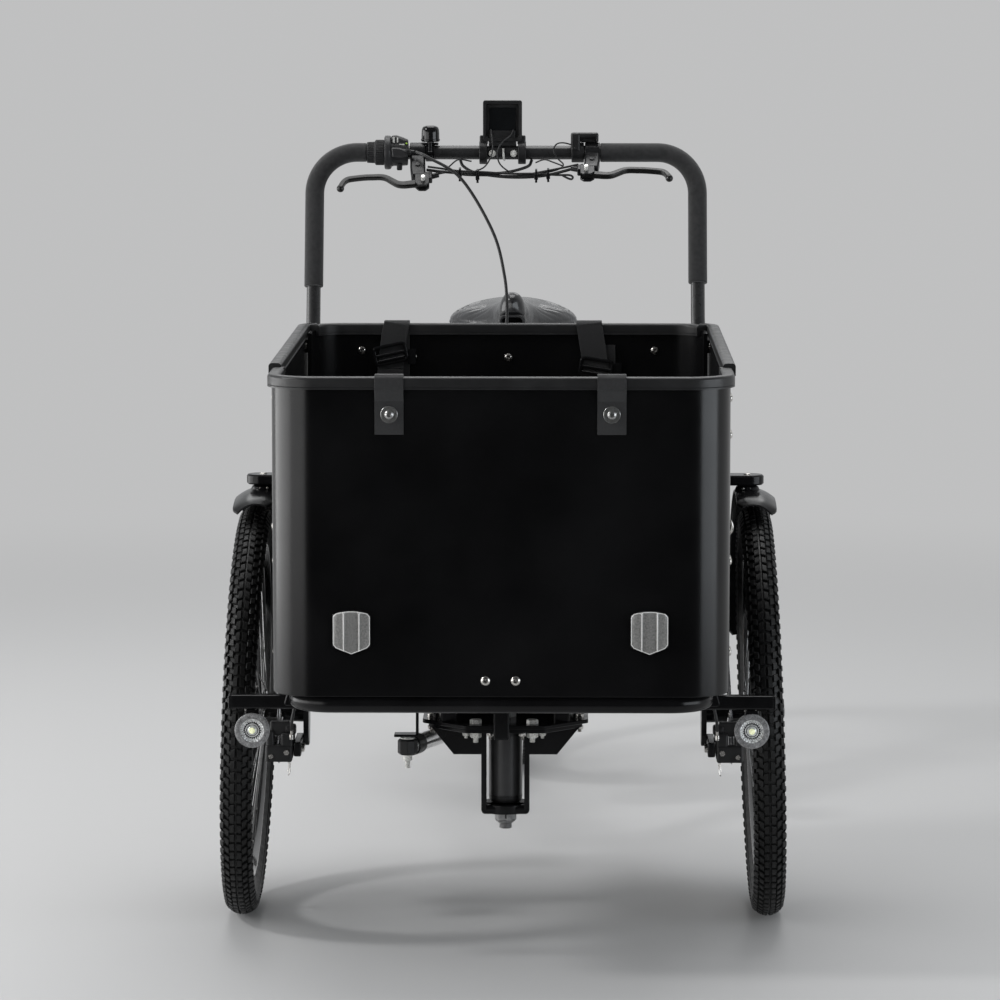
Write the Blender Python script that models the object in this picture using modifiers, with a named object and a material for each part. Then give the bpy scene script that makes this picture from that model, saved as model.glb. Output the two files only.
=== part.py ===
# Electric cargo tricycle: a box and handlebar on a two-wheeled front chassis,
# which turns about an upright kingpin on a rear frame with saddle and drive.
# Metres, +Z up, front towards -Y. The rider faces -Y, so the rider's left is +X.
import math

import bmesh
import bpy
from mathutils import Matrix, Vector

# Clearance between touching pieces
gap = 0.0003

# Front wheels, 24 inch, leaning in at the top
front_wheel_radius = 0.3075
front_tyre_width = 0.052
front_rim_radius = 0.2535
front_track = 0.766
camber = math.radians(2.0)

# Rear wheel, 26 inch
rear_wheel_radius = 0.330
rear_tyre_width = 0.050
rear_rim_radius = 0.2795
wheel_facets = 32
spokes_per_wheel = 28
spoke_radius = 0.0011

# Box
box_length = 0.920
box_width = 0.640
box_front = -0.520
box_bottom = 0.407
front_panel_top = 0.8365
rear_panel_top = 0.8420
panel_wall = 0.006
front_corner_radius = 0.058
rear_corner_radius = 0.050
front_wrap = 0.160
rear_wrap = 0.100
rear_panel_inset = 0.0095
trim_width = 0.018
trim_height = 0.0175
trim_lap = 0.009
floor_thickness = 0.009
strap_width = 0.040
strap_thickness = 0.0022

# Front frame
frame_tube = 0.0254
frame_reach = 0.298
outrigger_y = -0.360
outrigger_half = 0.390
outrigger_size = 0.020
lamp_x = 0.356
lamp_z = 0.335
lamp_radius = 0.025

# Steering head
kingpin_y = 0.060
kingpin_radius = 0.008
head_tube_radius = 0.022
head_bottom = 0.158
head_top = 0.270
yoke_width = 0.073
yoke_strap = 0.008
head_plate = 0.006
damper_x = -0.147
damper_y = 0.012
damper_tail_x = -0.045
damper_tail_y = 0.260
damper_z = 0.249
damper_radius = 0.0135

# Handlebar
bar_radius = 0.0111
foam_radius = 0.0150
bar_height = 1.1225
bar_y = 0.520
post_x = 0.309
post_y = 0.430
post_knee = 0.820
bar_bend = 0.067
foam_low = 0.909
foam_end_right = -0.2270
foam_end_left = 0.1470

# Rear frame and drive
bottom_bracket_y = 0.870
bottom_bracket_z = 0.290
seat_angle = math.radians(70.0)
main_tube_radius = 0.025
seat_tube_radius = 0.0165
seat_post_radius = 0.0135
seat_height_range = 0.150
saddle_top = 0.868
saddle_length = 0.260
saddle_width = 0.230
crank_length = 0.170
chain_line = -0.052
chain_pitch = 0.0127
chain_links = 100
chainring_teeth = 40
sprocket_teeth = 20
motor_radius = 0.060
motor_width = 0.070
stay_radius = 0.009
dropout_gap = 0.131
mudguard_gap = 0.014
mudguard_wall = 0.003
rack_height = 0.702
battery_size = (0.110, 0.340, 0.060)

# Places that follow from the sizes above
box_half = box_width / 2
box_rear = box_front + box_length
seam_y = box_front + front_wrap
frame_z = box_bottom - frame_tube / 2
chainring_radius = chain_pitch / (2 * math.sin(math.pi / chainring_teeth))
sprocket_radius = chain_pitch / (2 * math.sin(math.pi / sprocket_teeth))


def drive_centre_distance():
    """Distance between crank and rear axle at which the chain is just taut."""
    length = chain_pitch * chain_links
    step = chainring_radius - sprocket_radius
    distance = length / 3
    for _ in range(40):
        lean = math.asin(step / distance)
        used = 2 * distance * math.cos(lean)
        used += chainring_radius * (math.pi + 2 * lean)
        used += sprocket_radius * (math.pi - 2 * lean)
        distance += (length - used) / 2
    return distance


drive_distance = drive_centre_distance()
rear_axle_z = rear_wheel_radius
rear_axle_y = bottom_bracket_y + math.sqrt(
    drive_distance ** 2 - (rear_axle_z - bottom_bracket_z) ** 2)
rear_guard_radius = rear_wheel_radius + mudguard_gap
vehicle_front = box_front - 0.0085 - strap_thickness / 2
vehicle_rear = rear_axle_y + rear_guard_radius + mudguard_wall / 2
origin_shift = -(vehicle_front + vehicle_rear) / 2

for old in list(bpy.data.objects):
    bpy.data.objects.remove(old, do_unlink=True)

parts = bpy.data.collections.new("cargo_tricycle")
bpy.context.scene.collection.children.link(parts)
cutters = bpy.data.collections.new("cutters")
bpy.context.scene.collection.children.link(cutters)

stand = bpy.data.objects.new("front_axle_line", None)
stand.location = (0, origin_shift, 0)
parts.objects.link(stand)

finishes = {
    "box_black": ((0.018, 0.018, 0.019), 0.45, 0.0),
    "gloss_black": ((0.010, 0.010, 0.011), 0.12, 0.0),
    "trim_grey": ((0.060, 0.061, 0.063), 0.50, 0.3),
    "rubber": ((0.020, 0.020, 0.020), 0.85, 0.0),
    "foam": ((0.030, 0.030, 0.031), 0.95, 0.0),
    "steel": ((0.62, 0.62, 0.61), 0.25, 1.0),
    "dark_steel": ((0.12, 0.12, 0.12), 0.35, 1.0),
    "aluminium": ((0.55, 0.56, 0.57), 0.35, 1.0),
    "lens": ((0.85, 0.87, 0.88), 0.08, 0.0),
    "webbing": ((0.030, 0.030, 0.032), 0.80, 0.0),
    "plastic": ((0.022, 0.022, 0.023), 0.40, 0.0),
    "vinyl": ((0.035, 0.036, 0.038), 0.25, 0.0),
    "board": ((0.30, 0.22, 0.14), 0.60, 0.0),
    "cable": ((0.015, 0.015, 0.015), 0.40, 0.0),
}


def material(name):
    """Principled material of one of the finishes above."""
    found = bpy.data.materials.get(name)
    if found:
        return found
    colour, roughness, metallic = finishes[name]
    made = bpy.data.materials.new(name)
    made.use_nodes = True
    shader = made.node_tree.nodes["Principled BSDF"]
    shader.inputs["Base Color"].default_value = (*colour, 1)
    shader.inputs["Roughness"].default_value = roughness
    shader.inputs["Metallic"].default_value = metallic
    return made


def new_object(mesh, name="piece"):
    made = bpy.data.objects.new(name, mesh)
    parts.objects.link(made)
    return made


def from_bmesh(bm):
    bmesh.ops.recalc_face_normals(bm, faces=bm.faces)
    mesh = bpy.data.meshes.new("piece")
    bm.to_mesh(mesh)
    bm.free()
    return new_object(mesh)


def settled(obj):
    """The object as a plain closed mesh: modifiers applied, caps welded, faces out."""
    bpy.context.view_layer.update()
    seen = obj.evaluated_get(bpy.context.evaluated_depsgraph_get())
    mesh = bpy.data.meshes.new_from_object(seen)
    mesh.transform(obj.matrix_world)
    bm = bmesh.new()
    bm.from_mesh(mesh)
    bmesh.ops.remove_doubles(bm, verts=bm.verts, dist=0.000002)
    bmesh.ops.recalc_face_normals(bm, faces=bm.faces)
    bm.to_mesh(mesh)
    bm.free()
    bpy.data.objects.remove(obj, do_unlink=True)
    return new_object(mesh)


def moved(obj, matrix):
    """Places the object's mesh."""
    obj.data.transform(matrix)
    if matrix.determinant() < 0:
        obj.data.flip_normals()
    return obj


def shifted(obj, x=0.0, y=0.0, z=0.0):
    return moved(obj, Matrix.Translation((x, y, z)))


def copied(obj, matrix):
    """A second copy of the object, placed by the matrix."""
    return moved(new_object(obj.data.copy()), matrix)


mirror_x = Matrix.Scale(-1, 4, Vector((1, 0, 0)))
on_xz = Matrix(((1, 0, 0, 0), (0, 0, -1, 0), (0, 1, 0, 0), (0, 0, 0, 1)))
on_yz = Matrix(((0, 0, 1, 0), (1, 0, 0, 0), (0, 1, 0, 0), (0, 0, 0, 1)))


def both_sides(obj):
    """The object and its mirror image across the middle plane."""
    return [obj, copied(obj, mirror_x)]


def along(start, direction):
    """Matrix that turns +Z to the direction and moves the origin to start."""
    turn = Vector((0, 0, 1)).rotation_difference(Vector(direction).normalized())
    return Matrix.Translation(start) @ turn.to_matrix().to_4x4()


def block(size, centre, bevel=0.0, segments=1):
    bm = bmesh.new()
    bmesh.ops.create_cube(bm, size=1)
    bmesh.ops.scale(bm, vec=size, verts=bm.verts)
    if bevel:
        bmesh.ops.bevel(bm, geom=bm.edges[:], offset=bevel, segments=segments,
                        affect="EDGES", profile=0.5)
    bmesh.ops.translate(bm, vec=centre, verts=bm.verts)
    return from_bmesh(bm)


def rod(start, end, radius, sides=12, end_radius=None):
    """Cylinder or cone between two points."""
    start = Vector(start)
    span = Vector(end) - start
    bm = bmesh.new()
    bmesh.ops.create_cone(bm, cap_ends=True, segments=sides, radius1=radius,
                          radius2=radius if end_radius is None else end_radius,
                          depth=span.length)
    bmesh.ops.translate(bm, vec=(0, 0, span.length / 2), verts=bm.verts)
    return moved(from_bmesh(bm), along(start, span))


def turned(profile, steps, closed=True):
    """Profile of (radius, height) points turned about Z with a Screw modifier."""
    mesh = bpy.data.meshes.new("profile")
    edges = [(i, i + 1) for i in range(len(profile) - 1)]
    if closed:
        edges.append((len(profile) - 1, 0))
    mesh.from_pydata([(r, 0, z) for r, z in profile], edges, [])
    obj = new_object(mesh)
    screw = obj.modifiers.new("turn", "SCREW")
    screw.steps = steps
    screw.render_steps = steps
    screw.use_merge_vertices = True
    screw.merge_threshold = 0.00001
    return settled(obj)


def pipe(points, radius, resolution=3, cyclic=False):
    """Round tube along the points, as a curve with filled caps made into a mesh."""
    curve = bpy.data.curves.new("pipe", "CURVE")
    curve.dimensions = "3D"
    curve.bevel_depth = radius
    curve.bevel_resolution = resolution
    curve.use_fill_caps = True
    spline = curve.splines.new("POLY")
    spline.points.add(len(points) - 1)
    for point, place in zip(spline.points, points):
        point.co = (*place, 1)
    spline.use_cyclic_u = cyclic
    return settled(new_object(curve))


def plate(outlines, thickness):
    """Flat plate in the XY plane; outlines inside the first one are holes."""
    curve = bpy.data.curves.new("plate", "CURVE")
    curve.dimensions = "2D"
    curve.fill_mode = "BOTH"
    curve.extrude = thickness / 2
    for outline in outlines:
        spline = curve.splines.new("POLY")
        spline.points.add(len(outline) - 1)
        for point, place in zip(spline.points, outline):
            point.co = (place[0], place[1], 0, 1)
        spline.use_cyclic_u = True
    return settled(new_object(curve))


def circle(radius, sides, centre=(0, 0), start=0.0):
    angles = [start + 2 * math.pi * i / sides for i in range(sides)]
    return [(centre[0] + radius * math.cos(a), centre[1] + radius * math.sin(a))
            for a in angles]


def arc(centre, radius, first, last, steps):
    """Points on an arc in a plane, angles in degrees."""
    angles = [math.radians(first + (last - first) * i / steps) for i in range(steps + 1)]
    return [(centre[0] + radius * math.cos(a), centre[1] + radius * math.sin(a))
            for a in angles]


def rounded(points, radii, steps=5):
    """Polyline with its inner corners replaced by arcs of the given radii."""
    points = [Vector(p) for p in points]
    if not isinstance(radii, (list, tuple)):
        radii = [radii] * (len(points) - 2)
    path = [points[0]]
    for before, corner, after, radius in zip(points, points[1:], points[2:], radii):
        inward = (before - corner).normalized()
        outward = (after - corner).normalized()
        half = inward.angle(outward) / 2
        reach = radius / math.tan(half)
        middle = corner + (inward + outward).normalized() * (radius / math.sin(half))
        first = corner + inward * reach - middle
        last = corner + outward * reach - middle
        sweep = first.angle(last)
        for i in range(steps + 1):
            a = sweep * i / steps
            spot = (first * math.sin(sweep - a) + last * math.sin(a)) / math.sin(sweep)
            path.append(middle + spot)
    path.append(points[-1])
    return path


def smooth_route(points, steps):
    """Points read from a smooth curve through the route's own points."""
    points = [Vector(p) for p in points]
    ends = [2 * points[0] - points[1]] + points + [2 * points[-1] - points[-2]]
    route = []
    for a, b, c, d in zip(ends, ends[1:], ends[2:], ends[3:]):
        for i in range(steps):
            t = i / steps
            route.append(0.5 * ((2 * b) + (c - a) * t + (2 * a - 5 * b + 4 * c - d) * t * t
                                + (3 * b - a - 3 * c + d) * t ** 3))
    route.append(points[-1])
    return route


def offset_path(path, distance):
    """Plan path moved sideways to the left of its direction, corners mitred."""
    path = [Vector(p[:2]) for p in path]
    result = []
    for i, here in enumerate(path):
        before = (here - path[i - 1]).normalized() if i else None
        after = (path[i + 1] - here).normalized() if i + 1 < len(path) else None
        before = before or after
        after = after or before
        normal_before = Vector((-before.y, before.x))
        normal_after = Vector((-after.y, after.x))
        middle = (normal_before + normal_after).normalized()
        result.append(here + middle * (distance / middle.dot(normal_after)))
    return result


def upright_wall(path, thickness, low, high):
    """Sheet that stands on a plan path, given its thickness by Solidify."""
    count = len(path)
    mesh = bpy.data.meshes.new("wall")
    verts = [(p[0], p[1], z) for z in (low, high) for p in path]
    faces = [(i, i + 1, count + i + 1, count + i) for i in range(count - 1)]
    mesh.from_pydata(verts, [], faces)
    obj = new_object(mesh)
    solid = obj.modifiers.new("wall", "SOLIDIFY")
    solid.thickness = thickness
    solid.offset = 0
    solid.use_even_offset = True
    return settled(obj)


def strip_along(path, section):
    """Section of (sideways, height) points carried along a plan path."""
    rows = [offset_path(path, side) for side, _ in section]
    count = len(section)
    bm = bmesh.new()
    rings = []
    for i in range(len(path)):
        rings.append([bm.verts.new((rows[k][i].x, rows[k][i].y, section[k][1]))
                      for k in range(count)])
    for one, two in zip(rings, rings[1:]):
        for k in range(count):
            j = (k + 1) % count
            bm.faces.new((one[k], one[j], two[j], two[k]))
    bm.faces.new(rings[0])
    bm.faces.new(rings[-1][::-1])
    return from_bmesh(bm)


def sheet_over(grid, thickness):
    """Shell made from rows of points, given its thickness by Solidify."""
    width = len(grid[0])
    mesh = bpy.data.meshes.new("shell")
    faces = []
    for i in range(len(grid) - 1):
        for j in range(width - 1):
            k = i * width + j
            faces.append((k, k + 1, k + width + 1, k + width))
    mesh.from_pydata([p for row in grid for p in row], [], faces)
    obj = new_object(mesh)
    solid = obj.modifiers.new("wall", "SOLIDIFY")
    solid.thickness = thickness
    solid.offset = 0
    solid.use_even_offset = True
    return settled(obj)


def boolean(obj, others, operation):
    """Boolean of the object with each of the others in turn."""
    for other in others:
        parts.objects.unlink(other)
        cutters.objects.link(other)
        other.hide_render = True
        other.display_type = "WIRE"
        step = obj.modifiers.new("join", "BOOLEAN")
        step.operation = operation
        step.solver = "EXACT"
        step.object = other
    result = settled(obj)
    for other in others:
        bpy.data.objects.remove(other, do_unlink=True)
    return result


def fused(pieces):
    return boolean(pieces[0], pieces[1:], "UNION")


def cut(obj, holes):
    return boolean(obj, holes, "DIFFERENCE")


def grouped(pieces):
    """Separate solids kept together in one object."""
    bm = bmesh.new()
    for piece in pieces:
        bm.from_mesh(piece.data)
        bpy.data.objects.remove(piece, do_unlink=True)
    mesh = bpy.data.meshes.new("group")
    bm.to_mesh(mesh)
    bm.free()
    return new_object(mesh)


def part(name, obj, finish, origin=(0, 0, 0)):
    """Names a finished sub-part and puts its origin on its joint or on the axle line."""
    obj.name = name
    obj.data.name = name
    obj.data.transform(Matrix.Translation(-Vector(origin)))
    obj.location = origin
    obj.parent = stand
    obj.data.materials.clear()
    obj.data.materials.append(material(finish))
    obj.data.shade_smooth()
    obj.data.set_sharp_from_angle(angle=math.radians(32))
    return obj


def u_path(half, back, front, radius, steps=5):
    """Plan path round three sides, travelled with the inside on its left."""
    corners = [(-half, back, 0), (-half, front, 0), (half, front, 0), (half, back, 0)]
    return rounded(corners, radius, steps)


def trim_section(low, inner, outer):
    """Rounded edge trim with a slot that laps over the panel's edge."""
    slot = panel_wall / 2 + gap
    high = low + trim_height
    soft = 0.005
    floor = low + trim_lap + gap
    return [(slot, low), (inner, low), (inner, high - soft), (inner - soft, high),
            (-outer + soft, high), (-outer, high - soft), (-outer, low), (-slot, low),
            (-slot, floor), (slot, floor)]


def reflector():
    """Shield-shaped front reflector, set a little into the panel's face."""
    low, high, wide = 0.467, 0.5285, 0.026
    shield = [(-wide, high - 0.006), (-wide * 0.5, high), (wide * 0.5, high),
              (wide, high - 0.006), (wide, low + 0.010), (0, low), (-wide, low + 0.010)]
    return moved(plate([shield], 0.007),
                 Matrix.Translation((0.207, box_front - 0.0025, 0)) @ on_xz)


# Box panels, floor and trims
front_wall_path = u_path(box_half - panel_wall / 2, seam_y, box_front + panel_wall / 2,
                         front_corner_radius)
rear_half = box_half - rear_panel_inset - panel_wall / 2
rear_wall_path = [(-p.x, -p.y) for p in u_path(
    rear_half, -(box_rear - rear_wrap), -(box_rear - panel_wall / 2), rear_corner_radius)]
side_x = box_half - panel_wall / 2
side_turn_y = box_rear - 0.025
side_wall_path = rounded([(side_x, seam_y + 2 * gap, 0), (side_x, side_turn_y, 0),
                          (side_x - 0.014, side_turn_y + 0.0245, 0)], 0.030, 3)


def make_box():
    front = upright_wall(front_wall_path, panel_wall, box_bottom,
                         front_panel_top + trim_lap)
    part("front_panel", fused([front] + both_sides(reflector())), "box_black")
    rear = upright_wall(rear_wall_path, panel_wall, box_bottom,
                        rear_panel_top + trim_lap)
    part("rear_panel", rear, "box_black")
    left = upright_wall(side_wall_path, panel_wall, box_bottom,
                        rear_panel_top + trim_lap)
    right = copied(left, mirror_x)
    part("left_panel", left, "box_black")
    part("right_panel", right, "box_black")

    inner = panel_wall / 2 + 0.0015
    front_trim = strip_along(front_wall_path,
                             trim_section(front_panel_top, trim_width / 2, trim_width / 2))
    part("front_trim", front_trim, "trim_grey")
    rear_trim = strip_along(rear_wall_path[3:-3],
                            trim_section(rear_panel_top, trim_width / 2, trim_width / 2))
    part("rear_trim", rear_trim, "trim_grey")
    left_trim = strip_along(side_wall_path,
                            trim_section(rear_panel_top, inner, trim_width - inner))
    right_trim = copied(left_trim, mirror_x)
    part("left_trim", left_trim, "trim_grey")
    part("right_trim", right_trim, "trim_grey")

    wide = box_half - panel_wall - gap
    narrow = rear_half - panel_wall / 2 - gap
    front_in = box_front + panel_wall + gap
    rear_in = box_rear - panel_wall - gap
    step_y = box_rear - rear_wrap - 0.003
    front_turn = front_corner_radius + 0.002
    rear_turn = rear_corner_radius + 0.002
    half_outline = arc((wide - front_turn, front_in + front_turn), front_turn, -90, 0, 4)
    half_outline += [(wide, step_y), (narrow, step_y)]
    half_outline += arc((narrow - rear_turn, rear_in - rear_turn), rear_turn, 0, 90, 4)
    outline = half_outline + [(-x, y) for x, y in reversed(half_outline)]
    board = plate([outline], floor_thickness)
    shifted(board, z=box_bottom + gap + floor_thickness / 2)
    part("box_floor", board, "gloss_black")


strap_x = 0.154
strap_bolt_z = 0.802
rear_strap_x = {"right": -0.175, "left": 0.127}
buckle_z = {"right": 0.812, "left": 0.790}


def buckle(x, y, z):
    """Ladder-lock slider: a flat frame with three slots."""
    edge = [(-0.026, -0.016), (0.026, -0.016), (0.026, 0.016), (-0.026, 0.016)]
    slots = [[(-0.021, s - 0.0026), (0.021, s - 0.0026), (0.021, s + 0.0026),
              (-0.021, s + 0.0026)] for s in (-0.009, 0.009)]
    return moved(plate([edge] + slots, 0.005), Matrix.Translation((x, y, z)) @ on_xz)


def make_straps():
    strap_half = strap_width / 2
    t = strap_thickness / 2
    front_face = box_front - gap - t
    top = front_panel_top + trim_height
    front_route = [(front_face, strap_bolt_z - 0.028), (front_face, front_panel_top - 0.016),
                   (box_front - 0.0085, front_panel_top), (box_front - 0.0085, top - 0.0015),
                   (box_front - 0.0035, top + 0.0025), (box_front + 0.0110, top + 0.0025),
                   (box_front + 0.0155, top - 0.0015), (box_front + 0.0155, front_panel_top),
                   (box_front + panel_wall + gap + t, front_panel_top - 0.016),
                   (box_front + panel_wall + gap + t, 0.460)]
    for name, x in (("right", -strap_x), ("left", strap_x)):
        strap = upright_wall(front_route, strap_thickness, x - strap_half, x + strap_half)
        part("front_" + name + "_strap", moved(strap, on_yz), "webbing")
    top = rear_panel_top + trim_height
    rear_face = box_rear + gap + t
    inside = box_rear - panel_wall - 0.0075
    rear_route = [(rear_face, rear_panel_top - 0.067), (rear_face, rear_panel_top - 0.016),
                  (box_rear + 0.0085, rear_panel_top), (box_rear + 0.0085, top - 0.001),
                  (box_rear + 0.0035, top + 0.003), (box_rear - 0.0110, top + 0.003),
                  (box_rear - 0.0155, top - 0.001), (box_rear - 0.0155, rear_panel_top),
                  (inside - 0.003, rear_panel_top - 0.052), (inside, 0.460)]
    for name, x in rear_strap_x.items():
        strap = upright_wall(rear_route, strap_thickness, x - strap_half, x + strap_half)
        slider = buckle(x, inside - 0.0030, buckle_z[name])
        part("rear_" + name + "_strap", fused([moved(strap, on_yz), slider]), "webbing")


def lamp_shell(length):
    return turned([(0, 0.003), (lamp_radius - 0.006, 0.001), (lamp_radius - 0.003, -0.002),
                   (lamp_radius - 0.003, 0.0), (lamp_radius, 0.0), (lamp_radius, -0.010),
                   (lamp_radius - 0.003, -0.016), (0.016, -length * 0.9), (0.006, -length),
                   (0, -length)], 12, False)


def make_front_frame():
    t = frame_tube / 2
    loop_half = frame_reach - t
    front = box_front + 0.008 + t
    rear = box_rear - 0.015 - t
    corner = 0.050
    corners = [(-loop_half, front), (loop_half, front), (loop_half, rear), (-loop_half, rear)]
    loop = []
    for i, (x, y) in enumerate(corners):
        cx = x - math.copysign(corner, x)
        cy = y + (corner if i < 2 else -corner)
        loop += [(a, b, frame_z) for a, b in arc((cx, cy), corner, 180 + 90 * i,
                                                 270 + 90 * i, 3)]
    ring = pipe(loop, t, 2, True)
    pieces = [ring]
    for y in (0.020, 0.125):
        pieces.append(rod((-loop_half, y, frame_z), (loop_half, y, frame_z), t * 0.97, 10))
    plate_z = 0.285
    post = 0.024
    for x in (-0.085, 0.085):
        for y in (0.020, 0.125):
            height = frame_z - plate_z + 0.002
            pieces.append(block((post, post, height), (x, y, plate_z + height / 2)))
    outline = [(-0.125, 0.034), (-0.060, -0.030), (0.060, -0.030), (0.125, 0.034),
               (0.125, 0.150), (-0.125, 0.150)]
    top_plate = shifted(plate([outline], head_plate), z=plate_z)
    pieces.append(top_plate)
    pieces.append(block((post, post, 0.138), (0, -0.038, 0.325)))
    pieces.append(rod((0, -0.034, frame_z - 0.004), (0, 0.020, frame_z - 0.004), 0.008, 8))
    bracket_x = damper_x + 0.0145
    pieces.append(block((0.004, 0.026, 0.130), (bracket_x, 0.018, 0.3298)))
    pieces.append(block((0.036, 0.026, 0.004), (bracket_x - 0.0166, 0.014, 0.2672)))
    pieces.append(block((2 * outrigger_half, outrigger_size, outrigger_size),
                        (0, outrigger_y, 0.376), 0.004))
    for side in (-1, 1):
        pieces.append(block((0.050, 0.062, 0.033),
                            (side * 0.284, rear + 0.0305, frame_z - 0.0045)))
        pieces.append(rod((side * post_x, post_y, frame_z - 0.030),
                          (side * post_x, post_y, frame_z + 0.060), bar_radius + 0.0035, 12))
    for piece in front_axle():
        pieces += both_sides(piece)
    frame = fused(pieces)
    wells = [rod((0, kingpin_y, 0.27), (0, kingpin_y, 0.30), kingpin_radius + 0.0007, 12)]
    for side in (-1, 1):
        wells.append(rod((side * post_x, post_y, frame_z - 0.024),
                         (side * post_x, post_y, frame_z + 0.070), bar_radius + 0.0007, 12))
    frame = cut(frame, wells)
    part("front_frame", frame, "gloss_black")

    turn = Matrix.Translation((lamp_x, outrigger_y - 0.010, lamp_z)) @ Matrix.Rotation(
        math.radians(90), 4, "X")
    for name, side, matrix in (("left", 1, turn), ("right", -1, mirror_x @ turn)):
        neck = block((0.022, 0.012, 0.012),
                     (side * lamp_x, outrigger_y, lamp_z + lamp_radius - 0.0005))
        part(name + "_headlamp", fused([moved(lamp_shell(0.034), matrix), neck]), "lens")


# Wheels turn about their own Z axis, which leans out and up by the camber
def tyre_profile(radius, width, bead):
    half = width / 2
    middle = radius - half
    side = [(bead + 0.0040, 0.0125), (middle + half * 0.10, half), (radius, half * 0.50)]
    lining = [(radius - 0.008, half * 0.40), (middle, half - 0.005)]
    return (side + [(r, -z) for r, z in reversed(side)]
            + [(r, -z) for r, z in reversed(lining)] + lining)


def rim_profile(bead):
    return [(bead + 0.0035, -0.015), (bead + 0.0035, 0.015), (bead - 0.004, 0.015),
            (bead - 0.018, 0.008), (bead - 0.018, -0.008), (bead - 0.004, -0.015)]


def wheel_spokes(flange_radius, flange_offset, bead):
    """Spokes crossed three times, inner and outer ones a spoke's width apart."""
    spokes = []
    reach = bead - 0.014
    for i in range(spokes_per_wheel):
        side = 1 if i % 2 else -1
        lead = 1 if (i // 2) % 2 else -1
        rim_angle = 2 * math.pi * i / spokes_per_wheel
        hub_angle = rim_angle + lead * math.radians(62)
        low = (flange_radius - 0.0010) * Vector((math.cos(hub_angle), math.sin(hub_angle), 0))
        high = reach * Vector((math.cos(rim_angle), math.sin(rim_angle), 0))
        low.z = side * flange_offset + lead * 0.0013
        high.z = side * 0.0036 + lead * 0.0013
        spokes.append(rod(low, high, spoke_radius, 3))
    return grouped(spokes)


stub_radius = 0.010
hub_flange = 0.032
hub_flange_offset = 0.022
disc_radius = 0.080
disc_wall = 0.002
disc_offset = -0.0460


def lowest_reach(profile, lean):
    """How far below its axle a leaning turned piece reaches."""
    return max(r * math.cos(lean) + abs(z) * math.sin(lean) for r, z in profile)


front_tyre = tyre_profile(front_wheel_radius, front_tyre_width, front_rim_radius)
rear_tyre = tyre_profile(rear_wheel_radius, rear_tyre_width, rear_rim_radius)
front_axle_z = lowest_reach(front_tyre, camber)
front_axle_x = front_track / 2
outward = Vector((math.cos(camber), 0, math.sin(camber)))


def brake_disc():
    windows = []
    for i in range(6):
        a = math.pi / 3 * i
        windows.append([(r * math.cos(a + s), r * math.sin(a + s))
                        for r, s in ((0.030, 0.16), (0.058, 0.30), (0.060, 0.62),
                                     (0.030, 0.80))])
    disc = plate([circle(disc_radius, 24), circle(0.0125, 10)] + windows, disc_wall)
    return shifted(disc, z=disc_offset)


def make_front_wheels():
    bore = stub_radius + 0.0006
    hub_turn = [(0, 0.036), (0.014, 0.036), (0.018, 0.030), (0.018, 0.0245),
                (hub_flange, 0.0235), (hub_flange, 0.0205), (0.017, 0.0190),
                (0.017, -0.0190), (hub_flange, -0.0205), (hub_flange, -0.0235),
                (0.020, -0.0245), (0.021, disc_offset + 0.0013),
                (bore, disc_offset + 0.0013), (bore, 0.0290), (0, 0.0290)]
    tyre = turned(front_tyre, wheel_facets)
    wheel = fused([turned(hub_turn, 14, False),
                   wheel_spokes(hub_flange, hub_flange_offset, front_rim_radius),
                   turned(rim_profile(front_rim_radius), wheel_facets)])
    disc = brake_disc()
    for name, side in (("left", 1), ("right", -1)):
        lean = side * (math.pi / 2 - camber)
        for piece, label, finish in ((tyre, "tyre", "rubber"), (wheel, "wheel", "gloss_black"),
                                     (disc, "brake_disc", "dark_steel")):
            made = copied(piece, Matrix.Identity(4))
            part(name + "_" + label, made, finish)
            made.location = (side * front_axle_x, 0, front_axle_z)
            made.rotation_euler = (0, lean, 0)
    for piece in (tyre, wheel, disc):
        bpy.data.objects.remove(piece, do_unlink=True)


caliper_y = -0.078
caliper_z = 0.263


def front_axle():
    """Hanger plate, stub axle and caliper arm of one side, welded to the front frame."""
    centre = Vector((front_axle_x, 0, front_axle_z))
    inner_x = frame_reach - 0.0040
    flange = 0.008
    start = centre - outward * ((front_axle_x - inner_x - flange / 2) / outward.x)
    flange_outline = [(-0.030, frame_z + 0.010), (0.030, frame_z + 0.010),
                      (0.026, start.z - 0.020), (0.012, start.z - 0.050),
                      (-0.012, start.z - 0.050), (-0.026, start.z - 0.035)]
    hanger = plate([flange_outline], flange)
    moved(hanger, Matrix.Translation((inner_x + flange / 2, 0, 0)) @ on_yz)
    stub = rod(start, centre + outward * 0.028, stub_radius, 12)
    collar = rod(start, centre + outward * (disc_offset - 0.004), stub_radius + 0.006, 12)
    arm = block((0.0110, 0.090, 0.022), (frame_reach + 0.0090, -0.055, caliper_z))
    return [hanger, collar, stub, arm]


def make_calipers():
    arm_face = frame_reach + 0.0145 + gap
    body = block((0.360 - arm_face - 0.006, 0.050, 0.050),
                 ((0.354 + arm_face) / 2, caliper_y, caliper_z), 0.004)
    disc_x = front_axle_x + disc_offset
    slot = block((0.0070, 0.060, 0.060), (disc_x, caliper_y + 0.012, caliper_z + 0.012))
    inlet = rod((0.334, caliper_y - 0.020, caliper_z + 0.010),
                (0.334, caliper_y - 0.052, caliper_z + 0.020), 0.004, 8)
    caliper = cut(body, [slot])
    left = fused([caliper, inlet])
    right = copied(left, mirror_x)
    part("left_caliper", left, "plastic")
    part("right_caliper", right, "plastic")


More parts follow.
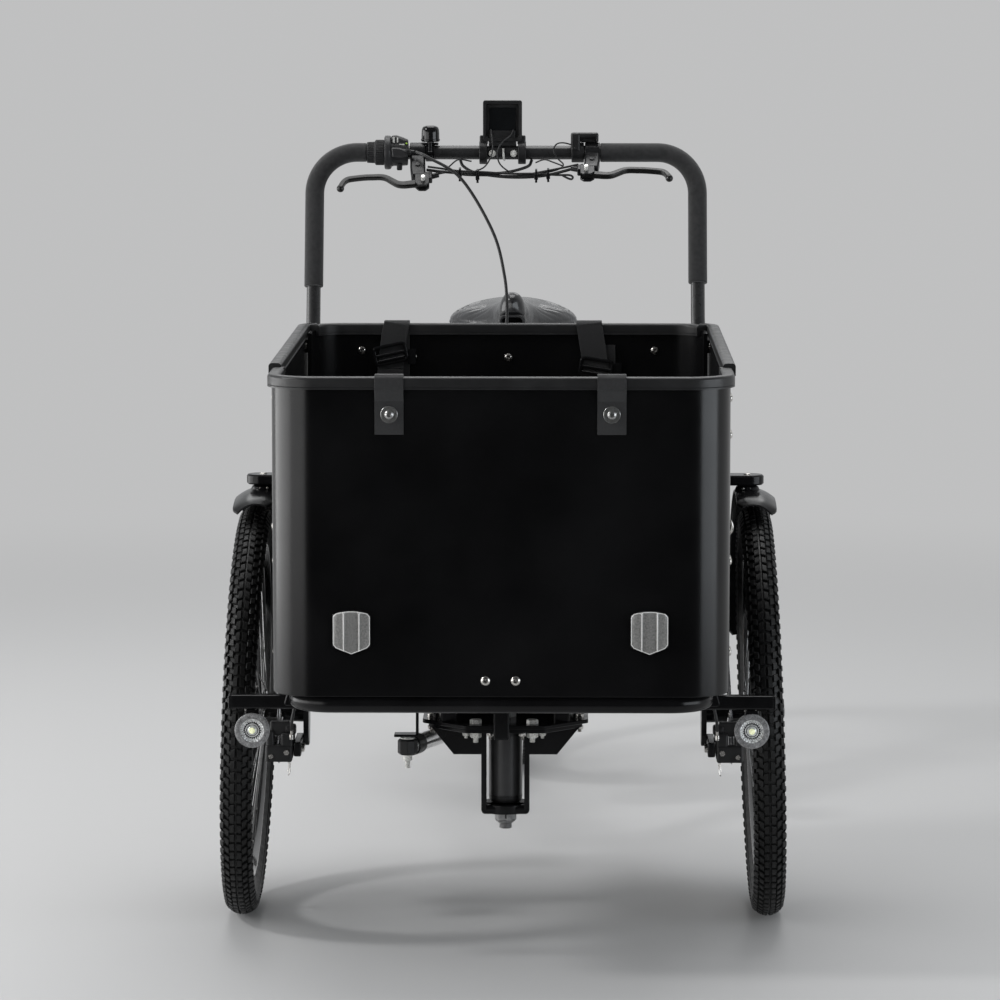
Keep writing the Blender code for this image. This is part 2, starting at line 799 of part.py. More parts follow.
def guard_shell(radius, half, first, last, steps, centre, edge_drop):
    """Mudguard: arched section swept round the wheel, angles from the front over the top."""
    grid = []
    for i in range(steps + 1):
        a = math.radians(first + (last - first) * i / steps)
        row = []
        for k in range(5):
            s = k / 2 - 1
            r = radius - edge_drop * s * s
            row.append((centre[0] + half * s, centre[1] - r * math.cos(a),
                        centre[2] + r * math.sin(a)))
        grid.append(row)
    return sheet_over(grid, mudguard_wall)


front_guard_radius = 0.3335
front_guard_half = 0.029
guard_x = front_axle_x - 0.010


def make_mudguards():
    shell = guard_shell(front_guard_radius, front_guard_half, 58, 168, 12,
                        (guard_x, 0, front_axle_z), 0.014)
    top = front_axle_z + front_guard_radius + mudguard_wall / 2
    reach = 0.386
    outline = [(box_half + gap, -0.021), (reach - 0.020, -0.021)]
    outline += arc((reach - 0.020, 0), 0.020, -72, 72, 4)
    outline += [(reach - 0.020, 0.021), (box_half + gap, 0.021)]
    bar = shifted(plate([outline], 0.010), z=top + 0.011)
    foot = block((0.005, 0.054, 0.046), (box_half + gap + 0.0025, 0, top + 0.001))
    spacer = rod((guard_x, 0, top - 0.0015), (guard_x, 0, top + 0.008), 0.008, 8)
    left = fused([shell, spacer, bar, foot])
    right = copied(left, mirror_x)
    part("left_mudguard", left, "gloss_black")
    part("right_mudguard", right, "gloss_black")


# Steering head, kingpin and damper
def make_steering_head():
    lower_z = 0.285 - head_plate - gap
    outline = [(-0.116, 0.034), (-0.060, -0.026), (0.060, -0.026), (0.116, 0.034),
               (0.116, 0.146), (-0.116, 0.146)]
    pieces = [shifted(plate([outline], head_plate), z=lower_z)]
    strap_x0 = yoke_width / 2 - yoke_strap / 2
    disc_high = head_bottom - 2 * gap
    for side in (-1, 1):
        pieces.append(block((yoke_strap, 0.024, lower_z - disc_high + 0.010),
                            (side * strap_x0, 0.038, (lower_z + disc_high) / 2 - 0.004)))
        gusset = [(side * (strap_x0 - 0.001), lower_z), (side * 0.112, lower_z),
                  (side * 0.078, 0.235), (side * (strap_x0 - 0.001), 0.235)]
        web = plate([gusset], 0.006)
        pieces.append(moved(web, Matrix.Translation((0, 0.030, 0)) @ on_xz))
    pieces.append(rod((0, kingpin_y, disc_high), (0, kingpin_y, disc_high - 0.0145),
                      yoke_width / 2, 20))
    pieces.append(block((yoke_width - 0.002, 0.030, 0.0125),
                        (0, 0.0415, disc_high - 0.00725)))
    yoke = fused(pieces)
    bore = rod((0, kingpin_y, 0.120), (0, kingpin_y, 0.300), kingpin_radius + 0.0007, 12)
    yoke = cut(yoke, [bore])
    part("steering_yoke", yoke, "gloss_black")

    nut_high = disc_high - 0.0145 - gap
    pin = rod((0, kingpin_y, 0.116), (0, kingpin_y, 0.292), kingpin_radius, 12)
    head = rod((0, kingpin_y, 0.288 + gap), (0, kingpin_y, 0.299), 0.014, 6)
    nut = rod((0, kingpin_y, nut_high), (0, kingpin_y, nut_high - 0.017), 0.0165, 6)
    part("kingpin", fused([pin, head, nut]), "steel")


damper_start = Vector((damper_x, damper_y, damper_z))
damper_end = Vector((damper_tail_x, damper_tail_y, damper_z))
damper_way = (damper_end - damper_start).normalized()
damper_length = (damper_end - damper_start).length


def make_damper():
    def at(distance):
        return damper_start + damper_way * distance

    end_block = block((0.030, 0.030, 0.0270), (damper_x, damper_y, damper_z + 0.0005), 0.003)
    tube = rod(at(0.010), at(0.162), damper_radius, 14)
    collar_front = rod(at(0.014), at(0.040), damper_radius + 0.002, 14)
    collar_rear = rod(at(0.146), at(0.1615), damper_radius + 0.002, 14)
    boss = rod((damper_x, damper_y, 0.261), (damper_x, damper_y, 0.2649), 0.008, 8)
    nut = rod((damper_x, damper_y, damper_z - 0.012), (damper_x, damper_y, 0.226), 0.0075, 6)
    tip = rod((damper_x, damper_y, 0.228), (damper_x, damper_y, 0.216), 0.004, 8)
    body = fused([end_block, tube, collar_front, collar_rear, boss, nut, tip])
    bore = rod(at(0.016), at(0.170), 0.0050, 10)
    part("damper_body", cut(body, [bore]), "aluminium", damper_start)

    shaft = rod(at(0.100), at(damper_length - 0.004), 0.0042, 10)
    eye = rod((damper_end.x, damper_end.y, damper_z - 0.0050),
              (damper_end.x, damper_end.y, damper_z + 0.0050), 0.011, 12)
    part("damper_rod", fused([shaft, eye]), "steel", damper_start)


def bar_path():
    knee = (post_x, post_y, post_knee)
    low = (post_x, post_y, frame_z - 0.022)
    top = (post_x, bar_y, bar_height)
    left = [low, knee, top, (0, bar_y, bar_height)]
    half = rounded(left, [0.120, bar_bend], 5)
    return half[:-1] + [Vector((-p.x, p.y, p.z)) for p in reversed(half[:-1])]


def make_handlebar():
    path = bar_path()
    part("handlebar", pipe(path, bar_radius, 2), "gloss_black")
    half = bar_path()[:len(path) // 2]
    upper = half[-6:]
    slope = (upper[0] - half[-7]).normalized()
    lower_end = upper[0] - slope * ((upper[0].z - foam_low) / slope.z)
    for name, side, end in (("left", 1, foam_end_left), ("right", -1, -foam_end_right)):
        run = [lower_end] + upper + [Vector((end, bar_y, bar_height))]
        run = [Vector((side * p.x, p.y, p.z)) for p in run]
        start_way = (run[0] - run[1]).normalized()
        end_way = (run[-1] - run[-2]).normalized()
        core = [run[0] + start_way * 0.01] + run[1:-1] + [run[-1] + end_way * 0.01]
        skin = pipe(run, foam_radius, 3)
        bore = pipe(core, (bar_radius + 0.0004) / math.cos(math.pi / 8), 2)
        part(name + "_foam_grip", cut(skin, [bore]), "foam")


# Controls on the handlebar
on_bar = along((0, bar_y, bar_height), (1, 0, 0))
clamp_bore = (bar_radius + 0.0004) / math.cos(math.pi / 12)
lever_tilts = {"right": math.radians(45), "left": math.radians(29)}
lever_places = {"right": -0.1357, "left": 0.1223}
lever_reach = 0.0655
lever_wall = 0.009
lever_pin = 0.003


def collar(first, last, radius, steps=12):
    """Clamp ring round the bar between two places along it."""
    return moved(turned([(radius, first), (radius, last), (clamp_bore, last),
                         (clamp_bore, first)], steps), on_bar)


def lever_frame(side):
    """Matrix with X along the bar, Y forward and down to the lever, Z along its pin."""
    tilt = lever_tilts[side]
    c, s = math.cos(tilt), math.sin(tilt)
    return Matrix(((1, 0, 0, lever_places[side]), (0, -c, s, bar_y),
                   (0, -s, -c, bar_height), (0, 0, 0, 1)))


def lever_pivot(side):
    return lever_frame(side) @ Vector((0, lever_reach, 0))


def lever_blade(way):
    """Brake lever outline: a swept finger blade that ends in a ball."""
    spine = [(-0.006, 0.0), (0.020, 0.0030), (0.040, 0.0042), (0.056, -0.0055),
             (0.070, -0.0120), (0.100, -0.0112), (0.129, -0.0068), (0.138, 0.0010),
             (0.142, 0.0134)]
    widths = [0.0060, 0.0055, 0.0050, 0.0043, 0.0038, 0.0036, 0.0038, 0.0045, 0.0048]
    path = [Vector(p) for p in spine]
    left = [offset_path(path, w)[i] for i, w in enumerate(widths)]
    right = [offset_path(path, -w)[i] for i, w in enumerate(widths)]
    outline = [(way * p.x, p.y + lever_reach) for p in left + right[::-1]]
    hole = circle(lever_pin + 0.0006, 8, (0, lever_reach))
    return plate([outline, hole], lever_wall)


def make_controls():
    for side, way in (("right", -1), ("left", 1)):
        frame = lever_frame(side)
        x = lever_places[side]
        inner, outer = sorted((x - way * 0.002, x + way * 0.0220))
        pieces = [collar(inner, outer, 0.0160)]
        pieces.append(moved(block((0.024, 0.042, 0.017), (way * 0.009, 0.0345, 0), 0.002),
                            frame))
        for up in (-1, 1):
            tab = block((0.020, 0.026, 0.003),
                        (way * 0.003, 0.0635, up * (lever_wall / 2 + gap + 0.0015)))
            pieces.append(moved(tab, frame))
        pieces.append(moved(rod((0, lever_reach, -0.009), (0, lever_reach, 0.009),
                                lever_pin, 8), frame))
        part(side + "_lever_clamp", fused(pieces), "gloss_black")
        blade = moved(lever_blade(way), frame)
        part(side + "_brake_lever", blade, "gloss_black", lever_pivot(side))

    grip = turned([(0.0165, -0.2267), (0.0165, -0.2145), (0.0200, -0.2125),
                   (0.0200, -0.1989), (clamp_bore, -0.1989), (clamp_bore, -0.2267)], 16)
    part("shifter_grip", moved(grip, on_bar), "rubber", (-0.2, bar_y, bar_height))
    body = turned([(0.0270, -0.1985), (0.0270, -0.1880), (0.0215, -0.1860),
                   (0.0205, -0.1610), (clamp_bore, -0.1610), (clamp_bore, -0.1985)], 16)
    window = block((0.020, 0.020, 0.012), (-0.174, bar_y - 0.004, bar_height + 0.0215), 0.002)
    inlet_z = bar_height + 0.0015
    barrel = rod((-0.166, bar_y - 0.0230, inlet_z), (-0.1500, bar_y - 0.0230, inlet_z),
                 0.0045, 8)
    mount = block((0.012, 0.014, 0.010), (-0.170, bar_y - 0.0215, inlet_z), 0.001)
    part("shifter_body", fused([moved(body, on_bar), window, mount, barrel]), "plastic")

    bell_x = -0.1255
    dome = turned([(0, 0.0260), (0.0070, 0.0247), (0.0120, 0.0200), (0.0140, 0.0130),
                   (0.0140, 0.0030), (0.0125, 0.0), (0.0055, 0.0), (0.0055, -0.0050),
                   (0, -0.0050)], 14, False)
    shifted(dome, bell_x, bar_y, bar_height + 0.0168)
    lug = block((0.008, 0.010, 0.006), (bell_x, bar_y - 0.0180, bar_height - 0.0060))
    part("bell", fused([collar(bell_x - 0.0070, bell_x + 0.0070, 0.0145), dome, lug]),
         "gloss_black")
    striker_y = bar_y - 0.0200
    knuckle_z = bar_height + gap
    knuckle = rod((bell_x - 0.003, striker_y, knuckle_z), (bell_x + 0.003, striker_y, knuckle_z),
                  0.003, 12)
    hammer = block((0.0056, 0.0056, 0.017), (bell_x, striker_y, knuckle_z + 0.0085), 0.001)
    part("bell_striker", fused([knuckle, hammer]), "gloss_black",
         (bell_x, striker_y, knuckle_z))

    screen_x, screen_z = -0.0107, bar_height + 0.0504
    slab = block((0.062, 0.015, 0.065), (screen_x, bar_y - 0.004, screen_z), 0.003)
    stem = block((0.044, 0.012, 0.010), (screen_x, bar_y - 0.004, bar_height + 0.0164))
    hollow = block((0.052, 0.006, 0.052), (screen_x, bar_y - 0.0120, screen_z))
    rings = [collar(first, first + 0.0125, 0.0185) for first in (-0.0475, 0.0140)]
    links = [block((0.014, 0.010, 0.012), (x, bar_y - 0.004, bar_height + 0.0195))
             for x in (-0.0390, 0.0175)]
    screen = cut(fused([slab, stem] + links + rings), [hollow])
    bar_hole = rod((-0.06, bar_y, bar_height), (0.04, bar_y, bar_height), clamp_bore, 12)
    part("display", cut(screen, [bar_hole]), "plastic")

    low = block((0.0215, 0.034, 0.030), (0.1088, bar_y, bar_height + 0.0160), 0.002)
    high = block((0.0440, 0.030, 0.0150), (0.1200, bar_y, bar_height + 0.0241), 0.002)
    housing = fused([collar(0.0990, 0.1188, 0.0158), low, high])
    face = bar_y + 0.015
    spot = (0.129, bar_height + 0.0241)
    pocket = rod((spot[0], face - 0.0035, spot[1]), (spot[0], face + 0.01, spot[1]), 0.0055, 10)
    bar_hole = rod((0.09, bar_y, bar_height), (0.13, bar_y, bar_height), clamp_bore, 12)
    part("remote_housing", cut(housing, [pocket, bar_hole]), "plastic")
    button = rod((spot[0], face - 0.0015, spot[1]), (spot[0], face + 0.0025, spot[1]),
                 0.0049, 10)
    part("assist_button", button, "plastic", (spot[0], face, spot[1]))


shift_route = [(-0.1480, 0.4970, 1.1240), (-0.1280, 0.4840, 1.1133), (-0.0800, 0.4740, 1.0777),
               (-0.0314, 0.4620, 0.9970), (-0.0070, 0.4520, 0.9320), (-0.0025, 0.4350, 0.8780),
               (-0.0040, 0.4240, 0.8200), (-0.0040, 0.4120, 0.6500), (-0.0040, 0.4100, 0.4600),
               (-0.0040, 0.4030, 0.3850), (-0.0060, 0.3700, 0.3755), (-0.0140, 0.2600, 0.3870),
               (-0.0200, 0.1385, 0.3900)]
brake_routes = [
    [(-0.1312, 0.4915, 1.0960), (-0.1050, 0.4930, 1.0930), (-0.0600, 0.4970, 1.0900),
     (-0.0100, 0.5020, 1.0910), (0.0280, 0.5120, 1.1000), (0.0360, 0.5190, 1.1105)],
    [(0.1175, 0.4890, 1.1040), (0.0900, 0.4900, 1.0950), (0.0500, 0.4970, 1.0860),
     (0.0000, 0.5030, 1.0840), (-0.0500, 0.5070, 1.0900), (-0.0720, 0.5150, 1.1000),
     (-0.0780, 0.5190, 1.1105)]]
cable_ties = [((0.004, 0.019, 0.009), (-0.050, 0.5020, 1.0900)),
              ((0.004, 0.010, 0.016), (-0.010, 0.5025, 1.0876))]


def make_cables():
    part("shift_cable", pipe(smooth_route(shift_route, 2), 0.0025, 2), "cable")
    strands = [pipe(smooth_route(route, 2), 0.0024, 1) for route in brake_routes]
    ties = [block(size, place) for size, place in cable_ties]
    part("brake_cables", fused(strands + ties), "cable")


# Rear frame, saddle and drive
seat_way = Vector((0, math.cos(seat_angle), math.sin(seat_angle)))
crank_centre = Vector((0, bottom_bracket_y, bottom_bracket_z))
rear_axle = Vector((0, rear_axle_y, rear_axle_z))


def up_seat(distance):
    return crank_centre + seat_way * distance


def make_rear_frame():
    head = rod((0, kingpin_y, head_bottom), (0, kingpin_y, head_top), head_tube_radius, 14)
    joint = up_seat(0.235)
    knee = (0, bottom_bracket_y - 0.290, 0.240)
    main = pipe(rounded([(0, kingpin_y + 0.012, 0.214), knee, joint], 0.150, 4),
                main_tube_radius, 3)
    seat_tube = rod(up_seat(0.075), up_seat(0.400), seat_tube_radius, 12)
    cy, cz = bottom_bracket_y, bottom_bracket_z
    lug_low = cz + motor_radius + 0.0040
    lug = plate([[(cy - 0.095, 0.375), (cy - 0.030, lug_low), (cy + 0.035, lug_low),
                  (cy + 0.052, cz + 0.160), (cy + 0.030, cz + 0.165)]], 0.010)
    web = plate([[(cy + 0.023, 0.372), (cy + 0.035, 0.400), (cy + 0.081, 0.335),
                  (cy + 0.0805, 0.307), (cy + 0.0665, 0.307), (cy + 0.060, 0.325),
                  (cy + 0.045, 0.345)]], 0.012)
    bridge = block((0.088, 0.016, 0.028), (0, cy + 0.074, 0.318))
    pieces = [head, main, seat_tube, moved(lug, on_yz), moved(web, on_yz), bridge]
    ay, az = rear_axle_y, rear_axle_z
    guard_out = rear_guard_radius + mudguard_wall / 2
    spacer_end = ay - math.sqrt((guard_out + gap) ** 2 - (az - 0.318) ** 2)
    pieces.append(rod((0, cy + 0.080, 0.318), (0, spacer_end, 0.318), 0.006, 8))
    drop_x = dropout_gap / 2 + 0.0025
    for side in (-1, 1):
        stay = rounded([(side * 0.040, cy + 0.074, 0.318), (side * 0.0440, cy + 0.160, 0.317),
                        (side * drop_x, ay - 0.020, az - 0.001)], 0.30, 2)
        pieces.append(pipe(stay, stay_radius, 2))
        high = up_seat(0.372)
        seat_stay = [(side * 0.010, high.y, high.z), (side * 0.040, high.y + 0.032,
                     high.z - 0.040), (side * drop_x, ay - 0.004, az + 0.018)]
        pieces.append(pipe(rounded(seat_stay, 0.020, 3), stay_radius - 0.001, 2))
        outline = [(-0.036, 0.011), (-0.036, -0.013), (0.0, -0.021), (0.019, -0.012),
                   (0.019, 0.012), (0.004, 0.026), (-0.014, 0.028)]
        drop = plate([[(ay + a, az + b) for a, b in outline]], 0.005)
        pieces.append(moved(drop, Matrix.Translation((side * drop_x, 0, 0)) @ on_yz))
        pieces.append(rod((side * 0.057, ay, az), (side * 0.080, ay, az), 0.009, 6))
    pieces.append(rod((-0.078, ay, az), (0.078, ay, az), 0.005, 10))
    pieces.append(block((0.048, 0.030, 0.007), (damper_tail_x + 0.010, damper_tail_y, 0.2397)))
    frame = fused(pieces)
    holes = [rod((0, kingpin_y, 0.10), (0, kingpin_y, 0.30), kingpin_radius + 0.0007, 12),
             rod(up_seat(0.200), up_seat(0.42), (seat_post_radius + 0.0004)
                 / math.cos(math.pi / 12), 12)]
    part("rear_frame", cut(frame, holes), "gloss_black")

    post = rod(up_seat(0.212), up_seat(0.530), seat_post_radius, 12)
    top = up_seat(0.530)
    clamp = block((0.040, 0.046, 0.020), (0, top.y, top.z + 0.004), 0.003)
    part("seat_post", fused([post, clamp]), "dark_steel")


def make_saddle():
    """Saddle: superellipse sections from a narrow nose to wide wings."""
    top = up_seat(0.530)
    base = top.z + 0.014 + gap
    nose = top.y - saddle_length / 2
    stations, ring = 11, 12
    bm = bmesh.new()
    rows = []
    for i in range(stations):
        t = i / (stations - 1)
        flare = min(max((t - 0.22) / 0.60, 0), 1)
        flare = flare * flare * (3 - 2 * flare)
        half = 0.024 + (saddle_width / 2 - 0.024) * flare
        end = math.sqrt(max(1 - (2 * min(abs(t - 0.07), 0.07) / 0.14 * (t < 0.07)) ** 2, 0.09))
        end *= math.sqrt(max(1 - (max(t - 0.86, 0) / 0.14) ** 2, 0.06))
        half *= end
        crest = saddle_top - 0.010 * math.sin(math.pi * min(t * 1.25, 1)) + 0.004 * flare
        depth = (crest - base) / 2
        row = []
        for k in range(ring):
            a = 2 * math.pi * k / ring
            x = half * math.copysign(abs(math.cos(a)) ** 0.75, math.cos(a))
            z = depth * math.copysign(abs(math.sin(a)) ** 0.75, math.sin(a)) * (
                0.55 + 0.45 * end)
            row.append(bm.verts.new((x, nose + t * saddle_length, base + depth + z)))
        rows.append(row)
    for one, two in zip(rows, rows[1:]):
        for k in range(ring):
            j = (k + 1) % ring
            bm.faces.new((one[k], one[j], two[j], two[k]))
    bm.faces.new(rows[0])
    bm.faces.new(rows[-1][::-1])
    part("saddle", from_bmesh(bm), "vinyl")


on_axle_x = Matrix.Rotation(math.pi / 2, 4, "Y")


def make_rear_wheel():
    hub_turn = [(0.0058, 0.0560), (0.014, 0.0560), (0.016, 0.040), (0.024, 0.0320),
                (0.034, 0.0300), (0.034, 0.0265), (0.027, 0.0240), (0.027, -0.0240),
                (0.034, -0.0265), (0.034, -0.0300), (0.024, -0.0330), (0.0158, -0.0460),
                (0.0158, -0.0560), (0.0058, -0.0560)]
    pieces = {
        "rear_tyre": (turned(rear_tyre, wheel_facets), "rubber"),
        "rear_wheel": (fused([turned(hub_turn, 16),
                              wheel_spokes(0.034, 0.0283, rear_rim_radius),
                              turned(rim_profile(rear_rim_radius), wheel_facets)]),
                       "gloss_black"),
        "rear_sprocket": (shifted(plate([circle(sprocket_radius - 0.0045, 24),
                                         circle(0.0164, 12)], 0.003), z=chain_line),
                          "dark_steel")}
    for name, (piece, finish) in pieces.items():
        part(name, piece, finish)
        piece.location = rear_axle
        piece.rotation_euler = (0, math.pi / 2, 0)

    shell = guard_shell(rear_guard_radius, 0.030, -11.25, 191.25, 18, rear_axle, 0.008)
    part("rear_mudguard", shell, "gloss_black")


def make_drive():
    bore = 0.0092
    casing = moved(turned([(motor_radius - 0.006, -motor_width / 2),
                           (motor_radius, -motor_width / 2 + 0.006),
                           (motor_radius, motor_width / 2 - 0.006),
                           (motor_radius - 0.006, motor_width / 2),
                           (bore, motor_width / 2), (bore, -motor_width / 2)], 20),
                   Matrix.Translation(crank_centre) @ on_axle_x)
    cy, cz = bottom_bracket_y, bottom_bracket_z
    lug = block((0.056, 0.055, 0.020), (0, cy, cz + motor_radius - 0.0065), 0.002)
    part("motor", fused([casing, lug]), "plastic")

    spindle_half = 0.0765
    spindle = rod((-spindle_half, cy, cz), (spindle_half, cy, cz), 0.0085, 12)
    arms = []
    for side, way in ((1, -1), (-1, 1)):
        x = side * 0.0705
        arms.append(block((0.011, crank_length + 0.026, 0.022),
                          (x, cy + way * crank_length / 2, cz), 0.003))
        arms.append(rod((x, cy + way * crank_length, cz),
                        (side * 0.185, cy + way * crank_length, cz), 0.0048, 8))
    windows = []
    for i in range(5):
        a = 2 * math.pi / 5 * i
        windows.append([(r * math.cos(a + s), r * math.sin(a + s))
                        for r, s in ((0.028, 0.20), (0.060, 0.14), (0.060, 1.05),
                                     (0.028, 1.00))])
    ring = plate([circle(chainring_radius - 0.0045, 36), circle(0.0075, 12)] + windows, 0.003)
    moved(ring, Matrix.Translation(crank_centre + Vector((chain_line, 0, 0))) @ on_axle_x)
    part("crankset", fused([spindle, ring] + arms), "dark_steel", crank_centre)

    for name, side, way in (("left_pedal", 1, -1), ("right_pedal", -1, 1)):
        centre = Vector((side * 0.134, cy + way * crank_length, cz))
        outline = [(-0.048, -0.045), (0.048, -0.045), (0.048, 0.045), (-0.048, 0.045)]
        holes = [[(-0.040, y0), (0.040, y0), (0.040, y0 + 0.026), (-0.040, y0 + 0.026)]
                 for y0 in (-0.038, 0.012)]
        body = shifted(plate([outline] + holes, 0.020), *centre)
        bore = rod(centre - Vector((0.07, 0, 0)), centre + Vector((0.07, 0, 0)), 0.0054, 8)
        part(name, cut(body, [bore]), "plastic", centre)

    lean = math.asin((chainring_radius - sprocket_radius) / drive_distance)
    tilt = math.atan2(rear_axle_z - cz, rear_axle_y - cy)
    loops = []
    for extra in (0.004, -0.004):
        front = arc((cy, cz), chainring_radius + extra,
                    math.degrees(tilt + math.pi / 2 - lean),
                    math.degrees(tilt + 3 * math.pi / 2 + lean), 16)
        back = arc((rear_axle_y, rear_axle_z), sprocket_radius + extra,
                   math.degrees(tilt - math.pi / 2 + lean),
                   math.degrees(tilt + math.pi / 2 - lean), 10)
        loops.append(front + back)
    band = plate(loops, 0.0075)
    moved(band, Matrix.Translation((chain_line, 0, 0)) @ on_yz)
    part("chain", band, "dark_steel")


def make_rack():
    half, first, last = 0.062, rear_axle_y - 0.205, rear_axle_y + 0.195
    z = rack_height
    loop = [(-half, first, z), (half, first, z), (half, last, z), (-half, last, z)]
    pieces = [pipe(loop, 0.005, 2, True)]
    for y in (first + 0.09, rear_axle_y, last - 0.09):
        pieces.append(rod((-half, y, z), (half, y, z), 0.0042, 8))
    guard_top = rear_axle_z + rear_guard_radius + mudguard_wall / 2 + gap
    pieces.append(rod((0, rear_axle_y, guard_top), (0, rear_axle_y, z), 0.006, 8))
    leg_x = dropout_gap / 2 + 0.005 + 0.0045
    stay_top = up_seat(0.372)
    for side in (-1, 1):
        pieces.append(rod((side * leg_x, rear_axle_y + 0.008, rear_axle_z + 0.018),
                          (side * half, rear_axle_y + 0.060, z), 0.004, 8))
        pieces.append(rod((side * 0.0570, stay_top.y + 0.070, stay_top.z - 0.078),
                          (side * half, first + 0.012, z), 0.004, 8))
    part("rear_rack", fused(pieces), "gloss_black")
    size = battery_size
    pack = block(size, (0, (first + last) / 2, z + 0.005 + gap + size[2] / 2), 0.008, 2)
    part("battery", pack, "plastic")


make_box()
make_straps()
make_front_frame()
make_front_wheels()
make_calipers()
make_mudguards()
make_steering_head()
make_damper()
make_handlebar()
make_controls()
make_cables()
make_rear_frame()
make_saddle()
make_rear_wheel()
make_drive()
make_rack()
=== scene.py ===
# Cargo tricycle: a box on two leaning front wheels, a hoop handlebar and a rear
# frame with saddle and drive. Metres, Z up, front towards -Y, rider's left at +X.
import math

import bmesh
import bpy
import numpy as np
from mathutils import Matrix, Vector


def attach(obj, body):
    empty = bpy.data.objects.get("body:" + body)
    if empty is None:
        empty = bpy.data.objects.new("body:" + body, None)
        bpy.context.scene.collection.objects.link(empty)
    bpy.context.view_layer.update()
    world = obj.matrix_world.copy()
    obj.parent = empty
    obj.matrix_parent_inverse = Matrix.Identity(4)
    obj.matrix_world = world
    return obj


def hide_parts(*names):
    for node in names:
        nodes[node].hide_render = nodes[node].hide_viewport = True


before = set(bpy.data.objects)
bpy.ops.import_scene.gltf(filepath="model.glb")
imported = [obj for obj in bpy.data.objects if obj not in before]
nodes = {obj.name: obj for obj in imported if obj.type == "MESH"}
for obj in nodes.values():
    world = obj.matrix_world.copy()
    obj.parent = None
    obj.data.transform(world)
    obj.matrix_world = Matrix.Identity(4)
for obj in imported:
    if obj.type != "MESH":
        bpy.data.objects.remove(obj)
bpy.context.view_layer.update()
axleShift = -0.5631768      # places are written from the front axle line, then moved by this

# A form is a dictionary: v = points, q = four-sided faces, n = many-sided faces,
# uv = a place on the finish for each corner of each four-sided face.

def turnedOut(form):
    # the volume under every face, added up with its sign, shows which way faces point
    v, q = form["v"], form["q"]
    total = 0.0
    if len(q):
        a, b, c, d = (v[q[:, k]] for k in range(4))
        total += np.einsum("ij,ij->i", a, np.cross(b, c)).sum()
        total += np.einsum("ij,ij->i", a, np.cross(c, d)).sum()
    for face in form["n"]:
        p = v[np.array(face)]
        total += np.einsum("ij,ij->i", np.broadcast_to(p[0], p[1:-1].shape),
            np.cross(p[1:-1], p[2:])).sum()
    if total < 0:
        form = dict(form, q=q[:, ::-1], n=[f[::-1] for f in form["n"]], uv=form["uv"][:, ::-1])
    return form

def gridForm(points, around=True, loop=False, caps=True, uvScale=(1.0, 1.0)):
    # rows of points joined to the next row; around joins each row's ends, loop the rows' ends
    rows, cols = points.shape[:2]
    index = np.arange(rows * cols).reshape(rows, cols)
    one = index if loop else index[:-1]
    two = np.roll(index, -1, 0) if loop else index[1:]
    oneNext, twoNext = np.roll(one, -1, 1), np.roll(two, -1, 1)
    if not around:
        one, two, oneNext, twoNext = one[:, :-1], two[:, :-1], oneNext[:, :-1], twoNext[:, :-1]
    quads = np.stack([one, two, twoNext, oneNext], -1).reshape(-1, 4)
    i, j = np.meshgrid(np.arange(one.shape[0]), np.arange(one.shape[1]), indexing="ij")
    u = np.stack([i, i + 1, i + 1, i], -1).reshape(-1, 4) * uvScale[0]
    w = np.stack([j, j, j + 1, j + 1], -1).reshape(-1, 4) * uvScale[1]
    ends = []
    if caps and around and not loop:
        ends = [list(index[0]), list(index[-1][::-1])]
    return turnedOut({"v": points.reshape(-1, 3), "q": quads, "n": ends,
        "uv": np.stack([u, w], -1)})

def placed(form, matrix):
    m = np.array(matrix, float)
    made = dict(form, v=form["v"] @ m[:3, :3].T + m[:3, 3])
    return turnedOut(made)

def mirrored(forms):
    return [placed(f, Matrix.Scale(-1, 4, (1, 0, 0))) for f in forms]

def bothSides(forms):
    return forms + mirrored(forms)

def axisTo(start, direction):
    turn = Vector((0, 0, 1)).rotation_difference(Vector(direction).normalized())
    return Matrix.Translation(start) @ turn.to_matrix().to_4x4()

def ring(radius, count=16):
    a = np.linspace(0, 2 * np.pi, count, endpoint=False)
    return np.stack([radius * np.cos(a), radius * np.sin(a)], -1)

def softRectangle(width, height, radius, steps=3):
    # four quarter circles, one at each corner
    a = np.linspace(0, np.pi / 2, steps + 1)
    turn = np.concatenate([a + k * np.pi / 2 for k in range(4)])
    signX = np.repeat([1, -1, -1, 1], steps + 1)
    signY = np.repeat([1, 1, -1, -1], steps + 1)
    return np.stack([signX * (width / 2 - radius) + radius * np.cos(turn),
        signY * (height / 2 - radius) + radius * np.sin(turn)], -1)

def sweep(path, section, ref=(0, 0, 1), loop=False, size=None, uvScale=(1.0, 1.0)):
    # the section stands across the path: its x along tangent x ref, its y along the rest
    path = np.asarray(path, float)
    if loop:
        ahead = np.roll(path, -1, 0) - np.roll(path, 1, 0)
    else:
        ahead = np.gradient(path, axis=0)
    ahead /= np.linalg.norm(ahead, axis=1, keepdims=True)
    if ref is None:
        ref = np.linalg.svd(ahead)[2][-1]
    side = np.cross(ahead, np.broadcast_to(np.asarray(ref, float), ahead.shape))
    side /= np.linalg.norm(side, axis=1, keepdims=True)
    up = np.cross(side, ahead)
    section = np.asarray(section, float)
    if section.ndim == 2:
        section = np.broadcast_to(section, (len(path),) + section.shape)
    if size is not None:
        section = section * np.asarray(size, float)[:, None, None]
    points = (path[:, None] + section[..., :1] * side[:, None] + section[..., 1:] * up[:, None])
    return gridForm(points, loop=loop, uvScale=uvScale)

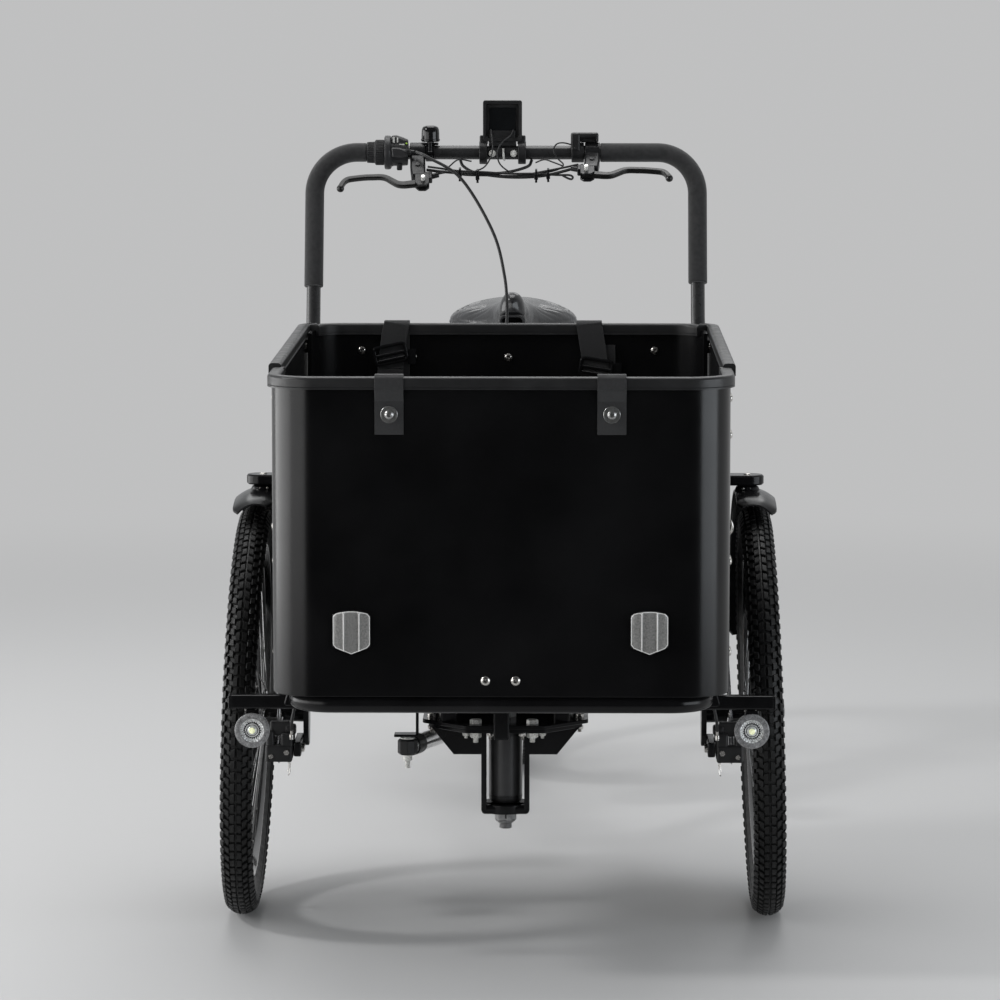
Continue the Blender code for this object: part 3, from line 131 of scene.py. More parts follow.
def smoothPath(points, steps=8):
    # cubic through the points, each piece bent by its neighbours
    p = np.asarray(points, float)
    p = np.vstack([2 * p[0] - p[1], p, 2 * p[-1] - p[-2]])
    t = np.linspace(0, 1, steps, endpoint=False)[None, :, None]
    a, b, c, d = (p[k:len(p) - 3 + k, None] for k in range(4))
    path = 0.5 * (2 * b + (c - a) * t + (2 * a - 5 * b + 4 * c - d) * t ** 2 +
        (3 * b - a - 3 * c + d) * t ** 3)
    return np.vstack([path.reshape(-1, 3), p[-2]])

def roundedPath(corners, radii, steps=10):
    # each inner corner becomes an arc that touches both of its sides
    corners = np.asarray(corners, float)
    if np.isscalar(radii):
        radii = [radii] * (len(corners) - 2)
    runs = [corners[:1]]
    for a, b, c, r in zip(corners, corners[1:], corners[2:], radii):
        inward = (a - b) / np.linalg.norm(a - b)
        outward = (c - b) / np.linalg.norm(c - b)
        half = math.acos(np.clip(inward @ outward, -1, 1)) / 2
        middle = b + (inward + outward) / np.linalg.norm(inward + outward) * r / math.sin(half)
        first, last = b + inward * r / math.tan(half) - middle, b + outward * r / math.tan(
            half) - middle
        sweepAngle = math.pi - 2 * half
        t = np.linspace(0, sweepAngle, steps + 1)[:, None]
        runs.append(middle + (first * np.sin(sweepAngle - t) + last * np.sin(t)) /
            math.sin(sweepAngle))
    runs.append(corners[-1:])
    return np.vstack(runs)

def lathe(profile, steps=48, place=None, closed=False):
    # radius and height pairs turned about Z; a third number above 0 makes a row six-sided
    rows = [tuple(p) + (0,) * (3 - len(p)) for p in profile]
    r = np.array([max(p[0], 1e-5) for p in rows])
    z = np.array([p[1] for p in rows])
    six = np.array([p[2] for p in rows])[:, None]
    a = np.linspace(0, 2 * np.pi, steps, endpoint=False)
    flat = math.cos(math.pi / 6) / np.cos((a % (np.pi / 3)) - np.pi / 6)
    radius = r[:, None] * np.where(six > 0, flat, 1.0)
    points = np.stack([radius * np.cos(a), radius * np.sin(a),
        np.broadcast_to(z[:, None], radius.shape)], -1)
    form = gridForm(points, loop=closed)
    return placed(form, place) if place is not None else form

def rod(start, end, radius, steps=16, soft=0.0):
    start, end = Vector(start), Vector(end)
    long = (end - start).length
    s = min(soft, radius * 0.9, long / 2)
    profile = [(radius - s, 0), (radius - 0.3 * s, 0.3 * s), (radius, s), (radius, long - s),
        (radius - 0.3 * s, long - 0.3 * s), (radius - s, long)] if s else [(radius, 0),
        (radius, long)]
    return lathe(profile, steps, axisTo(start, end - start))

def softBox(size, centre, radius=0.002, steps=2, turn=None):
    # a ball's surface cut at its middle planes and moved apart to the box's corners
    half = np.asarray(size, float) / 2
    radius = min(radius, half.min() * 0.98)
    a = np.linspace(0, np.pi / 2, steps + 1)
    long = np.concatenate([a + k * np.pi / 2 for k in range(4)])
    lat = np.concatenate([a - np.pi / 2, a])
    signX = np.repeat([1, -1, -1, 1], steps + 1)
    signY = np.repeat([1, 1, -1, -1], steps + 1)
    signZ = np.repeat([-1, 1], steps + 1)
    core = half - radius
    c, s = np.cos(lat)[:, None], np.sin(lat)[:, None]
    x = signX * core[0] + radius * c * np.cos(long)
    y = signY * core[1] + radius * c * np.sin(long)
    z = np.broadcast_to((signZ * core[2])[:, None] + radius * s, x.shape)
    form = gridForm(np.stack([x, y, z], -1))
    matrix = Matrix.Translation(centre) @ (turn.to_4x4() if turn else Matrix.Identity(4))
    return placed(form, matrix)

def plateForm(outline, thick, place=None, soft=0.0006):
    # an outline in XY made thick along Z, its edges eased by a smaller outline on each face
    p = np.asarray(outline, float)
    ahead = np.roll(p, -1, 0) - np.roll(p, 1, 0)
    ahead /= np.linalg.norm(ahead, axis=1, keepdims=True) + 1e-12
    area = (p[:, 0] * np.roll(p[:, 1], -1) - p[:, 1] * np.roll(p[:, 0], -1)).sum()
    inward = np.stack([-ahead[:, 1], ahead[:, 0]], -1) * np.sign(area)
    rows = [(soft, -thick / 2), (0, -thick / 2 + soft), (0, thick / 2 - soft), (soft, thick / 2)]
    points = np.stack([np.column_stack([p + inward * s, np.full(len(p), z)]) for s, z in rows])
    form = gridForm(points)
    return placed(form, place) if place is not None else form

onXZ = Matrix(((1, 0, 0, 0), (0, 0, -1, 0), (0, 1, 0, 0), (0, 0, 0, 1)))
onYZ = Matrix(((0, 0, 1, 0), (1, 0, 0, 0), (0, 1, 0, 0), (0, 0, 0, 1)))

def at(x, y, z):
    return Matrix.Translation((x, y, z))

def arcPoints(centre, radius, first, last, steps):
    a = np.radians(np.linspace(first, last, steps + 1))
    return np.stack([centre[0] + radius * np.cos(a), centre[1] + radius * np.sin(a)], -1)

def softOutline(corners, radius, steps=4):
    # a closed outline with rounded corners
    p = [tuple(c) for c in corners]
    middle = tuple((a + b) / 2 for a, b in zip(p[0], p[-1]))
    path = roundedPath([middle + (0,)] + [c + (0,) for c in p] + [middle + (0,)], radius, steps)
    return path[:-1, :2]

def button(point, normal, radius=0.007, high=0.0038, washer=0.0):
    # round screw head with a six-sided socket, on a washer where one is given
    lift = 0.0015 if washer else 0.0
    forms = [lathe([(radius * 0.98, lift - 0.001), (radius, lift + high * 0.15),
        (radius * 0.93, lift + high * 0.5), (radius * 0.75, lift + high * 0.82),
        (radius * 0.5, lift + high), (radius * 0.45, lift + high, 1),
        (radius * 0.42, lift + high * 0.35, 1), (0, lift + high * 0.25)], 24,
        axisTo(point, normal))]
    if washer:
        forms.append(lathe([(washer - 0.0004, -0.0008), (washer, -0.0003), (washer, lift - 0.0004),
            (washer - 0.0004, lift), (radius * 0.5, lift)], 32, axisTo(point, normal)))
    return forms

def hexHead(point, normal, across, high, stud=0.0):
    # nut or bolt head with chamfered corners, and the end of its thread where one shows
    r = across / 2 / math.cos(math.pi / 6)
    forms = [lathe([(r, 0, 1), (r, high * 0.82, 1), (across / 2 * 0.97, high), (0, high)], 24,
        axisTo(point, normal))]
    if stud:
        thread = across * 0.27
        rows = [(thread * (1.0 if k % 2 else 0.9), high * 0.9 + stud * k / 14) for k in range(14)]
        forms.append(lathe(rows + [(thread * 0.7, high * 0.9 + stud), (0, high * 0.9 + stud)], 16,
            axisTo(point, normal)))
    return forms

def meshOf(name, forms):
    points, faces, counts, places = [], [], [], []
    base = 0
    for form in forms:
        points.append(form["v"])
        faces.append((form["q"] + base).ravel())
        counts.append(np.full(len(form["q"]), 4))
        places.append(form["uv"].reshape(-1, 2))
        for many in form["n"]:
            faces.append(np.array(many) + base)
            counts.append(np.array([len(many)]))
            places.append(np.zeros((len(many), 2)))
        base += len(form["v"])
    points, faces = np.concatenate(points), np.concatenate(faces)
    counts, places = np.concatenate(counts), np.concatenate(places)
    points = points + np.array([0, axleShift, 0])
    mesh = bpy.data.meshes.new(name)
    mesh.vertices.add(len(points))
    mesh.vertices.foreach_set("co", points.astype(np.float32).ravel())
    mesh.loops.add(len(faces))
    mesh.loops.foreach_set("vertex_index", faces.astype(np.int32))
    mesh.polygons.add(len(counts))
    starts = np.concatenate([[0], np.cumsum(counts)[:-1]])
    mesh.polygons.foreach_set("loop_start", starts.astype(np.int32))
    mesh.polygons.foreach_set("loop_total", counts.astype(np.int32))
    mesh.update(calc_edges=True)
    layer = mesh.uv_layers.new(name="lay")
    layer.data.foreach_set("uv", places.astype(np.float32).ravel())
    bm = bmesh.new()
    bm.from_mesh(mesh)
    bmesh.ops.remove_doubles(bm, verts=bm.verts, dist=0.000002)
    bmesh.ops.dissolve_degenerate(bm, edges=bm.edges, dist=0.0000005)
    bm.to_mesh(mesh)
    bm.free()
    mesh.validate()
    mesh.shade_smooth()
    mesh.set_sharp_from_angle(angle=math.radians(38))
    return mesh

def addPiece(name, forms, finish, body="front_chassis", stands=()):
    mesh = meshOf(name, forms)
    obj = bpy.data.objects.new(name, mesh)
    bpy.context.scene.collection.objects.link(obj)
    mesh.materials.append(finishes[finish])
    even = obj.modifiers.new("flatFaces", "WEIGHTED_NORMAL")      # big faces stay flat
    even.keep_sharp = True
    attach(obj, body)
    if stands:
        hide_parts(*stands)
    return obj

finishes = {}

def makeFinish(name, colour, rough, metal=0.0, tone=0.0, toneScale=40.0, roughSpread=0.0,
    grain=0.0, grainScale=900.0, coat=0.0, specular=0.5, sheen=0.0, weave=None, brushed=None,
    glow=0.0):
    # tone mixes the colour with a lighter one over noise; grain is a fine bump;
    # weave is threads per unit of the lay map; brushed stretches the noise along one axis
    mat = bpy.data.materials.new(name)
    mat.use_nodes = True
    tree = mat.node_tree
    shader = tree.nodes["Principled BSDF"]
    sockets = shader.inputs
    sockets["Base Color"].default_value = (*colour, 1)
    sockets["Roughness"].default_value = rough
    sockets["Metallic"].default_value = metal
    sockets["Specular IOR Level"].default_value = specular
    sockets["Coat Weight"].default_value = coat
    sockets["Coat Roughness"].default_value = 0.05
    sockets["Sheen Weight"].default_value = sheen
    sockets["IOR"].default_value = 1.45
    if glow:
        sockets["Emission Color"].default_value = (*colour, 1)
        sockets["Emission Strength"].default_value = glow
    place = tree.nodes.new("ShaderNodeTexCoord")
    source = place.outputs["Object"]
    if brushed:
        stretch = tree.nodes.new("ShaderNodeMapping")
        stretch.inputs["Scale"].default_value = brushed
        tree.links.new(source, stretch.inputs["Vector"])
        source = stretch.outputs["Vector"]

    def noise(scale, detail=3.0):
        made = tree.nodes.new("ShaderNodeTexNoise")
        made.inputs["Scale"].default_value = scale
        made.inputs["Detail"].default_value = detail
        tree.links.new(source, made.inputs["Vector"])
        return made.outputs["Fac"]

    def span(value, low, high):
        made = tree.nodes.new("ShaderNodeMapRange")
        made.inputs["From Min"].default_value = 0.3
        made.inputs["From Max"].default_value = 0.7
        made.inputs["To Min"].default_value = low
        made.inputs["To Max"].default_value = high
        tree.links.new(value, made.inputs["Value"])
        return made.outputs["Result"]

    if tone:
        mix = tree.nodes.new("ShaderNodeMix")
        mix.data_type = "RGBA"
        mix.inputs["A"].default_value = (*[c * (1 - tone) for c in colour], 1)
        mix.inputs["B"].default_value = (*[min(1, c * (1 + tone) + tone * 0.004) for c in colour],
            1)
        tree.links.new(span(noise(toneScale), 0.0, 1.0), mix.inputs["Factor"])
        tree.links.new(mix.outputs["Result"], sockets["Base Color"])
    if roughSpread:
        tree.links.new(span(noise(toneScale * 2.3), max(0.02, rough - roughSpread),
            min(1.0, rough + roughSpread)), sockets["Roughness"])
    height = None
    if weave:
        lay = tree.nodes.new("ShaderNodeUVMap")
        lay.uv_map = "lay"
        waves = []
        for along in weave:
            turn = tree.nodes.new("ShaderNodeMapping")
            turn.inputs["Scale"].default_value = (along[0], along[1], 1)
            tree.links.new(lay.outputs["UV"], turn.inputs["Vector"])
            wave = tree.nodes.new("ShaderNodeTexWave")
            wave.inputs["Scale"].default_value = 1.0
            wave.inputs["Distortion"].default_value = 0.25
            tree.links.new(turn.outputs["Vector"], wave.inputs["Vector"])
            waves.append(wave.outputs["Fac"])
        height = waves[0]
        if len(waves) > 1:
            both = tree.nodes.new("ShaderNodeMath")
            both.operation = "MULTIPLY"
            tree.links.new(waves[0], both.inputs[0])
            tree.links.new(waves[1], both.inputs[1])
            height = both.outputs["Value"]
    elif grain:
        height = noise(grainScale, 4.0)
    if height is not None:
        bump = tree.nodes.new("ShaderNodeBump")
        bump.inputs["Strength"].default_value = min(1.0, grain if grain else 0.6)
        bump.inputs["Distance"].default_value = 0.0004
        tree.links.new(height, bump.inputs["Height"])
        tree.links.new(bump.outputs["Normal"], sockets["Normal"])
    finishes[name] = mat
    return mat

makeFinish("boxPanel", (0.0034, 0.0034, 0.0037), 0.23, tone=0.25, toneScale=7.0, roughSpread=0.03,
    grain=0.05, grainScale=1600, specular=0.4)
makeFinish("glossPaint", (0.0045, 0.0045, 0.005), 0.16, tone=0.3, toneScale=12.0, roughSpread=0.05,
    grain=0.03, grainScale=240, coat=0.6)
makeFinish("framePaint", (0.004, 0.004, 0.0044), 0.22, tone=0.3, toneScale=12.0, roughSpread=0.05,
    grain=0.03, grainScale=240, specular=0.28)
makeFinish("barPaint", (0.019, 0.019, 0.0195), 0.27, tone=0.15, toneScale=30.0, roughSpread=0.02,
    coat=0.2)
makeFinish("edgeTrim", (0.0135, 0.0135, 0.014), 0.38, tone=0.18, toneScale=30.0, roughSpread=0.06,
    grain=0.12, grainScale=1500)
makeFinish("tyreRubber", (0.0045, 0.0045, 0.0045), 0.47, tone=0.35, toneScale=55.0,
    roughSpread=0.1, grain=0.3, grainScale=1300, specular=0.35)
makeFinish("foamRubber", (0.019, 0.019, 0.0195), 0.88, tone=0.25, toneScale=160.0, grain=0.8,
    grainScale=1500, sheen=0.25, specular=0.25)
makeFinish("gripRubber", (0.014, 0.014, 0.015), 0.6, tone=0.2, toneScale=120.0, grain=0.3,
    grainScale=1800)
makeFinish("blackPlastic", (0.01, 0.01, 0.0105), 0.42, tone=0.25, toneScale=60.0, roughSpread=0.08,
    grain=0.22, grainScale=1900)
makeFinish("glossPlastic", (0.006, 0.006, 0.0065), 0.14, tone=0.2, toneScale=25.0,
    roughSpread=0.05, grain=0.03, grainScale=500)
makeFinish("tubeMetal", (0.11, 0.11, 0.108), 0.33, metal=1.0, tone=0.2, toneScale=60.0,
    roughSpread=0.08, grain=0.06, grainScale=700, brushed=(1, 1, 0.05))
makeFinish("screwSteel", (0.62, 0.6, 0.57), 0.24, metal=1.0, tone=0.18, toneScale=220.0,
    roughSpread=0.1, grain=0.08, grainScale=1500)
makeFinish("washerSteel", (0.48, 0.48, 0.47), 0.36, metal=1.0, tone=0.15, toneScale=260.0,
    roughSpread=0.1, grain=0.1, grainScale=1200)
makeFinish("damperMetal", (0.7, 0.7, 0.7), 0.27, metal=1.0, tone=0.12, toneScale=90.0,
    roughSpread=0.08, grain=0.05, grainScale=900, brushed=(0.1, 0.1, 1))
makeFinish("discSteel", (0.3, 0.3, 0.31), 0.32, metal=1.0, tone=0.2, toneScale=130.0,
    roughSpread=0.1, grain=0.08, grainScale=1300)
makeFinish("chainSteel", (0.13, 0.125, 0.12), 0.38, metal=1.0, tone=0.35, toneScale=300.0,
    roughSpread=0.12, grain=0.1, grainScale=1500)
makeFinish("spokeSteel", (0.22, 0.22, 0.22), 0.34, metal=1.0, tone=0.2, toneScale=200.0,
    roughSpread=0.08, grain=0.04, grainScale=900)
makeFinish("kingpinZinc", (0.34, 0.34, 0.34), 0.42, metal=0.8, tone=0.2, toneScale=180.0,
    roughSpread=0.1, grain=0.15, grainScale=900)
makeFinish("boltZinc", (0.84, 0.82, 0.77), 0.32, metal=0.45, tone=0.25, toneScale=260.0,
    roughSpread=0.12, grain=0.12, grainScale=1300)
makeFinish("leverGrey", (0.0085, 0.0085, 0.0092), 0.32, tone=0.25, toneScale=70.0,
    roughSpread=0.08, grain=0.15, grainScale=1500)
makeFinish("leverBlack", (0.0085, 0.0083, 0.0081), 0.3, tone=0.2, toneScale=60.0, roughSpread=0.06,
    grain=0.08, grainScale=1300)
makeFinish("shiftGrey", (0.02, 0.02, 0.021), 0.4, tone=0.2, toneScale=80.0, roughSpread=0.08,
    grain=0.2, grainScale=1700)
makeFinish("pointerLime", (0.25, 0.42, 0.03), 0.35, tone=0.1, toneScale=300.0)
# the head tube is glossy black like the frame; its lighter grey base colour is a painted
# reflection of what its front mirrors
makeFinish("headTubePaintedSheen", (0.036, 0.036, 0.037), 0.32, tone=0.15, toneScale=30.0, roughSpread=0.04,
    grain=0.03, grainScale=400, coat=0.15)
makeFinish("saddleVinyl", (0.015, 0.0153, 0.0165), 0.3, tone=0.2, toneScale=30.0, roughSpread=0.06,
    grain=0.08, grainScale=850, coat=0.35)
makeFinish("cableSleeve", (0.016, 0.016, 0.0165), 0.42, tone=0.15, toneScale=40.0,
    roughSpread=0.05)
makeFinish("webbing", (0.0125, 0.0125, 0.0135), 0.78, tone=0.3, toneScale=350.0, grain=0.9,
    sheen=0.2, weave=((1, 0), (0.5, 1)))
makeFinish("floorBoard", (0.02, 0.018, 0.017), 0.42, tone=0.45, toneScale=9.0, roughSpread=0.1,
    grain=0.3, grainScale=420, brushed=(1, 0.15, 1))
makeFinish("lampBowl", (0.6, 0.61, 0.61), 0.28, metal=0.4, tone=0.45, toneScale=400.0,
    roughSpread=0.08, grain=0.5, grainScale=600)
makeFinish("domeGlass", (0.62, 0.64, 0.62), 0.1, metal=0.3, tone=0.3, toneScale=350.0,
    roughSpread=0.05, coat=0.8)
makeFinish("lampGrey", (0.2, 0.2, 0.203), 0.26, metal=0.3, tone=0.35, toneScale=200.0,
    roughSpread=0.08, grain=0.2, grainScale=900, specular=0.6)
makeFinish("ledGlow", (0.8, 0.84, 0.52), 0.3, tone=0.3, toneScale=300.0, glow=0.25)
makeFinish("prismGlass", (0.27, 0.268, 0.26), 0.16, metal=0.35, tone=0.3, toneScale=500.0,
    roughSpread=0.1, coat=0.8)
# light colour for the reflector's rim and fold lines, which are painted highlights
makeFinish("prismEdgeHighlight", (0.62, 0.615, 0.6), 0.2, tone=0.15, toneScale=500.0, coat=0.6)
makeFinish("amberGlass", (0.6, 0.19, 0.01), 0.16, tone=0.3, toneScale=600.0, roughSpread=0.08,
    coat=0.7)
makeFinish("redGlass", (0.3, 0.008, 0.006), 0.12, tone=0.3, toneScale=500.0, roughSpread=0.06,
    coat=0.8)
makeFinish("screenGlass", (0.004, 0.0045, 0.005), 0.07, tone=0.2, toneScale=18.0, roughSpread=0.03,
    specular=0.6)
makeFinish("windowPale", (0.42, 0.42, 0.4), 0.3, tone=0.2, toneScale=300.0, roughSpread=0.08)
print("finishes made:", len(finishes))

studio = {"paper": (0.475, 0.475, 0.475), "far": (0.525, 0.527, 0.53), "keyPower": 88.0,
    "topPower": 92.0, "leftBox": 27.0, "leftStrip": 88.0, "rightBox": 56.0, "backPower": 20.0,
    "around": 0.53, "fadeFrom": 1.9, "fadeTo": 4.8}
cameraData = bpy.data.cameras.new("photoCamera")
cameraData.lens = 171.3
cameraData.sensor_width = 36.0
cameraData.clip_end = 60.0
camera = bpy.data.objects.new("photoCamera", cameraData)
camera.location = (0.0885, -7.0663 + axleShift, 1.421)
camera.rotation_euler = (math.radians(90 - 6.43), 0, math.radians(0.78))
bpy.context.scene.collection.objects.link(camera)
bpy.context.scene.camera = camera
bpy.context.scene.view_settings.view_transform = "Standard"

def addLamp(name, place, target, size, power, colour=(1, 1, 1)):
    data = bpy.data.lights.new(name, "AREA")
    data.shape = "RECTANGLE"
    data.size, data.size_y = size
    data.energy = power
    data.color = colour
    lamp = bpy.data.objects.new(name, data)
    lamp.location = place
    way = Vector(target) - Vector(place)
    lamp.rotation_euler = way.to_track_quat("-Z", "Y").to_euler()
    lamp.visible_camera = False
    bpy.context.scene.collection.objects.link(lamp)

addLamp("keyLeft", (-4.2, -1.6, 3.9), (0, -0.2, 0.4), (0.7, 0.7), studio["keyPower"])
addLamp("topSoft", (0.0, 0.6, 4.4), (0, -0.1, 0.5), (3.0, 3.0), studio["topPower"])
addLamp("leftBox", (-2.6, -3.35, 0.9), (-0.3, -1.0, 0.6), (2.4, 1.8), studio["leftBox"])
addLamp("leftStrip", (-3.68, -0.55, 0.9), (-0.3, -0.9, 0.6), (4.2, 1.8), studio["leftStrip"])
addLamp("rightBox", (3.3, -2.6, 0.9), (0.3, -1.0, 0.6), (3.0, 1.8), studio["rightBox"],
    (0.9, 0.95, 1.0))
addLamp("backTop", (0.0, 4.2, 3.2), (0, 0.4, 0.6), (3.5, 1.0), studio["backPower"])

def nodeMaker(tree):
    def math2(kind, one, two):
        made = tree.nodes.new("ShaderNodeMath")
        made.operation = kind
        for socket, value in zip(made.inputs, (one, two)):
            if isinstance(value, (int, float)):
                socket.default_value = value
            else:
                tree.links.new(value, socket)
        return made.outputs["Value"]

    def ramp(value, low, high, first, last):
        made = tree.nodes.new("ShaderNodeMapRange")
        made.interpolation_type = "SMOOTHSTEP"
        for name, number in (("From Min", low), ("From Max", high), ("To Min", first),
            ("To Max", last)):
            made.inputs[name].default_value = number
        tree.links.new(value, made.inputs["Value"])
        return made.outputs["Result"]

    def blend(factor, one, two):
        made = tree.nodes.new("ShaderNodeMixShader")
        tree.links.new(factor, made.inputs[0])
        tree.links.new(one, made.inputs[1])
        tree.links.new(two, made.inputs[2])
        return made.outputs[0]

    return math2, ramp, blend

def backdrop():
    # one flat floor, wide enough for every view
    mesh = bpy.data.meshes.new("studioFloor")
    mesh.from_pydata([(-16, -16, 0), (16, -16, 0), (16, 16, 0), (-16, 16, 0)], [], [(0, 1, 2, 3)])
    floor = bpy.data.objects.new("studioFloor", mesh)
    bpy.context.scene.collection.objects.link(floor)
    mat = bpy.data.materials.new("studioPaper")
    mat.use_nodes = True
    tree = mat.node_tree
    math2, ramp, blend = nodeMaker(tree)
    shader = tree.nodes["Principled BSDF"]
    shader.inputs["Base Color"].default_value = (*studio["paper"], 1)
    shader.inputs["Roughness"].default_value = 0.75
    shader.inputs["Specular IOR Level"].default_value = 0.15
    # far from the object the paper has one even tone in the picture and in reflections,
    # but the shiny parts see dark space on the camera's side
    place = tree.nodes.new("ShaderNodeTexCoord")
    split = tree.nodes.new("ShaderNodeSeparateXYZ")
    tree.links.new(place.outputs["Object"], split.inputs[0])
    reach = tree.nodes.new("ShaderNodeVectorMath")
    reach.operation = "LENGTH"
    tree.links.new(place.outputs["Object"], reach.inputs[0])
    fade = ramp(reach.outputs["Value"], studio["fadeFrom"], studio["fadeTo"], 0.0, 1.0)
    light = tree.nodes.new("ShaderNodeLightPath")
    glossy = light.outputs["Is Glossy Ray"]
    seen = math2("MAXIMUM", math2("MAXIMUM", light.outputs["Is Camera Ray"],
        light.outputs["Is Transmission Ray"]), glossy)
    even = tree.nodes.new("ShaderNodeEmission")
    even.inputs["Color"].default_value = (*studio["far"], 1)
    dark = tree.nodes.new("ShaderNodeEmission")
    dark.inputs["Strength"].default_value = 0.0
    front = math2("MULTIPLY", glossy, ramp(split.outputs["Y"], -2.6, -1.3, 1.0, 0.0))
    paper = blend(math2("MULTIPLY", fade, seen), shader.outputs[0], even.outputs[0])
    paper = blend(front, paper, dark.outputs[0])
    tree.links.new(paper, tree.nodes["Material Output"].inputs["Surface"])
    mesh.materials.append(mat)

backdrop()
world = bpy.data.worlds.new("studioAir")
world.use_nodes = True
bpy.context.scene.world = world
worldTree = world.node_tree
math2, ramp, blend = nodeMaker(worldTree)
around = worldTree.nodes["Background"]
around.inputs["Color"].default_value = (0.97, 0.985, 1.0, 1)
farShade = worldTree.nodes.new("ShaderNodeBackground")
farShade.inputs["Color"].default_value = (*studio["far"], 1)
viewWay = worldTree.nodes.new("ShaderNodeTexCoord")
split = worldTree.nodes.new("ShaderNodeSeparateXYZ")
worldTree.links.new(viewWay.outputs["Generated"], split.inputs[0])
light = worldTree.nodes.new("ShaderNodeLightPath")
# shiny parts see less of the sky on the camera's side
ahead = math2("MULTIPLY", light.outputs["Is Glossy Ray"],
    ramp(split.outputs["Y"], -0.55, 0.3, 0.94, 0.0))
worldTree.links.new(math2("MULTIPLY", math2("SUBTRACT", 1.0, ahead), studio["around"]),
    around.inputs["Strength"])
seen = math2("MAXIMUM", light.outputs["Is Camera Ray"], light.outputs["Is Transmission Ray"])
worldTree.links.new(blend(seen, around.outputs[0], farShade.outputs[0]),
    worldTree.nodes["World Output"].inputs["Surface"])
print("studio ready")

box = {"front": -0.52, "rear": 0.4, "half": 0.32, "low": 0.407, "wall": 0.006, "frontTop": 0.8455,
    "rearTop": 0.851, "frontTurn": 0.058, "rearTurn": 0.05, "seam": -0.36, "rearInset": 0.0095,
    "rearWrap": 0.1, "trimHigh": 0.0175, "trimWide": 0.018, "lap": 0.009}
half, wall = box["half"], box["wall"]

def uPath(halfWide, back, front, turn, steps=16):
    # three sides seen from above, starting and ending at the back
    return roundedPath([(-halfWide, back, 0), (-halfWide, front, 0), (halfWide, front, 0),
        (halfWide, back, 0)], turn, steps)

def denser(path, step=0.03):
    # long straight runs get points of their own, so that bends in them stay local
    path = np.asarray(path, float)
    out = [path[:1]]
    for a, b in zip(path, path[1:]):
        count = max(1, int(np.linalg.norm(b - a) / step))
        out.append(a + (b - a) * (np.arange(1, count + 1) / count)[:, None])
    return np.vstack(out)

def wallAlong(path, thick, low, high, soft=0.0012):
    middle = path + np.array([0, 0, (low + high) / 2])
    return sweep(middle, softRectangle(thick, high - low, soft, 2))

frontPath = uPath(half - wall / 2, box["seam"], box["front"] + wall / 2, box["frontTurn"])
rearHalf = half - box["rearInset"] - wall / 2
rearPath = uPath(rearHalf, -(box["rear"] - box["rearWrap"]), -(box["rear"] - wall / 2),
    box["rearTurn"]) * np.array([-1, -1, 1])
sideX, sideTurn = half - wall / 2, box["rear"] - 0.025
sidePath = roundedPath([(sideX, box["seam"] + 0.0006, 0), (sideX, sideTurn, 0),
    (sideX - 0.014, sideTurn + 0.0245, 0)], 0.03, 8)

addPiece("frontPanel", [wallAlong(frontPath, wall, box["low"], box["frontTop"])], "boxPanel",
    stands=["front_panel"])
addPiece("rearPanel", [wallAlong(rearPath, wall, box["low"], box["rearTop"])], "boxPanel",
    stands=["rear_panel"])
sideForm = wallAlong(sidePath, wall, box["low"], box["rearTop"])
addPiece("leftPanel", [sideForm], "boxPanel", stands=["left_panel"])
addPiece("rightPanel", mirrored([sideForm]), "boxPanel", stands=["right_panel"])
nodes["box_floor"].data.materials.clear()
nodes["box_floor"].data.materials.append(finishes["floorBoard"])

def trimSection(inner, outer, high):
    # flat sides, a crowned top and a groove line under it, x across and y up
    e = 0.0045
    top = [(outer - e * (1 - math.sin(a)), high - e * (1 - math.cos(a))) for a in
        np.linspace(math.pi / 2, 0, 5)]
    top += [((outer - inner) / 2, high + 0.0002)]
    top += [(-inner + e * (1 - math.sin(a)), high - e * (1 - math.cos(a))) for a in np.linspace(0,
        math.pi / 2, 5)]
    sides = [(-inner, 0.0034), (-inner + 0.0006, 0.0028), (-inner, 0.0022), (-inner, 0),
        (outer, 0), (outer, 0.0022), (outer - 0.0006, 0.0028), (outer, 0.0034)]
    return np.array(top + sides)

def trimForm(path, low, inner, outer):
    # tangent x up points to the outside on these paths, so outer is the section's +x
    return sweep(path + np.array([0, 0, low]), trimSection(inner, outer, box["trimHigh"]))

frontTrimLow, rearTrimLow = box["frontTop"] - box["lap"], box["rearTop"] - box["lap"]
halfTrim = box["trimWide"] / 2
addPiece("frontTrim", [trimForm(frontPath, frontTrimLow, halfTrim, halfTrim)], "edgeTrim",
    stands=["front_trim"])
cutRear = len(rearPath) // 2 - 13
addPiece("rearTrim", [trimForm(rearPath[cutRear:-cutRear], rearTrimLow, halfTrim, halfTrim)],
    "edgeTrim", stands=["rear_trim"])
innerSide = wall / 2 + 0.0015
sideTrim = trimForm(sidePath, rearTrimLow, innerSide, box["trimWide"] - innerSide)
addPiece("leftTrim", [sideTrim], "edgeTrim", stands=["left_trim"])
addPiece("rightTrim", mirrored([sideTrim]), "edgeTrim", stands=["right_trim"])

# black joiners between the front trim and the side trims, and outside joint strips
joiner = [rod((half - 0.006, box["seam"] + 0.0035, z),
    (half - 0.006, box["seam"] + 0.0035, z + 0.0055), 0.0072, 24, 0.0008) for z in (0.8425,
    0.8482)]
strip = [softBox((0.0028, 0.046, 0.4), (half + 0.0013, box["seam"], 0.628), 0.0009)]
addPiece("seamJoiners", bothSides(joiner), "blackPlastic")
addPiece("seamStrips", bothSides(strip), "glossPaint")
seamBolts = []
for z in (0.45, 0.58, 0.76, 0.812):
    for y in (-0.013, 0.013):
        seamBolts += button((half + 0.0027, box["seam"] + y, z), (1, 0, 0), 0.0055, 0.003)
addPiece("seamBolts", bothSides(seamBolts), "screwSteel")

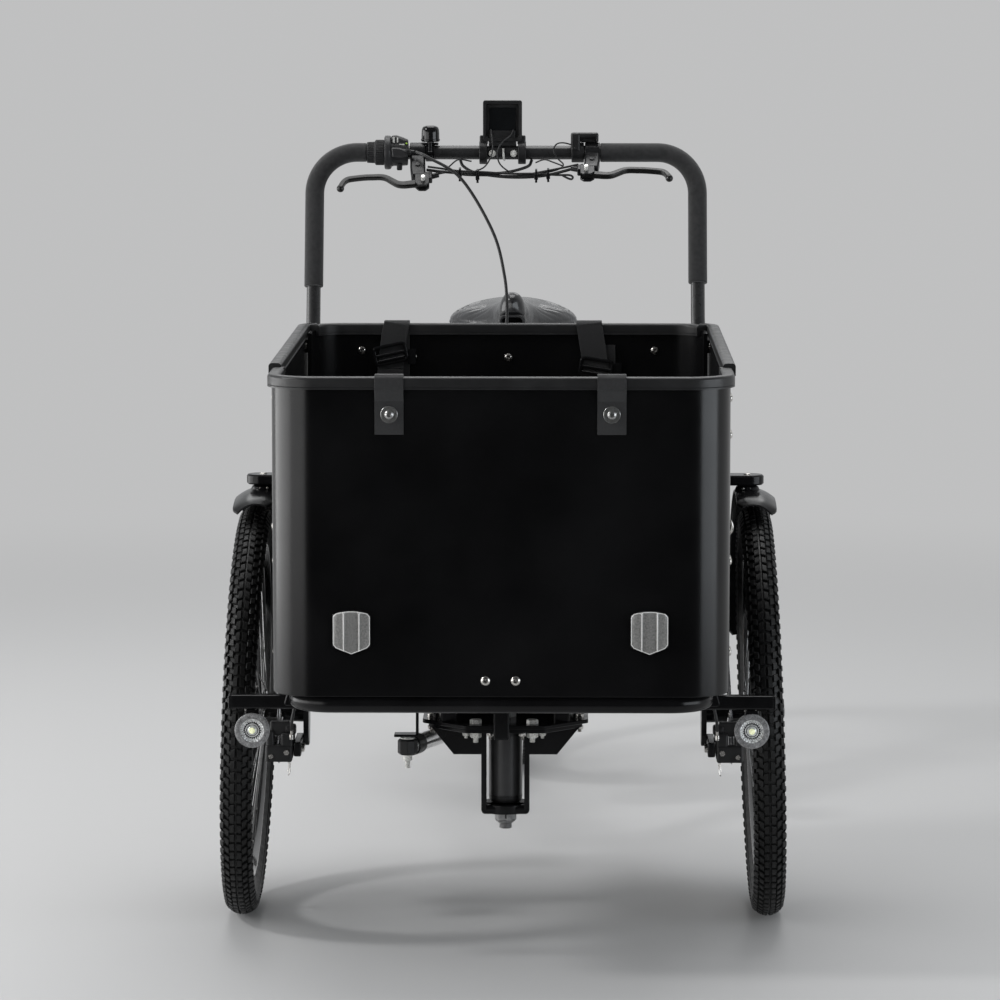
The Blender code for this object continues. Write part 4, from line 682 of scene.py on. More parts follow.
# lashing eyelets on the outside of the side panels
eyelets = []
for y in (-0.3, 0.18):
    loop = np.stack([half + 0.0015 + 0.0075 * np.sin(np.linspace(0, np.pi, 16)), np.full(16, y),
        0.62 + 0.011 * np.cos(np.linspace(0, np.pi, 16))], -1)
    eyelets.append(sweep(loop, ring(0.0017, 10), ref=(0, 1, 0)))
    eyelets.append(softBox((0.0018, 0.016, 0.036), (half + 0.0009, y, 0.62), 0.0007))
    for z in (0.605, 0.635):
        eyelets += button((half + 0.0018, y, z), (1, 0, 0), 0.0035, 0.0018)
addPiece("lashingEyelets", bothSides(eyelets), "screwSteel")

# screws: low pair in front, rear panel inside, rear panel side flanges
screws = []
for x in (-0.021, 0.021):
    screws += button((x, box["front"], 0.43), (0, -1, 0), 0.007, 0.0036)
for x, z in ((-0.23, 0.817), (-0.15, 0.807), (0.0, 0.806), (0.15, 0.807), (0.23, 0.817)):
    screws += button((x, box["rear"] - wall, z), (0, -1, 0), 0.0066, 0.0034)
for side in (-1, 1):
    for z in (0.83, 0.64, 0.45):
        screws += button((side * (half - wall), 0.308, z), (-side, 0, 0), 0.006, 0.0032)
addPiece("panelScrews", screws, "screwSteel")

# dark spacers between the side panels and the rear panel's flanges
spacers = [softBox((0.0034, 0.012, 0.02), (half - wall - 0.0018, 0.312, z), 0.0006) for z in (0.45,
    0.64, 0.83)]
addPiece("flangeSpacers", bothSides(spacers), "blackPlastic")

reflector = {"x": 0.207, "low": 0.467, "high": 0.5285, "wide": 0.026, "fold": 0.0103}

def reflectorForms(x):
    # shield-shaped housing; the lens has a roof-shaped middle and two side faces that lean
    # back to the edge, all covered with fine raised points
    low, high, wide = reflector["low"], reflector["high"], reflector["wide"]
    shield = softOutline([(-wide, low + 0.01), (0, low), (wide, low + 0.01), (wide, high - 0.006),
        (wide * 0.5, high), (-wide * 0.5, high), (-wide, high - 0.006)], 0.003, 3)
    housing = plateForm(shield, 0.0046, at(x, box["front"] - 0.0018, 0) @ onXZ, 0.001)
    edge, fold = wide - 0.001, reflector["fold"]
    across = np.linspace(-edge, edge, 57)
    share = np.linspace(0, 1, 67)[:, None]
    side = np.abs(across) / edge
    bottom = low + 0.0016 + 0.0098 * side + 0.003 * np.clip(side - 0.86, 0, 1) / 0.14
    top = high - 0.0012 - 0.0042 * side ** 2 - 0.003 * np.clip(side - 0.88, 0, 1) / 0.12
    gz = bottom * (1 - share) + top * share
    gx = np.broadcast_to(across, gz.shape)
    lean = np.where(np.abs(across) < fold, 0.0046 - 0.001 * np.abs(across) / fold,
        0.0052 - 0.0026 * (np.abs(across) - fold) / (edge - fold))
    ridge = 0.001 * np.exp(-((np.abs(across) - fold) / 0.0008) ** 2)
    odd = (np.arange(57) % 2)[None, :] * (np.arange(67) % 2)[:, None]
    inside = (np.minimum(share, 1 - share) > 0.03) * (np.abs(across) < edge - 0.0015)
    gy = box["front"] - 0.0022 - lean - ridge - 0.00055 * odd * inside
    front = np.stack([gx + x, gy, gz], -1)
    back = front.copy()
    back[..., 1] = box["front"] - 0.0025
    ringFront = np.concatenate([front[0], front[1:, -1], front[-1, -2::-1], front[-2:0:-1, 0]])
    ringBack = np.concatenate([back[0], back[1:, -1], back[-1, -2::-1], back[-2:0:-1, 0]])
    skirt = gridForm(np.stack([ringBack, ringFront]), caps=False)
    # thin light lines along the lens rim and its two folds: painted highlights where these edges
    # catch the light
    rimPath = ringFront[::2] + np.array([0, 0.0003, 0])
    ridgeHighlights = [sweep(rimPath, ring(0.0007, 8), ref=(0, 1, 0), loop=True)]
    for place in (-fold, fold):
        k = int(np.argmin(np.abs(across - place)))
        ridgeHighlights.append(sweep(front[::4, k] + np.array([0, 0.0001, 0]), ring(0.0006, 8),
            ref=(0, 1, 0)))
    return housing, [gridForm(front, around=False, caps=False), skirt], ridgeHighlights

housings, lenses, ridgeHighlights = [], [], []
for x in (-reflector["x"], reflector["x"]):
    housing, lens, ridgeHighlight = reflectorForms(x)
    housings.append(housing)
    lenses += lens
    ridgeHighlights += ridgeHighlight
addPiece("reflectorHousings", housings, "glossPlastic")
addPiece("reflectorLenses", lenses, "prismGlass")
addPiece("reflectorRidgeHighlights", ridgeHighlights, "prismEdgeHighlight")
print("box done")

strap = {"width": 0.04, "thick": 0.0022, "x": 0.154, "boltZ": 0.802,
    "rearX": {"right": -0.175, "left": 0.127}, "sliderZ": {"right": 0.812, "left": 0.79},
    "lean": {"right": -12.0, "left": 9.0}}

def ribbon(path, width, thick, ref):
    # flat webbing carried along a path; ref is the direction across its width
    path = denser(path, 0.008)
    section = softRectangle(thick, width, thick * 0.45, 2)
    count = len(section)
    return sweep(path, section, ref=ref, uvScale=(0.008 * 900, 1.0 / count * 30))

def yzPath(x, pairs, radius=0.004, steps=4):
    # corners given as (y, z) at one x, rounded
    return roundedPath([(x, y, z) for y, z in pairs], radius, steps)

across = (1, 0, 0)
t = strap["thick"] / 2
frontFace = box["front"] - 0.0003 - t
trimLow = frontTrimLow
for name, x in (("right", -strap["x"]), ("left", strap["x"])):
    lane = yzPath(x, [(frontFace, strap["boltZ"] - 0.028), (frontFace, trimLow - 0.016),
        (box["front"] - 0.0085, trimLow), (box["front"] - 0.0085, 0.853),
        (box["front"] - 0.0045, 0.8565), (box["front"] + 0.0115, 0.8565),
        (box["front"] + 0.0155, 0.853), (box["front"] + 0.0155, trimLow),
        (box["front"] + wall + 0.0003 + t, trimLow - 0.016),
        (box["front"] + wall + 0.0003 + t, 0.46)],
        [0.006, 0.004, 0.002, 0.002, 0.002, 0.002, 0.004, 0.006], 4)
    addPiece("frontStrap" + name.capitalize(),
        [ribbon(lane, strap["width"], strap["thick"], across)], "webbing",
        stands=["front_" + name + "_strap"])
hardware = []
for x in (-strap["x"], strap["x"]):
    hardware += button((x, frontFace - t, strap["boltZ"]), (0, -1, 0), 0.0066, 0.0036, 0.0118)
addPiece("strapWashers", hardware, "washerSteel")

def ladderSlider(place, lean):
    # three bars across a frame: outer frame swept round, and a middle bar
    frameOutline = roundedPath([(0.0, -0.0135, 0), (0.0245, -0.0135, 0), (0.0245, 0.0135, 0),
        (-0.0245, 0.0135, 0), (-0.0245, -0.0135, 0), (0.0, -0.0135, 0)], 0.005, 5)[:-1]
    turn = Matrix.Translation(place) @ Matrix.Rotation(math.radians(lean), 4, "Y") @ onXZ
    frameForm = sweep(frameOutline, softRectangle(0.0052, 0.0052, 0.0018, 2), loop=True)
    bar = rod((-0.024, 0.0, -0.0004), (0.024, 0.0, -0.0004), 0.003, 14, 0.0006)
    grip = rod((-0.021, -0.0085, 0.0012), (0.021, -0.0085, 0.0012), 0.0026, 12, 0.0006)
    return [placed(f, turn) for f in (frameForm, bar, grip)]

rearTopZ = rearTrimLow + box["trimHigh"]
rearFace = box["rear"] + 0.0003 + t
inside = box["rear"] - wall - 0.0075
for name, x in strap["rearX"].items():
    lane = yzPath(x, [(rearFace, 0.775), (rearFace, rearTrimLow - 0.016),
        (box["rear"] + 0.0085, rearTrimLow), (box["rear"] + 0.0085, rearTopZ),
        (box["rear"] + 0.0045, rearTopZ + 0.0032), (box["rear"] - 0.0115, rearTopZ + 0.0032),
        (box["rear"] - 0.0155, rearTopZ), (box["rear"] - 0.0155, rearTrimLow),
        (inside - 0.003, 0.79), (inside, 0.46)],
        [0.006, 0.004, 0.002, 0.002, 0.002, 0.002, 0.004, 0.02], 4)
    z = strap["sliderZ"][name]
    lean = strap["lean"][name]
    shift = math.tan(math.radians(lean))
    # the webbing slants sideways as it goes down to the slider
    drop = np.clip((rearTopZ - lane[:, 2]) / (rearTopZ - z), 0, 1)
    insideRun = lane[:, 1] < box["rear"] - 0.01
    lane[:, 0] += np.where(insideRun, drop * (rearTopZ - z) * shift, 0)
    addPiece("rearStrap" + name.capitalize(),
        [ribbon(lane, strap["width"], strap["thick"], across)], "webbing",
        stands=["rear_" + name + "_strap"])
    sliderX = x + (rearTopZ - z) * shift
    slider = ladderSlider((sliderX, inside - 0.0045, z), lean)
    small = [softBox((0.013, 0.004, 0.024), (sliderX + 0.034, inside - 0.003, z - 0.004), 0.0012)]
    addPiece("slider" + name.capitalize(), slider + small, "glossPlastic")
    tail = yzPath(sliderX + 0.012, [(inside + 0.002, z + 0.036), (inside + 0.0012, z),
        (inside + 0.002, 0.52)], 0.05, 3)
    addPiece("strapTail" + name.capitalize(),
        [ribbon(tail, strap["width"] * 0.9, strap["thick"] * 0.8, across)], "webbing")
print("straps done")

wheel = {"x": 0.383, "z": 0.3077664, "lean": 2.0, "middle": 0.2815, "skin": 0.0222, "bead": 0.2535,
    "repeats": 112, "spokes": 36, "spokeRadius": 0.00105, "flange": 0.032, "flangeAt": 0.022,
    "discAt": -0.046, "discRadius": 0.08}

def tyreSkin(middle, skin, bead, steps=22):
    # the section is most of a circle round the middle radius, with a thin bead at each end
    a = np.radians(np.linspace(-128, 128, steps + 1))
    outer = [(middle + skin * math.cos(t), skin * math.sin(t)) for t in a]
    inner = [(middle + (skin - 0.0035) * math.cos(t),
        (skin - 0.0035) * math.sin(t)) for t in a[::-1]]
    ends = [(bead + 0.004, outer[-1][1] * 0.78), (bead + 0.0042, inner[0][1] * 0.7)]
    begin = [(r, -z) for r, z in ends[::-1]]
    return outer + ends + inner + begin

def knobs(middle, skin, repeats, columns):
    # each column: place round the section in degrees, half width, half length, height,
    # offset in repeats, slant; a block is a base, a shoulder and a smaller top
    out = []
    corner = np.array([(1, 1), (-1, 1), (-1, -1), (1, -1)], float)
    for phi, halfWide, halfLong, high, offset, slant in columns:
        levels = [(-0.0012, 1.1), (high * 0.78, 1.0), (high, 0.8)]
        w = np.concatenate([corner[:, 0] * halfWide * s for _, s in levels])
        u = np.concatenate([corner[:, 1] * halfLong * s for _, s in levels])
        u = u + slant * w
        h = np.concatenate([np.full(4, level) for level, _ in levels])
        theta = 2 * np.pi * (np.arange(repeats) + offset) / repeats
        angle = math.radians(phi) + w / (skin + 0.002)
        r = middle + (skin + h) * np.cos(angle)
        z = np.broadcast_to((skin + h) * np.sin(angle), (repeats, 12))
        turn = theta[:, None] + u[None, :] / (middle + skin)
        points = np.stack([r * np.cos(turn), r * np.sin(turn), z], -1).reshape(-1, 3)
        k = np.arange(4)
        j = (k + 1) % 4
        side = [np.stack([k, j, j + 4, k + 4], -1), np.stack([k + 4, j + 4, j + 8, k + 8], -1)]
        caps = np.array([[8, 9, 10, 11], [3, 2, 1, 0]])
        quads = np.concatenate(side + [caps])
        quads = (quads[None] + 12 * np.arange(repeats)[:, None, None]).reshape(-1, 4)
        out.append(turnedOut({"v": points, "q": quads, "n": [],
            "uv": np.zeros((len(quads), 4, 2))}))
    return out

def tyreForms(middle, skin, bead, repeats):
    columns = []
    for side in (-1, 1):
        columns += [(side * 11.5, 0.0034, 0.0062, 0.0036, 0.0, side * 0.25),
            (side * 31.0, 0.0035, 0.005, 0.0036, 0.5, -side * 0.35),
            (side * 52.0, 0.0036, 0.0056, 0.004, 0.0, side * 0.2),
            (side * 71.0, 0.003, 0.0044, 0.0026, 0.5, 0.0)]
    forms = [lathe(tyreSkin(middle, skin, bead), 160, closed=True)]
    # two fine ribs low on each sidewall
    for side in (-1, 1):
        for t, lift in ((98, 0.0006), (112, 0.0005)):
            a = math.radians(t)
            r, z = middle + skin * math.cos(a), side * skin * math.sin(a)
            forms.append(lathe([(r + 0.0007 * math.cos(b),
                z + 0.0007 * math.sin(b)) for b in np.linspace(0, 2 * np.pi, 8, endpoint=False)],
                120, closed=True))
    return forms + knobs(middle, skin, repeats, columns)

def rimForms(bead):
    half, inner = 0.015, bead - 0.018
    profile = [(bead + 0.003, half - 0.0004), (bead + 0.0035, half - 0.001),
        (bead + 0.0035, half - 0.003), (bead - 0.0005, half - 0.0034), (bead - 0.003, 0.006),
        (bead - 0.003, -0.006)]
    profile += [(r, -z) for r, z in profile[:4][::-1]]
    profile += [(bead - 0.003, -half), (bead - 0.0055, -half + 0.0006), (bead - 0.014, -0.01),
        (inner, -0.007), (inner - 0.0004, -0.005), (inner - 0.0004, 0.005), (inner, 0.007),
        (bead - 0.014, 0.01), (bead - 0.0055, half - 0.0006), (bead - 0.003, half)]
    return [lathe(profile, 160, closed=True)]

def spokeForms(flangeRadius, flangeAt, bead, count, lead=62):
    # crossed spokes: every spoke leaves its flange on a slant and ends in a nipple
    wires, nipples = [], []
    for i in range(count):
        side = 1 if i % 2 else -1
        way = 1 if (i // 2) % 2 else -1
        rimAngle = 2 * math.pi * i / count
        hubAngle = rimAngle + way * math.radians(lead)
        low = Vector((flangeRadius * math.cos(hubAngle), flangeRadius * math.sin(hubAngle),
            side * flangeAt + way * 0.0016))
        reach = bead - 0.015
        high = Vector((reach * math.cos(rimAngle), reach * math.sin(rimAngle), side * 0.0032))
        wires.append(rod(low, high, wheel["spokeRadius"], 8))
        inward = (low - high).normalized()
        nipples.append(lathe([(0.0019, -0.003), (0.002, 0.0), (0.002, 0.0075), (0.0012, 0.0095)],
            8, axisTo(high, inward)))
        wires.append(lathe([(0.0, 0.0), (0.0017, 0.0003), (0.002, 0.001), (0.0012, 0.0018),
            (0.0, 0.002)], 8, axisTo(low, (0, 0, way))))
    return wires, nipples

def waveRing(inner, outer, thick, waves, depth, z, steps=216):
    # flat ring whose outer and inner edges rise and fall round it
    a = np.linspace(0, 2 * np.pi, steps, endpoint=False)
    o = outer - depth / 2 + depth / 2 * np.cos(waves * a)
    i = inner + depth / 2 - depth / 2 * np.cos(waves * a)
    rows = []
    for radius, height in ((i, -thick / 2), (o - 0.0003, -thick / 2), (o, 0),
        (o - 0.0003, thick / 2), (i, thick / 2)):
        rows.append(np.stack([radius * np.cos(a), radius * np.sin(a), np.full(steps, z + height)],
            -1))
    return gridForm(np.stack(rows), loop=True)

def discForms(radius, z):
    # two thin rings joined by slanted bridges, six swept arms and a bolted centre
    forms = [waveRing(radius - 0.0052, radius, 0.0018, 12, 0.0012, z),
        waveRing(radius - 0.015, radius - 0.0108, 0.0018, 12, 0.0008, z)]
    for k in range(36):
        a = 2 * math.pi * k / 36
        low = Vector((math.cos(a), math.sin(a), 0)) * (radius - 0.0118)
        high = Vector((math.cos(a + 0.1), math.sin(a + 0.1), 0)) * (radius - 0.0042)
        middle = (low + high) / 2 + Vector((0, 0, z))
        turn = Matrix.Rotation(math.atan2((high - low).y, (high - low).x), 3, "Z")
        forms.append(softBox(((high - low).length, 0.003, 0.0017), middle, 0.0004, 1, turn))
    for k in range(6):
        a = math.pi / 3 * k
        points = np.array([(0.0285 + (radius - 0.014 - 0.0285) * s,
            a + 0.42 * s ** 1.3) for s in np.linspace(0, 1, 9)])
        path = np.stack([points[:, 0] * np.cos(points[:, 1]), points[:, 0] * np.sin(points[:, 1]),
            np.full(9, z)], -1)
        forms.append(sweep(path, softRectangle(0.0072, 0.0017, 0.0004, 1)))
    forms.append(lathe([(0.0215, z - 0.0009), (0.0318, z - 0.0009), (0.0322, z),
        (0.0318, z + 0.0009), (0.0215, z + 0.0009)], 60, closed=True))
    bolts = []
    for k in range(6):
        a = math.pi / 3 * (k + 0.5)
        bolts += button((0.0262 * math.cos(a), 0.0262 * math.sin(a), z - 0.0008), (0, 0, -1),
            0.0042, 0.0022)
    return forms, bolts

leftWheel = at(wheel["x"], 0, wheel["z"]) @ Matrix.Rotation(math.radians(90 - wheel["lean"]), 4,
    "Y")
tyre = [placed(f, leftWheel) for f in tyreForms(wheel["middle"], wheel["skin"], wheel["bead"],
    wheel["repeats"])]
rimPieces = [placed(f, leftWheel) for f in rimForms(wheel["bead"])]
wires, nipples = spokeForms(wheel["flange"] - 0.002, wheel["flangeAt"], wheel["bead"],
    wheel["spokes"])
hubProfile = [(0, 0.036), (0.0105, 0.036), (0.0128, 0.0352), (0.014, 0.0335), (0.0145, 0.03),
    (0.018, 0.029), (0.0188, 0.0275), (0.0188, 0.0248), (0.0315, 0.0237), (0.0321, 0.0228),
    (0.0321, 0.0212), (0.0315, 0.0204), (0.02, 0.019), (0.0172, 0.0165), (0.016, 0.01),
    (0.016, -0.01), (0.0172, -0.0165), (0.02, -0.019), (0.0315, -0.0204), (0.0321, -0.0212),
    (0.0321, -0.0228), (0.0315, -0.0237), (0.0215, -0.025), (0.0208, -0.03), (0.0208, -0.0445),
    (0.0106, -0.0447), (0.0106, 0.0285), (0, 0.0285)]
hub = [lathe(hubProfile, 64)]
disc, discBolts = discForms(wheel["discRadius"], wheel["discAt"])
cap = [lathe([(0.0098, 0.0352), (0.0098, 0.0358), (0.0088, 0.03608), (0.004, 0.0361), (0, 0.0361)],
    40)]
valve = [rod((0.2352, 0, 0), (0.211, 0, 0), 0.003, 16),
    rod((0.212, 0, 0), (0.1985, 0, 0), 0.0042, 16, 0.001)]
for side, body, flip in (("left", "left_front_wheel", False),
    ("right", "right_front_wheel", True)):
    def sided(forms, local=True):
        made = [placed(f, leftWheel) for f in forms] if local else forms
        return mirrored(made) if flip else made

    addPiece(side + "Tyre", sided(tyre, False), "tyreRubber", body, [side + "_tyre"])
    addPiece(side + "Rim", sided(rimPieces, False) + sided(hub), "glossPaint", body,
        [side + "_wheel"])
    addPiece(side + "Spokes", sided(wires), "spokeSteel", body)
    addPiece(side + "Nipples", sided(nipples + discBolts), "screwSteel", body)
    addPiece(side + "Disc", sided(disc), "discSteel", body, [side + "_brake_disc"])
    addPiece(side + "HubCap", sided(cap), "discSteel", body)
    addPiece(side + "Valve", sided(valve), "blackPlastic", body)
print("wheels done")

chassis = {"tube": 0.0127, "half": 0.2853, "front": -0.4993, "rear": 0.3723, "corner": 0.05,
    "z": 0.3943, "bars": (0.02, 0.125), "plate": 0.285, "outriggerY": -0.36, "outriggerZ": 0.376,
    "outriggerHalf": 0.39, "hangerX": 0.298}
cz = chassis["z"]
halfLoop, loopFront, loopRear = chassis["half"], chassis["front"], chassis["rear"]
loopPath = roundedPath([(0, loopFront, cz), (halfLoop, loopFront, cz), (halfLoop, loopRear, cz),
    (-halfLoop, loopRear, cz), (-halfLoop, loopFront, cz), (0, loopFront, cz)], chassis["corner"],
    14)[:-1]
frameForms = [sweep(loopPath, ring(chassis["tube"], 28), loop=True)]
for y in chassis["bars"]:
    frameForms.append(rod((-halfLoop, y, cz), (halfLoop, y, cz), chassis["tube"] * 0.97, 28))
for x in (-0.085, 0.085):
    for y in chassis["bars"]:
        high = cz - chassis["plate"] + 0.002
        frameForms.append(softBox((0.024, 0.024, high), (x, y, chassis["plate"] + high / 2),
            0.0035, 4))
topPlate = softOutline([(-0.125, 0.034), (-0.06, -0.03), (0.06, -0.03), (0.125, 0.034),
    (0.125, 0.15), (-0.125, 0.15)], 0.008, 5)
frameForms.append(plateForm(topPlate, 0.006, at(0, 0, chassis["plate"]), 0.0008))
frameForms.append(softBox((0.024, 0.024, 0.125), (-0.005, -0.038, 0.3315), 0.0035, 4))
# upturned flange along the plate's rear edge
frameForms.append(softBox((0.236, 0.004, 0.042), (0, 0.148, 0.3065), 0.001, 2))
frameForms.append(rod((0, -0.034, cz - 0.004), (0, 0.02, cz - 0.004), 0.008, 20))
bracketX = -0.147 + 0.0145
frameForms.append(softBox((0.004, 0.026, 0.13), (bracketX, 0.018, 0.3298), 0.001))
frameForms.append(softBox((0.036, 0.026, 0.004), (bracketX - 0.0166, 0.014, 0.2672), 0.001))
# weld beads: thin wavy rings where the crossbars and posts meet the loop
welds = []
for y in chassis["bars"]:
    for side in (-1, 1):
        a = np.linspace(0, 2 * np.pi, 60, endpoint=False)
        beadRadius = chassis["tube"] + 0.0004
        path = np.stack([np.full(60, side * (halfLoop - 0.0118)) - side * 0.0045 *
            np.abs(np.cos(a)), y + beadRadius * np.cos(a), cz + beadRadius * np.sin(a)], -1)
        welds.append(sweep(path, ring(0.0018, 8), loop=True, ref=(1, 0, 0)))
outrigger = chassis["outriggerHalf"]
frameForms.append(softBox((2 * outrigger - 0.004, 0.02, 0.02),
    (0, chassis["outriggerY"], chassis["outriggerZ"]), 0.0032, 5))

def chassisSide():
    # one side: outrigger cap, saddle plate, post socket, hanger plate, stub axle, arm
    forms = [softBox((0.005, 0.0206, 0.0206),
        (outrigger - 0.0025, chassis["outriggerY"], chassis["outriggerZ"]), 0.002, 4)]
    cup = softOutline([(-0.026, -0.008), (0.026, -0.008), (0.02, 0.013), (-0.02, 0.013)], 0.004, 4)
    forms.append(plateForm(cup, 0.026, at(halfLoop, chassis["outriggerY"],
        chassis["outriggerZ"] + 0.003) @ onXZ, 0.0015))
    forms.append(softBox((0.05, 0.062, 0.033), (0.284, loopRear + 0.0305, cz - 0.0045), 0.005, 4))
    forms.append(lathe([(0.0118, -0.03), (0.0146, -0.03), (0.0146, 0.059), (0.014, 0.06),
        (0.0118, 0.06)], 36, at(0.309, 0.43, cz), closed=True))
    cx, czAxle = wheel["x"], wheel["z"]
    outward = Vector((math.cos(math.radians(2)), 0, math.sin(math.radians(2))))
    centre = Vector((cx, 0, czAxle))
    innerX, flange = chassis["hangerX"] - 0.004, 0.008
    start = centre - outward * ((cx - innerX - flange / 2) / outward.x)
    hanger = softOutline([(-0.03, cz + 0.01), (0.03, cz + 0.01), (0.026, start.z - 0.02),
        (0.012, start.z - 0.05), (-0.012, start.z - 0.05), (-0.026, start.z - 0.035)], 0.006, 4)
    forms.append(plateForm(hanger, flange, at(innerX + flange / 2, 0, 0) @ onYZ, 0.001))
    forms.append(rod(start, centre + outward * 0.028, 0.01, 32, 0.001))
    forms.append(rod(start, centre + outward * (wheel["discAt"] - 0.004), 0.016, 36, 0.002))
    forms.append(softBox((0.011, 0.09, 0.022), (chassis["hangerX"] + 0.009, -0.055, 0.263), 0.0025,
        3))
    return forms

addPiece("chassisFrame", frameForms + welds + bothSides(chassisSide()), "framePaint",
    stands=["front_frame"])
frameBolts = []
for x in (-0.112, 0.112):
    for y in (0.05, 0.134):
        frameBolts += hexHead((x, y, chassis["plate"] + 0.003), (0, 0, 1), 0.011, 0.0055, 0.004)
        frameBolts += hexHead((x, y, 0.2757), (0, 0, -1), 0.011, 0.005, 0.005)
for x in (-0.022, 0.026):
    frameBolts += hexHead((x, -0.02, 0.2757), (0, 0, -1), 0.01, 0.005, 0.006)
for side in (-1, 1):
    for y in (-0.018, 0.018):
        frameBolts += hexHead((side * 0.302, y, cz - 0.012), (side, 0, 0), 0.01, 0.005)
    for y in (-0.088, -0.07):
        frameBolts += hexHead((side * 0.3015, y, 0.263), (-side, 0, 0), 0.009, 0.0045)
    for y in (loopRear + 0.012, loopRear + 0.05):
        frameBolts += button((side * 0.284, y, cz - 0.0205), (0, 0, -1), 0.006, 0.003)
addPiece("frameBolts", frameBolts, "screwSteel")

lamp = {"x": 0.356, "z": 0.335, "radius": 0.025, "face": -0.37, "deep": 0.034}

def lampPlace(side):
    return at(side * lamp["x"], lamp["face"], lamp["z"]) @ Matrix.Rotation(math.radians(90), 4,
        "X")

lampR = lamp["radius"]
shells, bowls, rings, domes, glows, hangers, studs = [], [], [], [], [], [], []
for side in (-1, 1):
    place = lampPlace(side)
    shells.append(lathe([(lampR - 0.0012, -0.0035), (lampR - 0.0004, -0.006),
        (lampR - 0.0004, -0.011), (lampR - 0.003, -0.016), (0.0175, -0.027), (0.012, -0.0315),
        (0.006, -0.0335), (0, -0.034)], 56, place))
    # outer band of the lens with fine radial ribs
    a = np.linspace(0, 2 * np.pi, 288, endpoint=False)
    rib = 0.00016 * np.cos(72 * a)
    rows = [(lampR - 0.0004, -0.0045, 0), (lampR, -0.0038, 0), (lampR, -0.0006, 0),
        (lampR - 0.0008, 0.0002, 1), (lampR - 0.003, 0.0006, 1), (0.0186, 0.0008, 1),
        (0.0178, 0.0003, 0), (0.0178, -0.004, 0)]
    band = np.stack([np.stack([r * np.cos(a), r * np.sin(a), z + rib * k], -1) for r, z,
        k in rows])
    rings.append(placed(gridForm(band, loop=True), place))
    rings.append(lathe([(0.0178 + 0.0008 * math.cos(b),
        0.0004 + 0.0008 * math.sin(b)) for b in np.linspace(0, 2 * np.pi, 12, endpoint=False)], 72,
        place, closed=True))
    # reflector bowl: cone whose depth goes up and down in three rounds of facets
    r = np.linspace(0.0176, 0.0072, 16)
    deep = -0.0008 - 0.0042 * ((0.0176 - r) / 0.0104) ** 0.8
    rippled = (0.00055 * np.cos(24 * a)[None, :] * np.sin(np.linspace(0, 3 * np.pi, 16))[:, None])
    bowl = np.stack([r[:, None] * np.cos(a), r[:, None] * np.sin(a), deep[:, None] + rippled], -1)
    back = np.stack([r[::-1][:, None] * np.cos(a), r[::-1][:, None] * np.sin(a),
        np.broadcast_to(deep[::-1][:, None] - 0.0015, (16, 288))], -1)
    bowls.append(placed(gridForm(np.concatenate([bowl, back]), loop=True), place))
    bowls.append(lathe([(0.0092 + 0.0009 * math.cos(b),
        -0.003 + 0.0009 * math.sin(b)) for b in np.linspace(0, 2 * np.pi, 12, endpoint=False)], 60,
        place, closed=True))
    domes.append(lathe([(0.0078 * math.cos(b),
        -0.004 + 0.006 * math.sin(b)) for b in np.linspace(0, np.pi / 2, 12)] + [(0, 0.002)], 48,
        place))
    glows.append(lathe([(0.004, 0.0002), (0.0044, 0.001), (0.0034, 0.0021), (0, 0.0026)], 24,
        place))
    hangers.append(softBox((0.02, 0.01, 0.0085),
        (side * lamp["x"], lamp["face"] + 0.01, lamp["z"] + lampR + 0.0008), 0.002, 3))
    for x in (-0.0072, 0.0072):
        base = Vector((side * lamp["x"] + x - 0.0016, lamp["face"] + 0.0075,
            lamp["z"] + lampR + 0.003))
        threads = [(0.0024 * (1.0 if k % 2 else 0.84), k * 0.0007) for k in range(15)]
        studs.append(lathe(threads, 16, axisTo(base, (0, 0, 1))))
        studs += hexHead(base + Vector((0, 0, 0.0075)), (0, 0, 1), 0.0072, 0.003)
addPiece("lampShells", shells + hangers, "glossPlastic",
    stands=["left_headlamp", "right_headlamp"])
addPiece("lampBands", rings, "lampGrey")
addPiece("lampBowls", bowls, "lampBowl")
addPiece("lampDomes", domes, "domeGlass")
addPiece("lampLeds", glows, "ledGlow")
addPiece("lampStuds", studs, "screwSteel")

